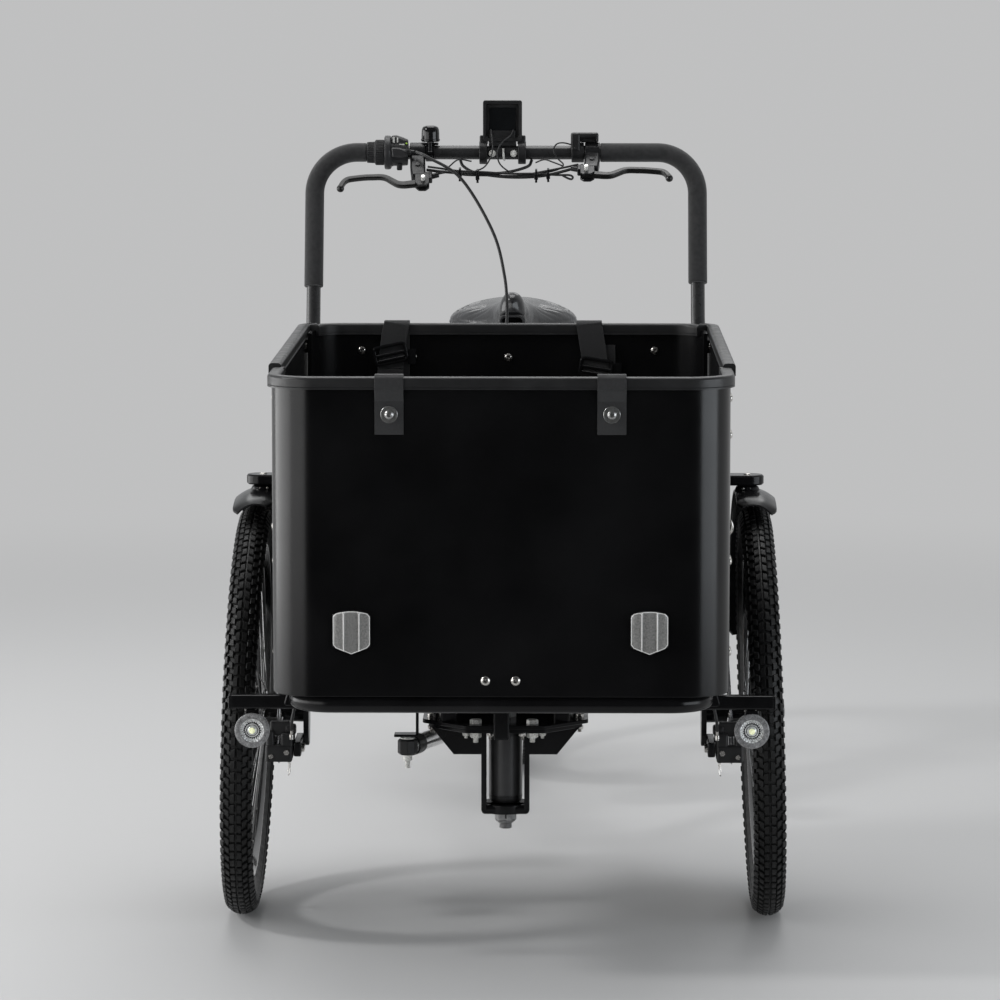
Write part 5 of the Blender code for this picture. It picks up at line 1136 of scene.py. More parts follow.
def caliperForms():
    y, z = -0.078, 0.263
    x0, x1 = 0.313, 0.354
    discX = wheel["x"] + wheel["discAt"]
    body = [softBox((0.0185, 0.046, 0.04), (x0 + 0.0098, y, z + 0.004), 0.0045, 4),
        softBox((0.0118, 0.044, 0.044), (x1 - 0.0066, y, z + 0.006), 0.004, 4),
        softBox((0.03, 0.012, 0.022), (x0 + 0.02, y - 0.008, z + 0.03), 0.003, 3),
        rod((x0 - 0.004, y - 0.01, z + 0.029), (x0 + 0.012, y - 0.01, z + 0.029), 0.008, 32,
        0.003), softBox((0.04, 0.016, 0.026), ((x0 + x1) / 2 + 0.001, y - 0.0165, z - 0.006),
        0.004, 4), rod((x0 - 0.0015, y, z + 0.016), (x0 + 0.0105, y, z + 0.016), 0.0085, 32,
        0.003), softBox((0.007, 0.03, 0.012), (x0 + 0.006, y - 0.004, z - 0.014), 0.0025, 3)]
    for k in range(4):
        body.append(softBox((0.01, 0.04, 0.0016), (x0 + 0.009, y, z - 0.008 + k * 0.0048), 0.0006,
            1))
    bright = []
    # cable barrel with a knurled collar, standing up from the actuating arm
    base = Vector((x0 + 0.003, y - 0.02, z + 0.015))
    way = Vector((-0.05, -0.25, 1.0)).normalized()
    knurl = [(0.0034 if k % 2 else 0.003, 0.001 * k) for k in range(9)]
    bright.append(lathe(knurl, 14, axisTo(base, way)))
    bright.append(rod(base + way * 0.008, base + way * 0.016, 0.0022, 14, 0.0005))
    bright += hexHead((x0 + 0.01, y - 0.0235, z - 0.004), (0, -1, 0), 0.008, 0.0042)
    bright += hexHead((x1 - 0.008, y - 0.0235, z - 0.01), (0, -1, 0), 0.007, 0.0036)
    wire = smoothPath([(0.3185, y - 0.012, z - 0.0215), (0.3183, y - 0.0122, z - 0.03),
        (0.3192, y - 0.0128, z - 0.037), (0.3212, y - 0.0135, z - 0.0405)], 5)
    bright.append(sweep(wire, ring(0.0009, 8), ref=(0, 1, 0)))
    wire = wire + np.array([0.0022, 0.0, 0.004])
    bright.append(sweep(wire[:-3], ring(0.0009, 8), ref=(0, 1, 0)))
    pads = [softBox((0.0018, 0.022, 0.02), (discX - 0.0026, y + 0.006, z + 0.006), 0.0006),
        softBox((0.0018, 0.022, 0.02), (discX + 0.0026, y + 0.006, z + 0.006), 0.0006)]
    return body, bright, pads

body, bright, pads = caliperForms()
addPiece("leftCaliper", body, "blackPlastic", stands=["left_caliper"])
addPiece("rightCaliper", mirrored(body), "blackPlastic", stands=["right_caliper"])
addPiece("caliperBolts", bothSides(bright), "screwSteel")
addPiece("brakePads", bothSides(pads), "discSteel")
hoses = []
for side in (-1, 1):
    # housing from the caliper barrel up to the frame loop and back under the box
    route = [(side * 0.3155, -0.102, 0.292), (side * 0.3135, -0.106, 0.312),
        (side * 0.306, -0.104, 0.34), (side * 0.292, -0.09, 0.364), (side * 0.27, -0.06, 0.379),
        (side * 0.264, 0.0, 0.382), (side * 0.264, 0.2, 0.382), (side * 0.265, 0.33, 0.383)]
    hoses.append(sweep(smoothPath(route, 10), ring(0.0024, 10)))
addPiece("frontHoses", hoses, "cableSleeve")

guard = {"radius": 0.3335, "half": 0.029, "first": 74, "last": 168, "x": 0.373, "drop": 0.014,
    "wall": 0.0026}

def guardForm(radius, half, first, last, centre, drop, wall, steps=72, rolled=0.0012, crest=0.0):
    # the section is an arch across the wheel, thick as the wall, with a rolled edge;
    # the angle runs from the front over the top
    s = np.linspace(-1, 1, 21)
    fall = drop * (np.abs(s - crest) / (1 + abs(crest))) ** 2.2
    outer = radius - fall + wall / 2
    inner = radius - fall - wall / 2
    across = np.concatenate([s * half, [half + rolled * 0.6, half + rolled * 0.6],
        s[::-1] * (half - wall * 0.4), [-half - rolled * 0.6, -half - rolled * 0.6]])
    level = np.concatenate([outer, [outer[-1] - wall * 0.2, inner[-1] - rolled], inner[::-1],
        [inner[0] - rolled, outer[0] - wall * 0.2]])
    a = np.radians(np.linspace(first, last, steps + 1))
    # the ends narrow and round off over the last few degrees
    near = np.minimum(np.linspace(0, 1, steps + 1), np.linspace(1, 0, steps + 1)) * steps
    taper = np.sqrt(1 - (np.clip(2.5 - near, 0, None) / 3.6) ** 2)
    x = centre[0] + across[None, :] * taper[:, None]
    r = level[None, :] - (1 - taper[:, None]) * 0.002
    return gridForm(np.stack([x, centre[1] - r * np.cos(a)[:, None],
        centre[2] + r * np.sin(a)[:, None]], -1))

guardTop = wheel["z"] + guard["radius"] + 0.0015
shell = guardForm(guard["radius"], guard["half"], guard["first"], guard["last"],
    (guard["x"], 0, wheel["z"]), guard["drop"], guard["wall"], crest=-0.3)
reach = 0.386
barOutline = [(half + 0.0003, -0.021), (reach - 0.02, -0.021)]
barOutline += [tuple(p) for p in arcPoints((reach - 0.02, 0), 0.02, -72, 72, 18)]
barOutline += [(reach - 0.02, 0.021), (half + 0.0003, 0.021)]
boot = at(guard["x"] - 0.0115, 0, guardTop - 0.002)
guardBar = [plateForm(np.array(barOutline), 0.015, at(0, 0, guardTop + 0.0135), 0.0022),
    lathe([(0.019, -0.004), (0.0188, 0.0), (0.0165, 0.005), (0.011, 0.0078), (0.0062, 0.0084),
    (0.006, 0.01), (0, 0.01)], 40, boot), softBox((0.0046, 0.054, 0.046),
    (half + 0.0026, 0, guardTop + 0.001), 0.0012, 3)]
addPiece("leftGuard", [shell] + guardBar, "framePaint", stands=["left_mudguard"])
addPiece("rightGuard", mirrored([shell] + guardBar), "framePaint", stands=["right_mudguard"])
guardBolts = button((guard["x"] - 0.0115, 0, guardTop + 0.0205), (0, 0, 1), 0.0058, 0.0022)
for x in (-0.007, 0.003):
    guardBolts += button((boot.translation.x + x, -0.015, guardTop + 0.001), (0, -1, 0), 0.0022,
        0.0018)
for y in (-0.018, 0.018):
    guardBolts += button((half + 0.0049, y, guardTop - 0.012), (1, 0, 0), 0.0052, 0.0028)
addPiece("guardBolts", bothSides(guardBolts), "screwSteel")
print("front end done")

head = {"y": 0.06, "plateZ": 0.2787, "discHigh": 0.1574, "discRadius": 0.0365, "strapX": 0.0325,
    "tubeLow": 0.158, "tubeHigh": 0.27}
yokePlate = softOutline([(-0.116, 0.034), (-0.06, -0.026), (0.06, -0.026), (0.116, 0.034),
    (0.116, 0.146), (-0.116, 0.146)], 0.008, 5)
yoke = [plateForm(yokePlate, 0.006, at(0, 0, head["plateZ"]), 0.0009)]
gussetOutline = np.array([(0.0315, 0.277), (0.112, 0.277), (0.078, 0.235), (0.0315, 0.235)])
for side in (-1, 1):
    yoke.append(softBox((0.008, 0.024, 0.13), (side * head["strapX"], 0.038, 0.2135), 0.0014, 2))
    yoke.append(plateForm(gussetOutline * [side, 1], 0.006, at(0, 0.03, 0) @ onXZ, 0.0008))
discRadius, discHigh = head["discRadius"], head["discHigh"]
yoke.append(lathe([(0.0088, discHigh - 0.0145), (discRadius - 0.0016, discHigh - 0.0145),
    (discRadius - 0.0003, discHigh - 0.0135), (discRadius, discHigh - 0.012),
    (discRadius, discHigh - 0.002), (discRadius - 0.0004, discHigh - 0.0007),
    (discRadius - 0.0014, discHigh), (0.0088, discHigh)], 72, at(0, head["y"], 0), closed=True))
yoke.append(softBox((0.0728, 0.03, 0.0145), (0, 0.0415, discHigh - 0.00725), 0.006, 5))
addPiece("steeringYoke", yoke, "framePaint", stands=["steering_yoke"])

kingpin = [rod((0, head["y"], 0.12), (0, head["y"], 0.292), 0.008, 28)]
kingpin += [lathe([(0.014, 0), (0.0161, 0.0001, 1), (0.0161, 0.009, 1), (0.0142, 0.0105),
    (0.0, 0.0108)], 48, at(0, head["y"], 0.2883))]
nutTop = discHigh - 0.0148
nut = [(0.0165, 0, 1), (0.0165, 0.0115, 1), (0.0158, 0.0125), (0.015, 0.014), (0.0112, 0.017),
    (0.009, 0.0172)]
kingpin.append(lathe(nut, 48, at(0, head["y"], nutTop) @ Matrix.Rotation(math.pi, 4,
    "X") @ Matrix.Rotation(math.radians(8), 4, "Z")))
threads = [(0.0098 * (1.0 if k % 2 else 0.9), 0.015 + 0.0009 * k) for k in range(12)]
kingpin.append(lathe(threads + [(0.0078, 0.0258), (0, 0.0258)], 32,
    at(0, head["y"], nutTop) @ Matrix.Rotation(math.pi, 4, "X")))
addPiece("kingpinBolt", kingpin, "kingpinZinc", stands=["kingpin"])
# a dark rubber box on the front of the kingpin nut: painted shade for a slot there, with no
# opening cut
slotShade = [softBox((0.0022, 0.004, 0.0085), (0.0004, head["y"] - 0.0136, nutTop - 0.005), 0.0008, 2)]
addPiece("kingpinSlotShade", slotShade, "gripRubber")

def flangeNut(point, across, stud):
    # six-sided nut on its own round flange, hanging below a plate, with the bolt's end
    down = Matrix.Translation(point) @ Matrix.Rotation(math.pi, 4, "X")
    r = across / 2 / math.cos(math.pi / 6)
    rows = [(r * 1.22, 0), (r * 1.24, 0.0012), (r * 1.0, 0.0026, 1), (r, 0.008, 1),
        (across * 0.47, 0.0092), (across * 0.3, 0.0095)]
    bolt = [(across * (0.28 if k % 2 else 0.25), 0.009 + stud * k / 10) for k in range(11)]
    return [lathe(rows, 36, down), lathe(bolt, 20, down)]

yokeBolts = []
for x, y, across, stud in ((-0.044, -0.008, 0.015, 0.0075), (0.041, -0.008, 0.015, 0.007),
    (-0.059, 0.01, 0.0095, 0.004), (0.056, 0.01, 0.0095, 0.004), (-0.095, 0.12, 0.013, 0.006),
    (0.095, 0.12, 0.013, 0.006)):
    yokeBolts += flangeNut((x, y, 0.2757), across, stud)
    if across > 0.012:
        yokeBolts += hexHead((x, y, 0.288), (0, 0, 1), across * 1.02, 0.0065)
addPiece("yokeBolts", yokeBolts, "boltZinc")

damper = {"start": (-0.147, 0.012, 0.249), "end": (-0.045, 0.26, 0.249)}
dStart, dEnd = Vector(damper["start"]), Vector(damper["end"])
dWay = (dEnd - dStart).normalized()
alongDamper = axisTo(dStart, dWay)
dLong = (dEnd - dStart).length
endBlock = softOutline([(0.0152 * math.cos(a),
    0.0152 * math.sin(a)) for a in np.radians(np.arange(22.5, 360, 45))], 0.003, 4)
blockTurn = Matrix.Rotation(math.atan2(dWay.y, dWay.x), 4, "Z")
damperBlack = [plateForm(endBlock, 0.024,
    Matrix.Translation(dStart + Vector((0, 0, 0.0005))) @ blockTurn, 0.0028),
    lathe([(0.0148, 0.014), (0.0156, 0.015), (0.0157, 0.038), (0.015, 0.0395), (0.0133, 0.04),
    (0.0133, 0.014)], 56, alongDamper, closed=True),
    lathe([(0.006, 0.146), (0.015, 0.146), (0.0156, 0.147), (0.0156, 0.16), (0.0148, 0.1615),
    (0.006, 0.1615)], 56, alongDamper, closed=True)]
damperBright = [lathe([(0.006, 0.01), (0.0128, 0.01), (0.0135, 0.011), (0.0135, 0.145),
    (0.013, 0.146), (0.006, 0.1462)], 56, alongDamper, closed=True)]
damperZinc = [lathe([(0.0105, 0.0125), (0.011, 0.013), (0.011, 0.0142), (0.006, 0.0146),
    (0.006, 0.0155), (0, 0.0156)], 36, Matrix.Translation(dStart))]
down = Matrix.Translation(dStart) @ Matrix.Rotation(math.pi, 4, "X")
damperZinc.append(lathe([(0.0086, 0.011), (0.0088, 0.012), (0.0072, 0.0128), (0.0068, 0.013, 1),
    (0.0068, 0.0205, 1), (0.004, 0.0215)], 36, down))
damperZinc.append(lathe([(0.004 * (1 if k % 2 else 0.9),
    0.021 + 0.001 * k) for k in range(12)] + [(0, 0.0325)], 20, down))
addPiece("damperBarrel", damperBright, "damperMetal", "damper_barrel", ["damper_body"])
addPiece("damperEnds", damperBlack, "blackPlastic", "damper_barrel")
addPiece("damperBall", damperZinc, "boltZinc", "damper_barrel")
damperRod = [rod(dStart + dWay * 0.1, dStart + dWay * (dLong - 0.004), 0.0042, 24),
    lathe([(0.0045, -0.005), (0.0102, -0.005), (0.011, -0.0042), (0.011, 0.0042), (0.0102, 0.005),
    (0.0045, 0.005)], 40, Matrix.Translation(dEnd), closed=True)]
addPiece("damperShaft", damperRod, "screwSteel", "damper_shaft", ["damper_rod"])
pivotBolt = hexHead(dEnd + Vector((0, 0, 0.0052)), (0, 0, 1), 0.01, 0.005)
pivotBolt += [rod(dEnd - Vector((0, 0, 0.0055)), dEnd + Vector((0, 0, 0.006)), 0.0042, 20)]
addPiece("damperPivot", pivotBolt, "screwSteel", "damper_shaft")
print("steering done")

bar = {"radius": 0.0111, "foam": 0.015, "z": 1.1225, "y": 0.52, "postX": 0.309, "postY": 0.43,
    "knee": 0.82, "bend": 0.067, "foamLow": 0.907, "foamLeft": 0.1448, "foamRight": 0.227}
barHalf = roundedPath([(bar["postX"], bar["postY"], 0.3725),
    (bar["postX"], bar["postY"], bar["knee"]), (bar["postX"], bar["y"], bar["z"]),
    (0, bar["y"], bar["z"])], [0.12, bar["bend"]], 18)

def drawnIn(path):
    # the rider's left upright stands a little nearer the middle, as in the photo
    lean = np.clip((path[:, 0] - 0.15) / 0.16, 0, 1) * np.clip((path[:, 2] - 0.42) / 0.45, 0, 1)
    return path - np.stack([0.01 * lean, 0 * lean, 0 * lean], -1)

barPath = drawnIn(np.vstack([denser(barHalf[:-1], 0.03), (barHalf[:-1] * [-1, 1, 1])[::-1]]))
addPiece("handlebarTube", [sweep(barPath, ring(bar["radius"], 32), ref=(0, 1, 0))], "barPaint",
    stands=["handlebar"])

def foamForm(endX, side):
    # the bar's own path between two places, with soft edges where the sleeve ends
    path = denser(barHalf, 0.006)
    path = path[(path[:, 2] > bar["foamLow"] + (0.008 if side > 0 else 0)) & ~((path[:,
        0] < endX + 0.0005) & (path[:, 2] > bar["z"] - 1e-6))]
    path = np.vstack([path, (endX, bar["y"], bar["z"])])
    steps = np.concatenate([[0], np.cumsum(np.linalg.norm(np.diff(path, axis=0), axis=1))])
    lead = np.array([0.0, 0.0004, 0.001, 0.0018])
    wanted = np.concatenate([lead, np.linspace(0.004, steps[-1] - 0.004, 110),
        steps[-1] - lead[::-1]])
    path = np.stack([np.interp(wanted, steps, path[:, k]) for k in range(3)], -1)
    size = np.ones(len(path))
    size[:4] = size[-4:][::-1] = [0.9, 0.955, 0.985, 1.0]
    size[-4:] = [1.0, 0.985, 0.955, 0.9]
    section = ring(bar["foam"], 40)
    return sweep(drawnIn(path * [side, 1, 1]), section, ref=(0, 1, 0), size=size)

addPiece("leftFoam", [foamForm(bar["foamLeft"], 1)], "foamRubber", stands=["left_foam_grip"])
addPiece("rightFoam", [foamForm(bar["foamRight"], -1)], "foamRubber", stands=["right_foam_grip"])
plugs = [lathe([(0.0118, 0.0585), (0.015, 0.059), (0.0156, 0.06), (0.0156, 0.064), (0.0148, 0.065),
    (0.0114, 0.0652)], 40, at(bar["postX"], bar["postY"], cz), closed=True)]
addPiece("socketRings", bothSides(plugs), "blackPlastic")
# post clamp screws at the back of each socket
postScrews = []
for z in (-0.006, 0.034):
    postScrews += button((bar["postX"] + 0.0144, bar["postY"], cz + z), (1, 0, 0), 0.005, 0.0032)
addPiece("postScrews", bothSides(postScrews), "screwSteel")

onBar = at(0, bar["y"], bar["z"]) @ Matrix.Rotation(math.pi / 2, 4, "Y")

def ribbedTurn(rows, ribs, place, steps=288, depth=0.0009):
    # rows: place along the bar, radius, and how far the ribs cut there (0 to 1)
    a = np.linspace(0, 2 * np.pi, steps, endpoint=False)
    wave = np.clip(1.6 * np.cos(ribs * a), -1, 1) * 0.5 - 0.5
    points = np.stack([np.stack([(r + depth * k * wave) * np.cos(a),
        (r + depth * k * wave) * np.sin(a), np.full(steps, x)], -1) for x, r, k in rows])
    return placed(gridForm(points, loop=True), place)

grip = ribbedTurn([(-0.2267, 0.0115, 0), (-0.2267, 0.015, 0), (-0.2262, 0.0162, 0),
    (-0.225, 0.0166, 0.2), (-0.2238, 0.0166, 1), (-0.2155, 0.017, 1), (-0.2146, 0.017, 0.1),
    (-0.2138, 0.0176, 0), (-0.2128, 0.0196, 0), (-0.212, 0.0201, 0.2), (-0.211, 0.0202, 1),
    (-0.2008, 0.0202, 1), (-0.1998, 0.02, 0.2), (-0.1991, 0.0196, 0), (-0.1989, 0.0185, 0),
    (-0.1989, 0.0115, 0)], 34, onBar)
addPiece("twistGrip", [grip], "gripRubber", "twist_grip", ["shifter_grip"])

shifterBody = [lathe([(0.0115, -0.1985), (0.024, -0.1985), (0.0262, -0.1978), (0.027, -0.1962),
    (0.0271, -0.193), (0.0266, -0.1895), (0.0252, -0.188), (0.0226, -0.1868), (0.0216, -0.1845),
    (0.0212, -0.17), (0.0206, -0.163), (0.0194, -0.1612), (0.0115, -0.161)], 72, onBar,
    closed=True)]
sy, sz = bar["y"], bar["z"]
hood = softOutline([(-0.1885, 0.018), (-0.1868, 0.0268), (-0.179, 0.0274), (-0.169, 0.024),
    (-0.161, 0.0205), (-0.16, 0.01), (-0.1885, 0.01)], 0.0022, 4)
shifterBody.append(plateForm(hood + [0, sz], 0.023, at(0, sy - 0.005, 0) @ onXZ, 0.003))
jaw = softOutline([(-0.186, -0.006), (-0.17, -0.0075), (-0.161, -0.0055), (-0.16, 0.004),
    (-0.174, 0.0085), (-0.187, 0.009)], 0.002, 4)
shifterBody.append(plateForm(jaw + [0, sz], 0.012, at(0, sy - 0.0215, 0) @ onXZ, 0.002))
shifterBody.append(softBox((0.0085, 0.016, 0.011), (-0.1745, sy - 0.006, sz - 0.0225), 0.0018, 2))
addPiece("shifterBody", shifterBody, "shiftGrey", stands=["shifter_body"])
barrel = [ribbedTurn([(-0.1665, 0.002, 0), (-0.1665, 0.0044, 0), (-0.1655, 0.005, 1),
    (-0.1575, 0.005, 1), (-0.1565, 0.0045, 0.2), (-0.1555, 0.0036, 0), (-0.1505, 0.0033, 0),
    (-0.15, 0.0028, 0), (-0.15, 0.002, 0)], 14,
    at(0, sy - 0.023, sz + 0.0015) @ Matrix.Rotation(math.pi / 2, 4, "Y"), 112, 0.0007)]
addPiece("shiftBarrel", barrel, "blackPlastic")
marks = [softBox((0.0032, 0.0016, 0.0092), (-0.1832, sy - 0.0162, sz + 0.0205), 0.0005, 2),
    softBox((0.0022, 0.0016, 0.0078), (-0.1772, sy - 0.0162, sz + 0.0203), 0.0005, 2),
    softBox((0.0085, 0.0016, 0.003), (-0.1705, sy - 0.0162, sz + 0.0128), 0.0005, 2)]
addPiece("gearWindow", marks, "windowPale")
spot = [lathe([(0.0014, -0.0006), (0.0014, 0.0006), (0.0008, 0.001), (0, 0.0011)], 16,
    axisTo((-0.163, sy - 0.0165, sz + 0.015), (0, -1, 0)))]
addPiece("gearPointer", spot, "pointerLime")

lever = {"tilt": {"right": 45.0, "left": 29.0}, "x": {"right": -0.1357, "left": 0.1223},
    "reach": 0.0655, "wall": 0.009, "spine": [(-0.006, 0.0), (0.008, 0.0012), (0.02, 0.003),
    (0.032, 0.0044), (0.042, 0.003), (0.052, -0.003), (0.062, -0.0095), (0.072, -0.0121),
    (0.086, -0.0118), (0.1, -0.0112), (0.116, -0.0092), (0.128, -0.007), (0.1345, -0.003),
    (0.1385, 0.003), (0.1415, 0.01)], "widths": [0.0062, 0.0062, 0.0055, 0.0052, 0.0049, 0.0046,
    0.0041, 0.0038, 0.0037, 0.0036, 0.0036, 0.0037, 0.0038, 0.004, 0.0042]}

def leverFrame(side):
    # X along the bar, Y forward and down to the lever, Z along its pin
    c, s = (f(math.radians(lever["tilt"][side])) for f in (math.cos, math.sin))
    return Matrix(((1, 0, 0, lever["x"][side]), (0, -c, s, bar["y"]), (0, -s, -c, bar["z"]),
        (0, 0, 0, 1)))

def bladeForms(way):
    # the section is a soft rectangle that follows the spine, wide where the finger lies
    spine = np.array([(min(p[0], 0.02) + 0.91 * max(p[0] - 0.02, 0), p[1] + lever["reach"],
        0) for p in lever["spine"]])
    path = smoothPath(spine, 5)
    known = np.linspace(0, 1, len(spine))
    wide = np.interp(np.linspace(0, 1, len(path)), known, lever["widths"])
    unit = softRectangle(2.0, 1.0, 0.34, 5)
    section = np.stack([unit[None, :, 0] * wide[:, None],
        np.broadcast_to(unit[:, 1] * lever["wall"], (len(path), len(unit)))], -1)
    forms = [sweep(path, section)]
    b = np.linspace(-np.pi / 2, np.pi / 2, 14)
    ball = [(0.006 * math.cos(t), 0.006 * math.sin(t)) for t in b]
    forms.append(lathe(ball, 32, at(0.1308, lever["reach"] + 0.0122, 0)))
    return [placed(f, Matrix.Diagonal((way, 1, 1, 1))) for f in forms]

for side, way in (("right", -1), ("left", 1)):
    frameOf = leverFrame(side)
    x = lever["x"][side]
    inner, outer = sorted((x - way * 0.002, x + way * 0.022))
    e = 0.001
    clampForms = [lathe([(0.0114, inner), (0.016 - e, inner), (0.016, inner + e),
        (0.016, outer - e), (0.016 - e, outer), (0.0114, outer)], 56, onBar, closed=True)]
    bodyOutline = softOutline([(-0.002, 0.01), (0.0215, 0.01), (0.0212, 0.036), (0.019, 0.056),
        (-0.004, 0.056), (-0.003, 0.036)], 0.003, 5) * [way, 1]
    clampForms.append(placed(plateForm(bodyOutline, 0.0165, None, 0.0028), frameOf))
    for up in (-1, 1):
        tab = softOutline([(-0.0095, 0.05), (0.013, 0.05), (0.013, 0.07), (0.007, 0.0765),
            (-0.004, 0.0765), (-0.0095, 0.071)], 0.0035, 5) * [way, 1]
        clampForms.append(placed(plateForm(tab, 0.003, at(0, 0, up * 0.0063), 0.0006), frameOf))
    clampForms.append(placed(softBox((0.0125, 0.015, 0.013), (-way * 0.008, 0.054, 0), 0.002, 3),
        frameOf))
    clampForms.append(placed(rod((-way * 0.01, 0.053, 0), (-way * 0.024, 0.048, 0), 0.0042, 20,
        0.0008), frameOf))
    clampForms += [placed(f, frameOf) for f in hexHead((way * 0.009, 0.033, -0.0082), (0, 0, -1),
        0.0075, 0.002)]
    addPiece(side + "LeverClamp", clampForms, "leverGrey", stands=[side + "_lever_clamp"])
    hinge = [placed(rod((0, lever["reach"], -0.009), (0, lever["reach"], 0.009), 0.003, 20,
        0.0004), frameOf), placed(rod((0, lever["reach"], -0.0082), (0, lever["reach"], -0.0165),
        0.0033, 24, 0.0006), frameOf)]
    addPiece(side + "LeverPin", hinge, "boltZinc")
    addPiece(side + "LeverBlade", [placed(f, frameOf) for f in bladeForms(way)], "leverBlack",
        side + "_lever", [side + "_brake_lever"])

bell = {"x": -0.1255, "top": 1.1653}
bellX, bellLow = bell["x"], bell["top"] - 0.026
bellForms = [lathe([(0, 0.0262), (0.006, 0.0261), (0.0098, 0.0251), (0.0125, 0.0228),
    (0.0138, 0.019), (0.0142, 0.013), (0.0143, 0.004), (0.0143, 0.0012), (0.0138, 0.0004),
    (0.0125, 0.0002), (0.0055, 0.0002), (0.0055, -0.006), (0, -0.006)], 64,
    at(bellX, bar["y"], bellLow)), lathe([(0.015, 0.0048), (0.0152, 0.004), (0.0152, 0.0026),
    (0.015, 0.0018), (0.0138, 0.0018), (0.0138, 0.0048)], 64, at(bellX, bar["y"], bellLow),
    closed=True), softBox((0.026, 0.022, 0.004), (bellX, bar["y"], bellLow - 0.003), 0.0014, 3),
    lathe([(0.0114, bellX - 0.0072), (0.014, bellX - 0.0072), (0.0146, bellX - 0.0065),
    (0.0146, bellX + 0.0065), (0.014, bellX + 0.0072), (0.0114, bellX + 0.0072)], 48, onBar,
    closed=True), softBox((0.008, 0.01, 0.006), (bellX, bar["y"] - 0.018, bar["z"] - 0.006),
    0.0012, 2)]
addPiece("bellDome", bellForms, "glossPlastic", stands=["bell"])
strikerForms = [rod((bellX - 0.003, bar["y"] - 0.02, bar["z"] + 0.0003),
    (bellX + 0.003, bar["y"] - 0.02, bar["z"] + 0.0003), 0.003, 24),
    softBox((0.0052, 0.004, 0.017), (bellX, bar["y"] - 0.02, bar["z"] + 0.0088), 0.0012, 3)]
addPiece("bellHammer", strikerForms, "glossPlastic", "striker", ["bell_striker"])

screen = {"x": -0.0107, "z": 1.1729, "wide": 0.062, "high": 0.065}
sx, screenZ, screenY = screen["x"], screen["z"], bar["y"] - 0.004
outline = softRectangle(screen["wide"], screen["high"], 0.0035, 5)
inset = softRectangle(screen["wide"] - 0.0085, screen["high"] - 0.011, 0.003, 5)
rowsXZ = [(inset * 0.96, -0.001), (inset, -0.0064), (inset + 0, -0.007),
    (outline * 0.985, -0.0075), (outline, -0.0066), (outline, 0.0066), (outline * 0.985, 0.0075)]
backShell = gridForm(np.stack([np.stack([p[:, 0] + sx, np.full(len(p), screenY + y),
    p[:, 1] + screenZ], -1) for p, y in rowsXZ]))
displayForms = [backShell]
displayForms.append(softBox((0.04, 0.005, 0.013), (sx, screenY - 0.003, screenZ - 0.0215), 0.0012,
    2))
displayForms.append(softBox((0.044, 0.012, 0.012), (sx, screenY, screenZ - 0.0345), 0.002, 3))
for first in (-0.0475, 0.014):
    displayForms.append(lathe([(0.0114, first), (0.0176, first), (0.0185, first + 0.001),
        (0.0185, first + 0.0115), (0.0176, first + 0.0125), (0.0114, first + 0.0125)], 56, onBar,
        closed=True))
for x in (-0.0405, 0.0195):
    displayForms.append(softBox((0.013, 0.011, 0.015), (x, screenY, bar["z"] + 0.02), 0.0022, 3))
addPiece("displayShell", displayForms, "blackPlastic", stands=["display"])
glass = [softBox((screen["wide"] - 0.006, 0.0016, screen["high"] - 0.008),
    (sx, screenY + 0.007, screenZ + 0.0015), 0.0008, 2)]
addPiece("displayGlass", glass, "screenGlass")
addPiece("displayRecess", [softBox((0.042, 0.0012, 0.036), (sx, screenY - 0.0016, screenZ + 0.003),
    0.0004, 1)], "screenGlass")
displayBolts = []
for x in (-0.0268, 0.0072):
    displayBolts += hexHead((x, bar["y"] - 0.0142, bar["z"] - 0.001), (0, -1, 0), 0.0062, 0.0032)
    displayBolts.append(lathe([(0.0032, -0.0014), (0.0052, -0.0014), (0.0055, -0.0006),
        (0.0052, 0.0004), (0.0032, 0.0004)], 28,
        axisTo((x, bar["y"] - 0.0142, bar["z"] - 0.001), (0, -1, 0)), closed=True))
    displayBolts.append(rod((x, bar["y"] - 0.01, bar["z"] - 0.001),
        (x, bar["y"] - 0.0145, bar["z"] - 0.001), 0.003, 16))
clip = [(-0.0095, sy - 0.0118, sz + 0.0065), (-0.0092, sy - 0.0135, sz + 0.001),
    (-0.0088, sy - 0.0135, sz - 0.006), (-0.0076, sy - 0.0108, sz - 0.0125)]
displayBolts.append(sweep(smoothPath(clip, 5), softRectangle(0.003, 0.001, 0.0004, 2),
    ref=(0, 1, 0)))
addPiece("displayBolts", displayBolts, "boltZinc")

remoteX = 0.1088
remote = [lathe([(0.0114, 0.099), (0.015, 0.099), (0.0158, 0.1), (0.0158, 0.1178), (0.015, 0.1188),
    (0.0114, 0.1188)], 56, onBar, closed=True),
    softBox((0.015, 0.032, 0.03), (remoteX - 0.0035, bar["y"], bar["z"] + 0.0165), 0.0035, 4),
    softBox((0.044, 0.03, 0.0085), (0.12, bar["y"], bar["z"] + 0.0274), 0.0034, 4),
    softBox((0.029, 0.018, 0.009), (0.127, bar["y"] + 0.006, bar["z"] + 0.0205), 0.002, 3),
    softBox((0.0035, 0.028, 0.013), (0.1401, bar["y"], bar["z"] + 0.0235), 0.0015, 3)]
addPiece("remoteShell", remote, "blackPlastic", stands=["remote_housing"])
face = bar["y"] + 0.015
keys = [lathe([(0.0049, -0.0015), (0.0049, 0.0018), (0.0043, 0.0025), (0.002, 0.0021), (0, 0.002)],
    36, axisTo((0.129, face, bar["z"] + 0.0241), (0, 1, 0)))]
addPiece("assistKey", keys, "gripRubber", "assist_key", ["assist_button"])
addPiece("remoteScrew", button((remoteX - 0.004, bar["y"] - 0.0158, bar["z"] + 0.0075), (0, -1, 0),
    0.002, 0.0008), "gripRubber")

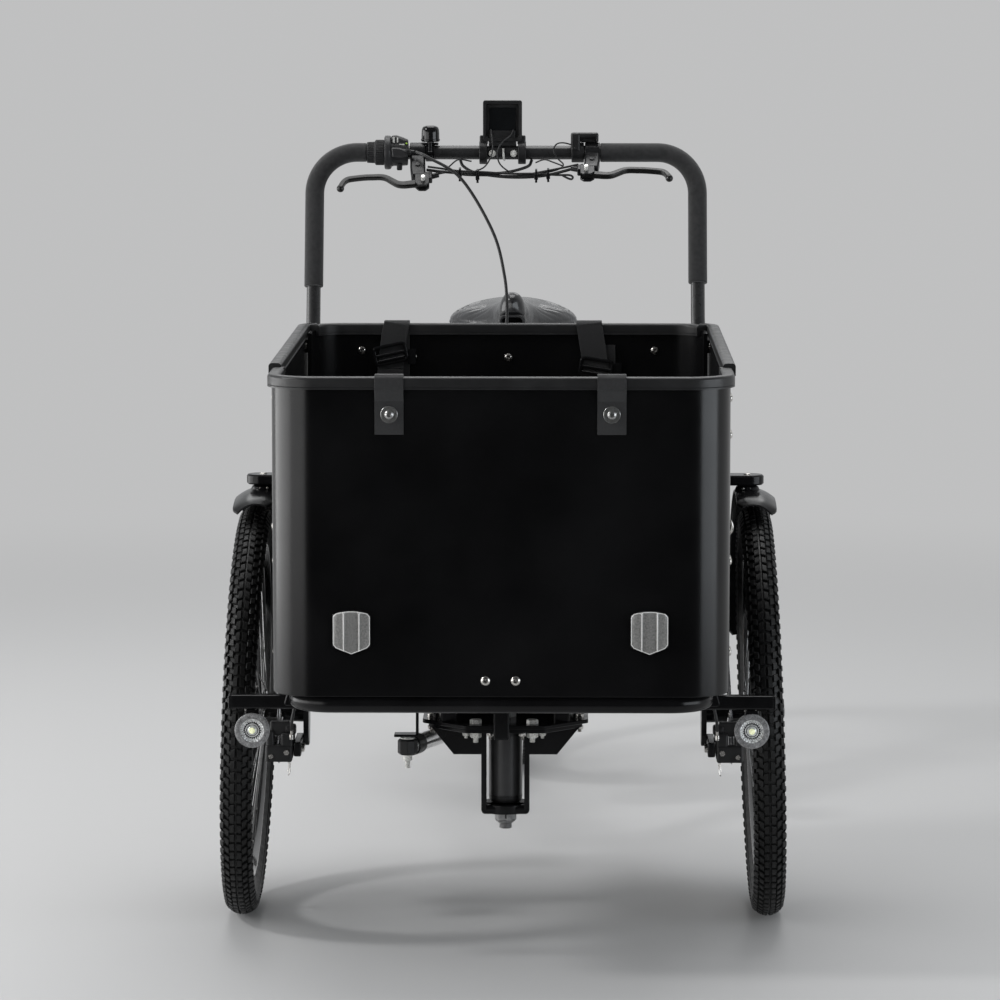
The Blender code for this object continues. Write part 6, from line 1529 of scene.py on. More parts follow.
shiftRoute = [(-0.148, 0.497, 1.124), (-0.128, 0.484, 1.116), (-0.075, 0.474, 1.082),
    (-0.0255, 0.462, 1.0), (-0.007, 0.452, 0.932), (-0.0025, 0.435, 0.878), (-0.004, 0.424, 0.82),
    (-0.004, 0.412, 0.65), (-0.004, 0.41, 0.46), (-0.004, 0.403, 0.385), (-0.006, 0.37, 0.3755),
    (-0.014, 0.26, 0.387), (-0.02, 0.1385, 0.39)]
addPiece("shiftCable", [sweep(smoothPath(shiftRoute, 14), ring(0.0025, 14), ref=(1, 0, 0))],
    "cableSleeve", stands=["shift_cable"])
brakeRoutes = [[(-0.1312, 0.4915, 1.096), (-0.105, 0.493, 1.093), (-0.06, 0.497, 1.09),
    (-0.01, 0.502, 1.091), (0.028, 0.512, 1.1), (0.036, 0.519, 1.1105)],
    [(0.1175, 0.489, 1.104), (0.09, 0.49, 1.095), (0.05, 0.497, 1.086), (0.0, 0.503, 1.084),
    (-0.05, 0.507, 1.09), (-0.072, 0.515, 1.1), (-0.078, 0.519, 1.1105)]]
wireRoutes = [
    # second and third strand of the bundle, the sensor wires and the loose loops
    [(-0.138, 0.488, 1.087), (-0.12, 0.49, 1.0885), (-0.095, 0.492, 1.0925),
     (-0.07, 0.493, 1.088), (-0.03, 0.496, 1.087), (0.015, 0.498, 1.0865),
     (0.05, 0.496, 1.0925), (0.085, 0.49, 1.0995), (0.11, 0.49, 1.105)],
    [(-0.129, 0.492, 1.101), (-0.108, 0.488, 1.0985), (-0.08, 0.49, 1.0945),
     (-0.04, 0.494, 1.0925), (0.0, 0.495, 1.09), (0.04, 0.495, 1.09),
     (0.075, 0.492, 1.088), (0.095, 0.489, 1.088), (0.101, 0.488, 1.085),
     (0.099, 0.489, 1.0815), (0.093, 0.49, 1.083), (0.085, 0.493, 1.087)],
    [(0.1, 0.512, 1.135), (0.086, 0.505, 1.1385), (0.076, 0.5, 1.137),
     (0.071, 0.497, 1.13), (0.072, 0.496, 1.122), (0.078, 0.496, 1.113),
     (0.086, 0.493, 1.104), (0.076, 0.494, 1.096), (0.045, 0.495, 1.089),
     (0.015, 0.495, 1.084)],
    [(-0.029, 0.5125, 1.159), (-0.027, 0.504, 1.145), (-0.0262, 0.4985, 1.13),
     (-0.03, 0.4965, 1.114), (-0.04, 0.496, 1.1), (-0.056, 0.495, 1.093)],
    [(0.0068, 0.5125, 1.159), (0.002, 0.505, 1.15), (-0.012, 0.499, 1.138),
     (-0.019, 0.4965, 1.123), (-0.015, 0.4955, 1.106), (-0.003, 0.495, 1.095),
     (0.01, 0.495, 1.089)],
    [(-0.101, 0.499, 1.095), (-0.093, 0.497, 1.103), (-0.08, 0.501, 1.112),
     (-0.06, 0.507, 1.109)],
    [(0.042, 0.507, 1.107), (0.056, 0.501, 1.112), (0.07, 0.496, 1.108),
     (0.086, 0.492, 1.102)]]
strands = [sweep(smoothPath(route, 10), ring(0.0024, 14)) for route in brakeRoutes]
wires = [sweep(smoothPath(route, 10), ring(0.0017 if i < 2 else 0.0012, 10),
    ref=(0, 1, 0.15)) for i, route in enumerate(wireRoutes)]
addPiece("cableBundle", strands + wires, "cableSleeve", stands=["brake_cables"])
ties = []
for x, z, lean in ((-0.078, 1.0925, 5), (-0.05, 1.09, -4), (0.043, 1.0905, 4),
    (0.062, 1.0915, -6)):
    turn = Matrix.Rotation(math.radians(lean), 3, "Y")
    loop = softRectangle(0.018, 0.0135, 0.005, 6)
    path = np.stack([np.full(len(loop), x), 0.4965 + loop[:, 0], z + loop[:, 1]], -1)
    ties.append(sweep(path, softRectangle(0.0012, 0.0034, 0.0004, 2), ref=(1, 0, 0), loop=True))
    ties.append(softBox((0.0064, 0.0056, 0.006), (x, 0.487, z - 0.0068), 0.001, 2, turn))
    ties.append(softBox((0.0036, 0.002, 0.006), (x, 0.4868, z - 0.0115), 0.0004, 1, turn))
addPiece("cableTies", ties, "glossPlastic")
print("controls done")

rear = {"crankY": 0.87, "crankZ": 0.29, "seatAngle": 70.0, "main": 0.025, "post": 0.0135,
    "axleY": 1.3104537, "axleZ": 0.33, "dropX": 0.068, "stay": 0.009, "chainX": -0.052}
cy, crankZ = rear["crankY"], rear["crankZ"]
ry, rz = rear["axleY"], rear["axleZ"]
crankCentre = Vector((0, cy, crankZ))
seatWay = Vector((0, math.cos(math.radians(rear["seatAngle"])),
    math.sin(math.radians(rear["seatAngle"]))))

def upSeat(distance):
    return crankCentre + seatWay * distance

kneeY = cy - 0.29
mainPath = roundedPath([(0, head["y"] + 0.012, 0.214), (0, kneeY, 0.24), tuple(upSeat(0.235))],
    [0.15], 22)
mainPath = denser(mainPath, 0.012)
rearForms = [sweep(mainPath, ring(rear["main"], 40), ref=(1, 0, 0))]
along = axisTo(upSeat(0.0), seatWay)
rearForms.append(lathe([(0.0141, 0.2), (0.0141, 0.4), (0.0158, 0.4002), (0.0165, 0.399),
    (0.0165, 0.0765), (0.0158, 0.075), (0, 0.075), (0, 0.2)], 40, along))
lug = softOutline([(cy - 0.095, 0.375), (cy - 0.03, 0.355), (cy + 0.035, 0.355),
    (cy + 0.052, crankZ + 0.16), (cy + 0.03, crankZ + 0.165)], 0.005, 4)
rearForms.append(plateForm(lug, 0.01, onYZ, 0.0012))
web = softOutline([(cy + 0.023, 0.372), (cy + 0.035, 0.4), (cy + 0.081, 0.335),
    (cy + 0.0805, 0.307), (cy + 0.0665, 0.307), (cy + 0.06, 0.325), (cy + 0.045, 0.345)], 0.003, 3)
rearForms.append(plateForm(web, 0.012, onYZ, 0.0012))
rearForms.append(softBox((0.088, 0.016, 0.028), (0, cy + 0.074, 0.318), 0.003, 3))
rearForms.append(rod((0, cy + 0.08, 0.318), (0, cy + 0.0955, 0.318), 0.006, 20, 0.0006))
seatTop = upSeat(0.372)
dropOutline = [(-0.036, 0.011), (-0.036, -0.013), (0.0, -0.021), (0.019, -0.012), (0.019, 0.012),
    (0.004, 0.026), (-0.014, 0.028)]
for side in (-1, 1):
    dx = side * rear["dropX"]
    stay = roundedPath([(side * 0.04, cy + 0.074, 0.318), (side * 0.044, cy + 0.16, 0.317),
        (dx, ry - 0.02, rz - 0.001)], [0.3], 12)
    stay = denser(stay, 0.01)
    size = np.ones(len(stay))
    size[-3:] = (0.92, 0.8, 0.62)
    rearForms.append(sweep(stay, ring(rear["stay"], 24), ref=(0, 0, 1), size=size))
    upper = roundedPath([(side * 0.01, seatTop.y, seatTop.z),
        (side * 0.04, seatTop.y + 0.032, seatTop.z - 0.04), (dx, ry - 0.004, rz + 0.018)], [0.02],
        10)
    upper = denser(upper, 0.01)
    size = np.ones(len(upper))
    size[-3:] = (0.92, 0.8, 0.62)
    rearForms.append(sweep(upper, ring(rear["stay"] - 0.001, 24), ref=(0, 0, 1), size=size))
    drop = softOutline([(ry + a, rz + b) for a, b in dropOutline], 0.0035, 4)
    rearForms.append(plateForm(drop, 0.005, at(dx, 0, 0) @ onYZ, 0.0008))
    # weld beads where the stay leaves the bridge and where it meets the dropout
    for start, way, r in ((stay[2], stay[3] - stay[2], rear["stay"] + 0.0004),
        (stay[-4], stay[-3] - stay[-4], rear["stay"] + 0.0001)):
        rearForms.append(lathe([(r + 0.0014 * math.cos(b),
            0.0016 * math.sin(b)) for b in np.linspace(0, 2 * np.pi, 10, endpoint=False)], 28,
            axisTo(start, way), closed=True))
# the damper's tail bracket under the main tube
rearForms.append(softBox((0.048, 0.03, 0.007), (-0.035, 0.26, 0.2397), 0.0016, 3))
# clamp collar at the top of the seat tube, with its slot and pinch lug
collarRows = [(0.0166, 0.383), (0.0188, 0.383), (0.0194, 0.3838), (0.0194, 0.3988),
    (0.0188, 0.3996), (0.0166, 0.3996)]
rearForms.append(lathe(collarRows, 40, along, closed=True))
turnSeat = Matrix.Rotation(math.radians(rear["seatAngle"] - 90), 3, "X")
rearForms.append(softBox((0.015, 0.013, 0.015), upSeat(0.3913) + Vector((0, 0.0225, -0.008)),
    0.002, 3, turnSeat))
addPiece("rearFrame", rearForms, "glossPaint", "rear_body", ["rear_frame"])

low, high = head["tubeLow"], head["tubeHigh"]
headForms = [lathe([(0.0089, low + 0.0115), (0.0249, low + 0.0115), (0.0255, low + 0.0122),
    (0.0255, high - 0.01), (0.0249, high - 0.0092), (0.0089, high - 0.0092)], 64,
    at(0, head["y"], 0), closed=True)]
addPiece("headTubeShell", headForms, "headTubePaintedSheen", "rear_body")
cups = [lathe([(0.0089, low), (0.0205, low), (0.023, low + 0.0012), (0.0247, low + 0.004),
    (0.0254, low + 0.008), (0.0254, low + 0.0116), (0.0089, low + 0.0116)], 64,
    at(0, head["y"], 0), closed=True), lathe([(0.0089, high), (0.024, high),
    (0.0253, high - 0.0012), (0.0254, high - 0.0093), (0.0089, high - 0.0093)], 64,
    at(0, head["y"], 0), closed=True)]
addPiece("headCups", cups, "blackPlastic", "rear_body")

frameSteel = []
for side in (-1, 1):
    frameSteel += [f for f in hexHead((side * 0.0712, ry, rz), (side, 0, 0), 0.015, 0.0085)]
    frameSteel.append(lathe([(0.0055, 0), (0.0105, 0), (0.0108, 0.0006), (0.0105, 0.0012),
        (0.0055, 0.0012)], 36, axisTo((side * 0.0705, ry, rz), (side, 0, 0)), closed=True))
    frameSteel += hexHead((side * 0.0654, ry, rz), (-side, 0, 0), 0.015, 0.005)
    # rack screws: legs to the dropouts, front stays to the seat stays
    frameSteel += button((side * 0.0795, ry + 0.008, rz + 0.018), (side, 0, 0), 0.005, 0.003)
frameSteel.append(rod((-0.08, ry, rz), (0.08, ry, rz), 0.0049, 20, 0.0008))
pinch = upSeat(0.3913) + Vector((0, 0.0245, -0.009))
frameSteel += button(pinch + Vector((0.0075, 0, 0)), (1, 0, 0), 0.0042, 0.0036)
frameSteel += hexHead(pinch - Vector((0.0075, 0, 0)), (-1, 0, 0), 0.008, 0.004)
for x in (-0.0285, 0.0285):
    frameSteel += hexHead((x, cy - 0.014, 0.346), (1 if x > 0 else -1, 0, 0), 0.01, 0.0048)
    frameSteel += hexHead((x, cy + 0.016, 0.346), (1 if x > 0 else -1, 0, 0), 0.01, 0.0048)
addPiece("rearBolts", frameSteel, "screwSteel", "rear_body")

saddle = {"length": 0.26, "half": 0.115, "nose": 0.0262, "crest": 0.8725, "low": 0.8035,
    "voxel": 0.0042, "cap": 0.005}
topOfPost = upSeat(0.53)
noseY = topOfPost.y - saddle["length"] / 2
addPiece("seatPost", [rod(upSeat(0.212), upSeat(0.5265), rear["post"], 40, 0.001)], "tubeMetal",
    "seat", ["seat_post"])
clampForms = [softBox((0.03, 0.044, 0.0095), (0, topOfPost.y, topOfPost.z - 0.001), 0.0034, 4),
    softBox((0.056, 0.033, 0.007), (0, topOfPost.y, topOfPost.z + 0.006), 0.003, 4),
    rod(upSeat(0.5), upSeat(0.529), rear["post"] + 0.0012, 40, 0.001)]
for side in (-1, 1):
    cradle = rod((side * 0.022, topOfPost.y - 0.019, topOfPost.z + 0.0085),
        (side * 0.022, topOfPost.y + 0.019, topOfPost.z + 0.0085), 0.0058, 24, 0.001)
    clampForms.append(cradle)
addPiece("saddleClamp", clampForms, "leverGrey", "seat")
railForms = []
for side in (-1, 1):
    zRail = topOfPost.z + 0.0085
    path = smoothPath([(side * 0.009, noseY + 0.026, zRail + 0.011),
        (side * 0.011, noseY + 0.042, zRail + 0.006),
        (side * 0.018, noseY + 0.066, zRail + 0.0008), (side * 0.022, noseY + 0.09, zRail),
        (side * 0.022, noseY + 0.13, zRail), (side * 0.022, noseY + 0.166, zRail),
        (side * 0.0265, noseY + 0.196, zRail + 0.004),
        (side * 0.034, noseY + 0.216, zRail + 0.011)], 8)
    railForms.append(sweep(path, ring(0.0034, 14)))
for y in (-0.013, 0.013):
    railForms += hexHead((0, topOfPost.y + y, topOfPost.z - 0.0058), (0, 0, -1), 0.0085, 0.0045)
addPiece("saddleRails", railForms, "screwSteel", "seat")

def softStep(t, low, high):
    s = np.clip((t - low) / (high - low), 0, 1)
    return s * s * (3 - 2 * s)

def saddleForm(shrink):
    # the half width grows from nose to wings by a soft step; each section is a squashed
    # circle |x/w| to the p plus |z/h| to the q = 1, nearly round at the nose, low and wide
    # at the wings; both ends close along a quarter ellipse
    t = np.linspace(0, 1, 72)
    flare = softStep(t, 0.2, 0.8)
    ends = np.sqrt(np.clip(1 - (np.clip(0.105 - t, 0, 1) / 0.105) ** 2, 0.0016, 1))
    ends = ends * np.sqrt(np.clip(1 - (np.clip(t - 0.8, 0, 1) / 0.2) ** 2.4, 0.0009, 1))
    half = (saddle["nose"] + 0.006 * softStep(t, 0.06,
        0.3) + (saddle["half"] - saddle["nose"] - 0.006) * flare) * ends - shrink
    half = np.maximum(half, 0.0012)
    low = saddle["low"] + 0.026 * (1 - softStep(t, 0.03, 0.26)) + 0.004 * softStep(t, 0.86, 1)
    crest = saddle["crest"] - 0.024 * softStep(t, 0.14, 0.55)
    height = np.maximum((crest - shrink - low) * np.minimum(1, 0.3 + 0.7 * ends), 0.004)
    low = low + (crest - low - height) * 0.45 * (ends < 0.999)
    a = np.linspace(0, np.pi, 41)
    p = 0.8 + 0.05 * flare[:, None]
    q = 0.88 + 0.07 * flare[:, None]
    cosA, sinA = np.cos(a)[None, :], np.sin(a)[None, :]
    x = half[:, None] * np.sign(cosA) * np.abs(cosA) ** p
    z = height[:, None] * np.abs(sinA) ** q
    # a shallow groove down the middle of the rear half
    z = z - 0.0042 * softStep(t, 0.35, 0.6)[:, None] * np.exp(-(x / 0.012) ** 2) * sinA
    b = np.linspace(np.pi, 2 * np.pi, 14)[1:-1]
    under = half[:, None] * np.cos(b)[None, :]
    lift = 0.006 * (1 - (np.cos(b)[None, :]) ** 4) * flare[:, None]
    y = noseY + shrink + t * (saddle["length"] - 2 * shrink)
    rows = np.stack([np.concatenate([x, under], 1),
        np.broadcast_to(y[:, None], (len(t), 41 + len(b))),
        low[:, None] + np.concatenate([z, np.broadcast_to(lift, under.shape)], 1)], -1)
    return gridForm(rows)

def evaluated(obj):
    bpy.context.view_layer.update()
    graph = bpy.context.evaluated_depsgraph_get()
    return bpy.data.meshes.new_from_object(obj.evaluated_get(graph), depsgraph=graph)

def spots(mesh):
    flat = np.empty(len(mesh.vertices) * 3, np.float32)
    mesh.vertices.foreach_get("co", flat)
    return flat.reshape(-1, 3).astype(float)

def puffed(mesh, voxel, cap, heldBelow):
    # even mesh, twenty frames of cloth with air pressure inside, and no point further than
    # the cap from where it began; the base below a height is held
    work = bpy.data.objects.new("puffWork", mesh)
    bpy.context.scene.collection.objects.link(work)
    even = work.modifiers.new("even", "REMESH")
    even.mode = "VOXEL"
    even.voxel_size = voxel
    work.data = evaluated(work)
    work.modifiers.clear()
    start = spots(work.data)
    held = work.vertex_groups.new(name="held")
    held.add([int(i) for i in np.nonzero(start[:, 2] < heldBelow)[0]], 1.0, "REPLACE")
    cloth = work.modifiers.new("cloth", "CLOTH")
    cloth.settings.use_pressure = True
    cloth.settings.uniform_pressure_force = 4.0
    cloth.settings.effector_weights.gravity = 0.0
    cloth.settings.vertex_group_mass = "held"
    cloth.settings.quality = 6
    for number in range(1, 21):
        bpy.context.scene.frame_set(number)
    blown = evaluated(work)
    move = spots(blown) - start
    long = np.linalg.norm(move, axis=1, keepdims=True)
    start = start + move * np.minimum(1.0, cap / np.maximum(long, 1e-9))
    work.modifiers.clear()
    bpy.context.scene.frame_set(1)
    work.data.vertices.foreach_set("co", start.astype(np.float32).ravel())
    finer = work.modifiers.new("finer", "SUBSURF")
    finer.levels = finer.render_levels = 1
    made = evaluated(work)
    bpy.data.objects.remove(work)
    return made

cushion = puffed(meshOf("saddleCover", [saddleForm(0.003)]), saddle["voxel"], saddle["cap"],
    saddle["low"] + 0.0045)
points = spots(cushion)
px, py, pz = points[:, 0], points[:, 1] - axleShift - noseY, points[:, 2]
normals = np.empty(len(points) * 3, np.float32)
cushion.vertices.foreach_get("normal", normals)
normals = normals.reshape(-1, 3).astype(float)
dent = np.zeros(len(points))
for k in range(4):
    # pressed lines on each wing: slanted, one behind the other
    away = (py - 0.118 - 0.011 * k) * 0.8 - (np.abs(px) - 0.05) * 0.6
    reach = np.exp(-((np.abs(px) - 0.055 - 0.004 * k) / 0.022) ** 4)
    dent += 0.0005 * np.exp(-(away / 0.002) ** 2) * reach * (normals[:, 2] > 0.3)
# the seam low on the side, where the cover is pulled under
seam = saddle["low"] + 0.0085
dent += 0.0009 * np.exp(-((pz - seam) / 0.0016) ** 2) * (py > 0.075)
points = points - normals * dent[:, None]
cushion.vertices.foreach_set("co", points.astype(np.float32).ravel())
cushion.shade_smooth()
saddleObject = bpy.data.objects.new("saddleCover", cushion)
bpy.context.scene.collection.objects.link(saddleObject)
cushion.materials.clear()
cushion.materials.append(finishes["saddleVinyl"])
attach(saddleObject, "seat")
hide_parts("saddle")
print("saddle points:", len(points))

# hard shell under the cover, open at the nose, and the soft rim round that opening
mouth = softRectangle(0.044, 0.03, 0.01, 6)
inner = softRectangle(0.035, 0.0215, 0.008, 6)
mouthZ = saddle["low"] + 0.015
rowsOut = [(mouth * 0.93, 0.0052), (mouth, 0.0066), (mouth * 1.02, 0.015), (mouth, 0.04),
    (inner, 0.04), (inner, 0.008), (inner * 1.06, 0.0052)]
mouthForm = gridForm(np.stack([np.stack([p[:, 0], np.full(len(p), noseY + y), mouthZ + p[:, 1]],
    -1) for p, y in rowsOut]), loop=True)
addPiece("saddleMouth", [mouthForm], "gripRubber", "seat")
t = np.linspace(0.16, 0.93, 24)
edge = (0.02 + (saddle["half"] - 0.034) * softStep(t, 0.22,
    0.8)) * np.sqrt(np.clip(1 - (np.clip(t - 0.74, 0, 1) / 0.22) ** 2.4, 0.05, 1))
base = np.stack([np.concatenate([edge, -edge[::-1]]),
    noseY + saddle["length"] * np.concatenate([t, t[::-1]])], -1)
addPiece("saddleShell", [plateForm(base, 0.004, at(0, 0, saddle["low"] + 0.0012), 0.001)],
    "blackPlastic", "seat")
print("seat done")

rearWheel = at(0, ry, rz) @ Matrix.Rotation(math.pi / 2, 4, "Y")

def onRearWheel(forms):
    return [placed(f, rearWheel) for f in forms]

rearBead = 0.2795
addPiece("rearTyre", onRearWheel(tyreForms(0.305, 0.0212, rearBead, 120)), "tyreRubber",
    "back_wheel", ["rear_tyre"])
wires, nipples = spokeForms(0.0315, 0.0283, rearBead, 36)
hubRows = [(0.0058, 0.056), (0.013, 0.056), (0.014, 0.055), (0.015, 0.046), (0.016, 0.04),
    (0.0215, 0.033), (0.024, 0.0305), (0.033, 0.03), (0.034, 0.0293), (0.034, 0.0272),
    (0.0332, 0.0265), (0.0285, 0.025), (0.027, 0.0225), (0.027, -0.0225), (0.0285, -0.025),
    (0.0332, -0.0265), (0.034, -0.0272), (0.034, -0.0293), (0.033, -0.03), (0.024, -0.0315),
    (0.0215, -0.0345), (0.0158, -0.044), (0.0158, -0.0555), (0.015, -0.056), (0.0058, -0.056)]
addPiece("rearRim", onRearWheel(rimForms(rearBead) + [lathe(hubRows, 64, closed=True)]),
    "glossPaint", "back_wheel", ["rear_wheel"])
addPiece("rearSpokes", onRearWheel(wires), "spokeSteel", "back_wheel")
addPiece("rearNipples", onRearWheel(nipples), "screwSteel", "back_wheel")
rearValve = [rod((0.2612, 0, 0), (0.237, 0, 0), 0.003, 16),
    rod((0.238, 0, 0), (0.2245, 0, 0), 0.0042, 16, 0.001)]
addPiece("rearValve", onRearWheel(rearValve), "blackPlastic", "back_wheel")
rearShell = guardForm(0.344, 0.03, -11.25, 191.25, (0, ry, rz), 0.008, 0.003, 110)
addPiece("rearGuard", [rearShell], "glossPaint", "rear_body", ["rear_mudguard"])

chain = {"links": 100, "pitch": 0.0127, "teeth": (40, 20), "roller": 0.0038, "plate": 0.0041,
    "waist": 0.0029}
ringR, cogR = (chain["pitch"] / 2 / math.sin(math.pi / n) for n in chain["teeth"])
apart = math.hypot(ry - cy, rz - crankZ)
lean = math.asin((ringR - cogR) / apart)
tilt = math.atan2(rz - crankZ, ry - cy)
frontArc = np.linspace(tilt + np.pi / 2 - lean, tilt + 3 * np.pi / 2 + lean, 500)
backArc = np.linspace(tilt - np.pi / 2 + lean, tilt + np.pi / 2 - lean, 300)
run = np.vstack([np.stack([cy + ringR * np.cos(frontArc), crankZ + ringR * np.sin(frontArc)], -1),
    np.stack([ry + cogR * np.cos(backArc), rz + cogR * np.sin(backArc)], -1)])
run = np.vstack([run, run[:1]])
far = np.concatenate([[0], np.cumsum(np.linalg.norm(np.diff(run, axis=0), axis=1))])
stops = far[-1] * (np.arange(chain["links"]) + 0.5) / chain["links"]
joints = np.stack([np.interp(stops, far, run[:, k]) for k in range(2)], -1)

def phaseAt(centre, radius, count):
    # direction of the chain joint that lies on this ring, to set its tooth gaps by
    away = np.hypot(joints[:, 0] - centre[0], joints[:, 1] - centre[1]) - radius
    on = np.nonzero(np.abs(away) < 0.0002)[0]
    angles = np.arctan2(joints[on, 1] - centre[1], joints[on, 0] - centre[0])
    return np.angle(np.exp(1j * angles * count).mean()) / count

def toothedRing(radius, count, inner, thick, centre):
    # the edge is lowest where a roller sits and rises to a tip half a pitch away
    a = np.linspace(0, 2 * np.pi, count * 10, endpoint=False)
    turnBy = phaseAt((centre[1], centre[2]), radius, count)
    wave = (0.5 - 0.5 * np.cos(count * (a - turnBy))) ** 1.8
    outer = radius - 0.0039 + 0.0062 * wave
    rows = []
    for base, blend, height in ((inner, 0, -thick / 2), (radius - 0.0046, 0, -thick / 2),
        (outer, 1, -thick * 0.28), (outer, 1, thick * 0.28), (radius - 0.0046, 0, thick / 2),
        (inner, 0, thick / 2)):
        r = base if blend else np.full(len(a), base)
        rows.append(np.stack([r * np.cos(a), r * np.sin(a), np.full(len(a), height)], -1))
    return placed(gridForm(np.stack(rows), loop=True), at(*centre) @ onYZ)

links, pins = [], []
b = np.radians(np.linspace(-118, 118, 9))
k = chain["pitch"]
endOne = np.stack([k + chain["plate"] * np.cos(b), chain["plate"] * np.sin(b)], -1)
endTwo = np.stack([-chain["plate"] * np.cos(b), -chain["plate"] * np.sin(b)], -1)
plateOutline = np.vstack([endOne, [(k / 2, chain["waist"])], endTwo, [(k / 2, -chain["waist"])]])
for i in range(chain["links"]):
    one, two = joints[i], joints[(i + 1) % chain["links"]]
    way = math.atan2(two[1] - one[1], two[0] - one[0])
    inOrOut = 0.0017 if i % 2 else 0.0028
    for side in (-1, 1):
        place = (at(rear["chainX"] + side * inOrOut, one[0], one[1]) @ onYZ @ Matrix.Rotation(way,
            4, "Z"))
        links.append(plateForm(plateOutline, 0.001, place, 0.00015))
    middle = at(rear["chainX"], one[0], one[1]) @ Matrix.Rotation(math.pi / 2, 4, "Y")
    links.append(lathe([(chain["roller"], -0.0011), (chain["roller"], 0.0011)], 12, middle))
    pins.append(lathe([(0.0014, -0.0037), (0.0018, -0.0034), (0.0018, 0.0034), (0.0014, 0.0037)],
        8, middle))
addPiece("chainLinks", links, "chainSteel", "rear_body", ["chain"])
addPiece("chainPins", pins, "discSteel", "rear_body")
cog = [toothedRing(cogR, 20, 0.0166, 0.002, (rear["chainX"], ry, rz)),
    lathe([(0.0166, -0.0015), (0.023, -0.0015), (0.0236, -0.0008), (0.0236, 0.0008),
    (0.023, 0.0015), (0.0166, 0.0015)], 48, at(rear["chainX"], ry, rz) @ onYZ, closed=True)]
addPiece("rearCog", cog, "chainSteel", "driven_sprocket", ["rear_sprocket"])

chainring = [toothedRing(ringR, 40, 0.061, 0.002, (rear["chainX"], cy, crankZ))]
spider = [lathe([(0.0086, -0.004), (0.021, -0.004), (0.0222, -0.003), (0.0222, 0.0026),
    (0.021, 0.0036), (0.0086, 0.0036)], 48, at(rear["chainX"], cy, crankZ) @ onYZ, closed=True)]
ringBolts = []
armShape = softOutline([(0.017, -0.0095), (0.05, -0.0062), (0.066, -0.007), (0.069, 0.0),
    (0.066, 0.007), (0.05, 0.0062), (0.017, 0.0095)], 0.003, 4)
for i in range(5):
    turnArm = Matrix.Rotation(2 * math.pi / 5 * i + 0.31, 4, "Z")
    place = at(rear["chainX"] - 0.0028, cy, crankZ) @ onYZ @ turnArm
    spider.append(plateForm(armShape, 0.0034, place, 0.0008))
    spot = place @ Vector((0.064, 0, -0.0017))
    ringBolts += button(spot, (-1, 0, 0), 0.0048, 0.0022)
    ringBolts += [lathe([(0.0046, 0), (0.005, 0.0004), (0.0046, 0.0014), (0, 0.0016)], 24,
        axisTo(Vector((rear["chainX"] + 0.001, spot.y, spot.z)), (1, 0, 0)))]

def armOutline(length, hub, tip):
    # two end circles joined by sides that pull in a little between them
    a = np.linspace(np.pi / 2, 3 * np.pi / 2, 15)
    back = np.stack([hub * np.cos(a), hub * np.sin(a)], -1)
    front = np.stack([length + tip * np.cos(a + np.pi), tip * np.sin(a + np.pi)], -1)
    s = np.linspace(0, 1, 14)[1:-1]
    side = hub + (tip - hub) * s - 0.0028 * np.sin(np.pi * s) ** 0.8
    lower = np.stack([length * s, -side], -1)
    return np.vstack([back, lower, front, (lower * [1, -1])[::-1]])

crankForms = []
shape = armOutline(0.17, 0.015, 0.0118)
for side, way in ((1, -1), (-1, 1)):
    outlineArm = shape * [way, 1]
    crankForms.append(plateForm(outlineArm, 0.011, at(side * 0.0705, cy, crankZ) @ onYZ, 0.0026))
    crankForms.append(lathe([(0.0086, 0), (0.0124, 0), (0.0128, 0.001), (0.0128, 0.0046),
        (0.012, 0.0056), (0.0086, 0.0056)], 40, axisTo((side * 0.06, cy, crankZ), (side, 0, 0)),
        closed=True))
addPiece("crankArms", crankForms + spider, "leverBlack", "cranks", ["crankset"])
addPiece("chainWheel", chainring, "discSteel", "cranks")
axles = [rod((-0.0765, cy, crankZ), (0.0765, cy, crankZ), 0.0084, 32, 0.0008)]
for side, way in ((1, -1), (-1, 1)):
    end = cy + way * 0.17
    axles.append(rod((side * 0.075, end, crankZ), (side * 0.185, end, crankZ), 0.0048, 24, 0.001))
    axles += hexHead((side * 0.0762, end, crankZ), (side, 0, 0), 0.015, 0.0036)
    axles.append(lathe([(0.0098, 0), (0.0102, 0.0006), (0.0098, 0.0016), (0.005, 0.0018, 1),
        (0.0048, 0.0006, 1), (0, 0.0004)], 32, axisTo((side * 0.0758, cy, crankZ), (side, 0, 0))))
addPiece("crankAxles", axles + ringBolts, "screwSteel", "cranks")

pedalForms = [softBox((0.096, 0.0085, 0.019), (0, y, 0), 0.0022, 3) for y in (-0.0405, 0.0405)]
pedalForms += [softBox((0.0085, 0.086, 0.019), (x, 0, 0), 0.0022, 3) for x in (-0.0435, 0.0435)]
for y in (-0.0225, 0.0225):
    pedalForms.append(softBox((0.088, 0.005, 0.012), (0, y, 0), 0.0014, 2))
pedalForms.append(lathe([(0.0056, -0.044), (0.009, -0.044), (0.0104, -0.038), (0.0098, 0.0),
    (0.0104, 0.038), (0.009, 0.044), (0.0056, 0.044)], 32, Matrix.Rotation(math.pi / 2, 4, "Y"),
    closed=True))
for x in (-0.026, 0.0, 0.026):
    pedalForms.append(softBox((0.006, 0.08, 0.01), (x, 0, -0.003), 0.0014, 2))
for x in np.linspace(-0.04, 0.04, 9):
    for y in (-0.0405, 0.0405):
        for z in (-1, 1):
            pedalForms.append(softBox((0.0036, 0.006, 0.0022), (x, y, z * 0.009), 0.0007, 1))
catEyes = [softBox((0.056, 0.0022, 0.011), (0, y, 0), 0.0008, 2) for y in (-0.0448, 0.0448)]
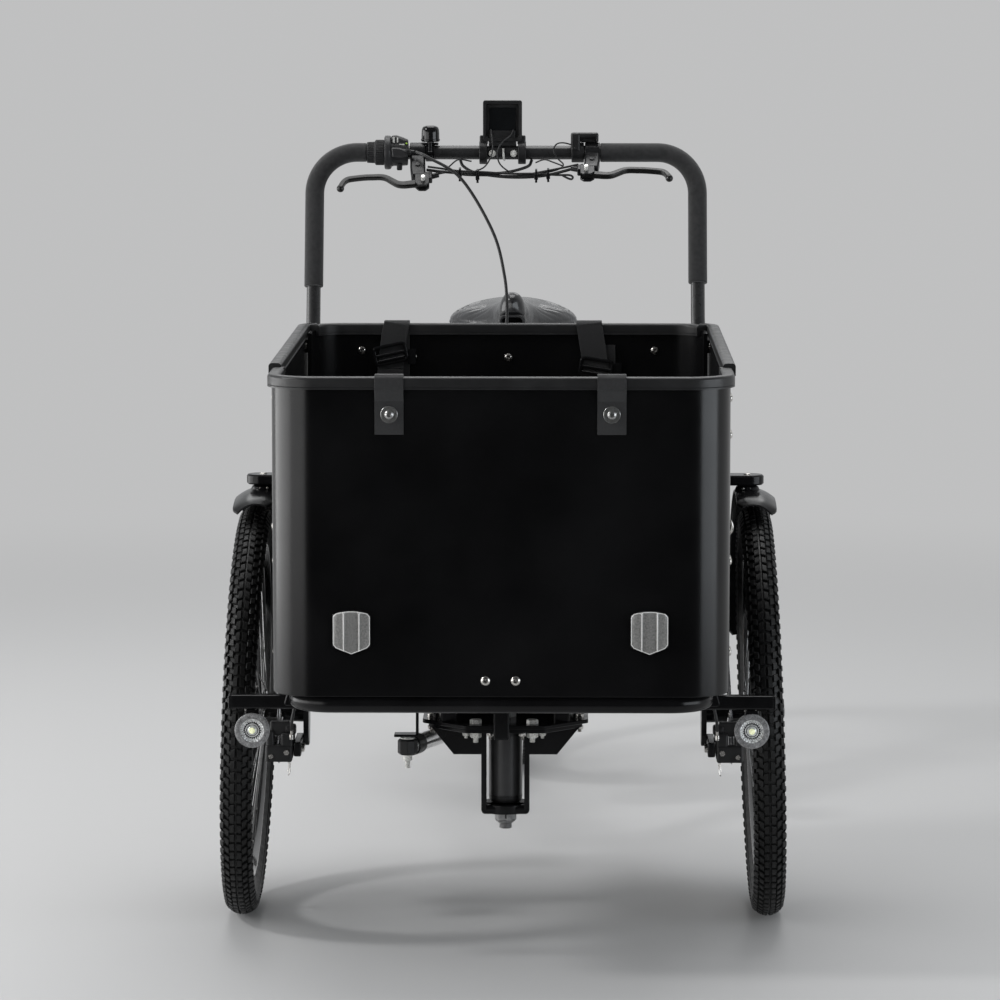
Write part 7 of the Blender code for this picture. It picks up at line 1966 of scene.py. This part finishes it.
for name, side, way in (("left", 1, -1), ("right", -1, 1)):
    place = at(side * 0.134, cy + way * 0.17, crankZ)
    body = name + "_pedal_body"
    # the three cross ribs run across the pedal a little below its middle, through the axle
    addPiece(name + "Pedal", [placed(f, place) for f in pedalForms], "blackPlastic", body,
        [name + "_pedal"])
    addPiece(name + "PedalEyes", [placed(f, place) for f in catEyes], "amberGlass", body)

casing = [(0.0095, -0.035), (0.03, -0.035), (0.0306, -0.0344), (0.0306, -0.0332), (0.048, -0.033),
    (0.053, -0.0325), (0.0572, -0.0306), (0.0594, -0.028), (0.06, -0.025)]
for x in np.linspace(-0.019, 0.019, 7):
    casing += [(0.06, x - 0.0018), (0.0588, x - 0.0012), (0.0588, x + 0.0012), (0.06, x + 0.0018)]
casing += [(r, -x) for r, x in casing[:9][::-1]]
onAxleX = Matrix.Translation(crankCentre) @ Matrix.Rotation(math.pi / 2, 4, "Y")
motorForms = [lathe(casing, 96, onAxleX, closed=True),
    softBox((0.056, 0.055, 0.02), (0, cy, 0.3435), 0.003, 4),
    rod((0.018, cy + 0.052, crankZ + 0.018), (0.018, cy + 0.068, crankZ + 0.0235), 0.0062, 24,
    0.0012)]
addPiece("motorCase", motorForms, "shiftGrey", "rear_body", ["motor"])
cover, coverBolts = [], []
for side in (-1, 1):
    cover.append(lathe([(0.033, 0.0332), (0.047, 0.0332), (0.048, 0.0338), (0.047, 0.0346),
        (0.034, 0.0348), (0.033, 0.0344)], 72,
        onAxleX if side > 0 else onAxleX @ Matrix.Rotation(math.pi, 4, "X"), closed=True))
    for i in range(6):
        a = math.pi / 3 * i + 0.25
        coverBolts += button((side * 0.0338, cy + 0.0405 * math.cos(a),
            crankZ + 0.0405 * math.sin(a)), (side, 0, 0), 0.0034, 0.002)
addPiece("motorCovers", cover, "leverBlack", "rear_body")
addPiece("motorScrews", coverBolts, "screwSteel", "rear_body")
motorCable = smoothPath([(0.018, cy + 0.066, crankZ + 0.0228), (0.019, cy + 0.076, 0.322),
    (0.024, cy + 0.086, 0.35), (0.024, cy + 0.09, 0.4), (0.0215, cy + 0.106, 0.47),
    (0.023, cy + 0.13, 0.54), (0.028, cy + 0.17, 0.6), (0.033, cy + 0.23, 0.67),
    (0.03, cy + 0.272, 0.715)], 8)
addPiece("motorCable", [sweep(motorCable, ring(0.003, 14), ref=(1, 0, 0))], "cableSleeve",
    "rear_body")
print("drive done")

rack = {"half": 0.062, "first": ry - 0.205, "last": ry + 0.195, "z": 0.702, "tube": 0.005}
first, last, rackZ = rack["first"], rack["last"], rack["z"]
loop = roundedPath([(0, first, rackZ), (rack["half"], first, rackZ), (rack["half"], last, rackZ),
    (-rack["half"], last, rackZ), (-rack["half"], first, rackZ), (0, first, rackZ)], 0.016, 8)[:-1]
rackForms = [sweep(loop, ring(rack["tube"], 20), loop=True)]
for y in (first + 0.09, ry, last - 0.09):
    rackForms.append(rod((-rack["half"], y, rackZ), (rack["half"], y, rackZ), 0.0042, 18))
guardHigh = rz + 0.344 + 0.0015
rackForms.append(rod((0, ry, guardHigh + 0.0003), (0, ry, rackZ), 0.006, 20))
rackForms.append(lathe([(0.006, 0), (0.0115, 0), (0.0118, 0.0008), (0.0112, 0.0022),
    (0.006, 0.0024)], 32, at(0, ry, guardHigh + 0.0003), closed=True))
for side in (-1, 1):
    legLow = Vector((side * 0.075, ry + 0.008, rz + 0.018))
    rackForms.append(rod(legLow, (side * rack["half"], ry + 0.06, rackZ), 0.004, 18))
    rackForms.append(lathe([(0.003, -0.0025), (0.0078, -0.0025), (0.0084, -0.0018),
        (0.0084, 0.0018), (0.0078, 0.0025), (0.003, 0.0025)], 28, axisTo(legLow, (1, 0, 0)),
        closed=True))
    stayLow = Vector((side * 0.057, seatTop.y + 0.07, seatTop.z - 0.078))
    rackForms.append(rod(stayLow, (side * rack["half"], first + 0.012, rackZ), 0.004, 18))
    rackForms.append(rod(stayLow + Vector((-side * 0.009, 0, 0)),
        stayLow + Vector((side * 0.005, 0, 0)), 0.006, 22, 0.001))
addPiece("rackTubes", rackForms, "glossPaint", "rear_body", ["rear_rack"])

pack = {"size": (0.11, 0.34, 0.06), "y": (first + last) / 2, "z": rackZ + 0.0353}
sizeX, sizeY, sizeZ = pack["size"]
# the lower tray and the upper case meet in a groove
trayZ = pack["z"] - sizeZ / 2
packForms = [softBox((sizeX, sizeY, 0.019), (0, pack["y"], trayZ + 0.0095), 0.006, 5),
    softBox((sizeX - 0.0024, sizeY - 0.0024, 0.03), (0, pack["y"], trayZ + 0.026), 0.006, 5),
    softBox((sizeX, sizeY, 0.04), (0, pack["y"], trayZ + 0.04), 0.009, 6)]
for x in (-0.03, -0.01, 0.01, 0.03):
    packForms.append(softBox((0.005, sizeY - 0.06, 0.003), (x, pack["y"], trayZ + 0.059), 0.0012,
        2))
addPiece("batteryCase", packForms, "blackPlastic", "rear_body", ["battery"])
rearFace = pack["y"] + sizeY / 2
tailForms = [softBox((0.072, 0.006, 0.017), (0, rearFace - 0.0026, trayZ + 0.04), 0.0026, 4)]
addPiece("tailLens", tailForms, "redGlass", "rear_body")
handle = smoothPath([(-0.03, pack["y"] - sizeY / 2 + 0.004, trayZ + 0.03),
    (-0.029, pack["y"] - sizeY / 2 - 0.008, trayZ + 0.029),
    (-0.02, pack["y"] - sizeY / 2 - 0.012, trayZ + 0.0285),
    (0.02, pack["y"] - sizeY / 2 - 0.012, trayZ + 0.0285),
    (0.029, pack["y"] - sizeY / 2 - 0.008, trayZ + 0.029),
    (0.03, pack["y"] - sizeY / 2 + 0.004, trayZ + 0.03)], 6)
addPiece("batteryHandle", [sweep(handle, softRectangle(0.01, 0.005, 0.0018, 3))], "gripRubber",
    "rear_body")
lockForms = [lathe([(0.009, -0.001), (0.009, 0.0008), (0.008, 0.0014), (0.0062, 0.0014),
    (0.0058, 0.0006), (0, 0.0006)], 36, axisTo((sizeX / 2 - 0.0002, pack["y"] - 0.12,
    trayZ + 0.036), (1, 0, 0))), softBox((0.0014, 0.0022, 0.007),
    (sizeX / 2 + 0.0006, pack["y"] - 0.12, trayZ + 0.036), 0.0004, 1)]
addPiece("batteryLock", lockForms, "boltZinc", "rear_body")
portForms = [softBox((0.0024, 0.024, 0.015), (sizeX / 2 - 0.0002, pack["y"] + 0.09, trayZ + 0.038),
    0.0011, 3)]
addPiece("chargePort", portForms, "gripRubber", "rear_body")
print("rear done")
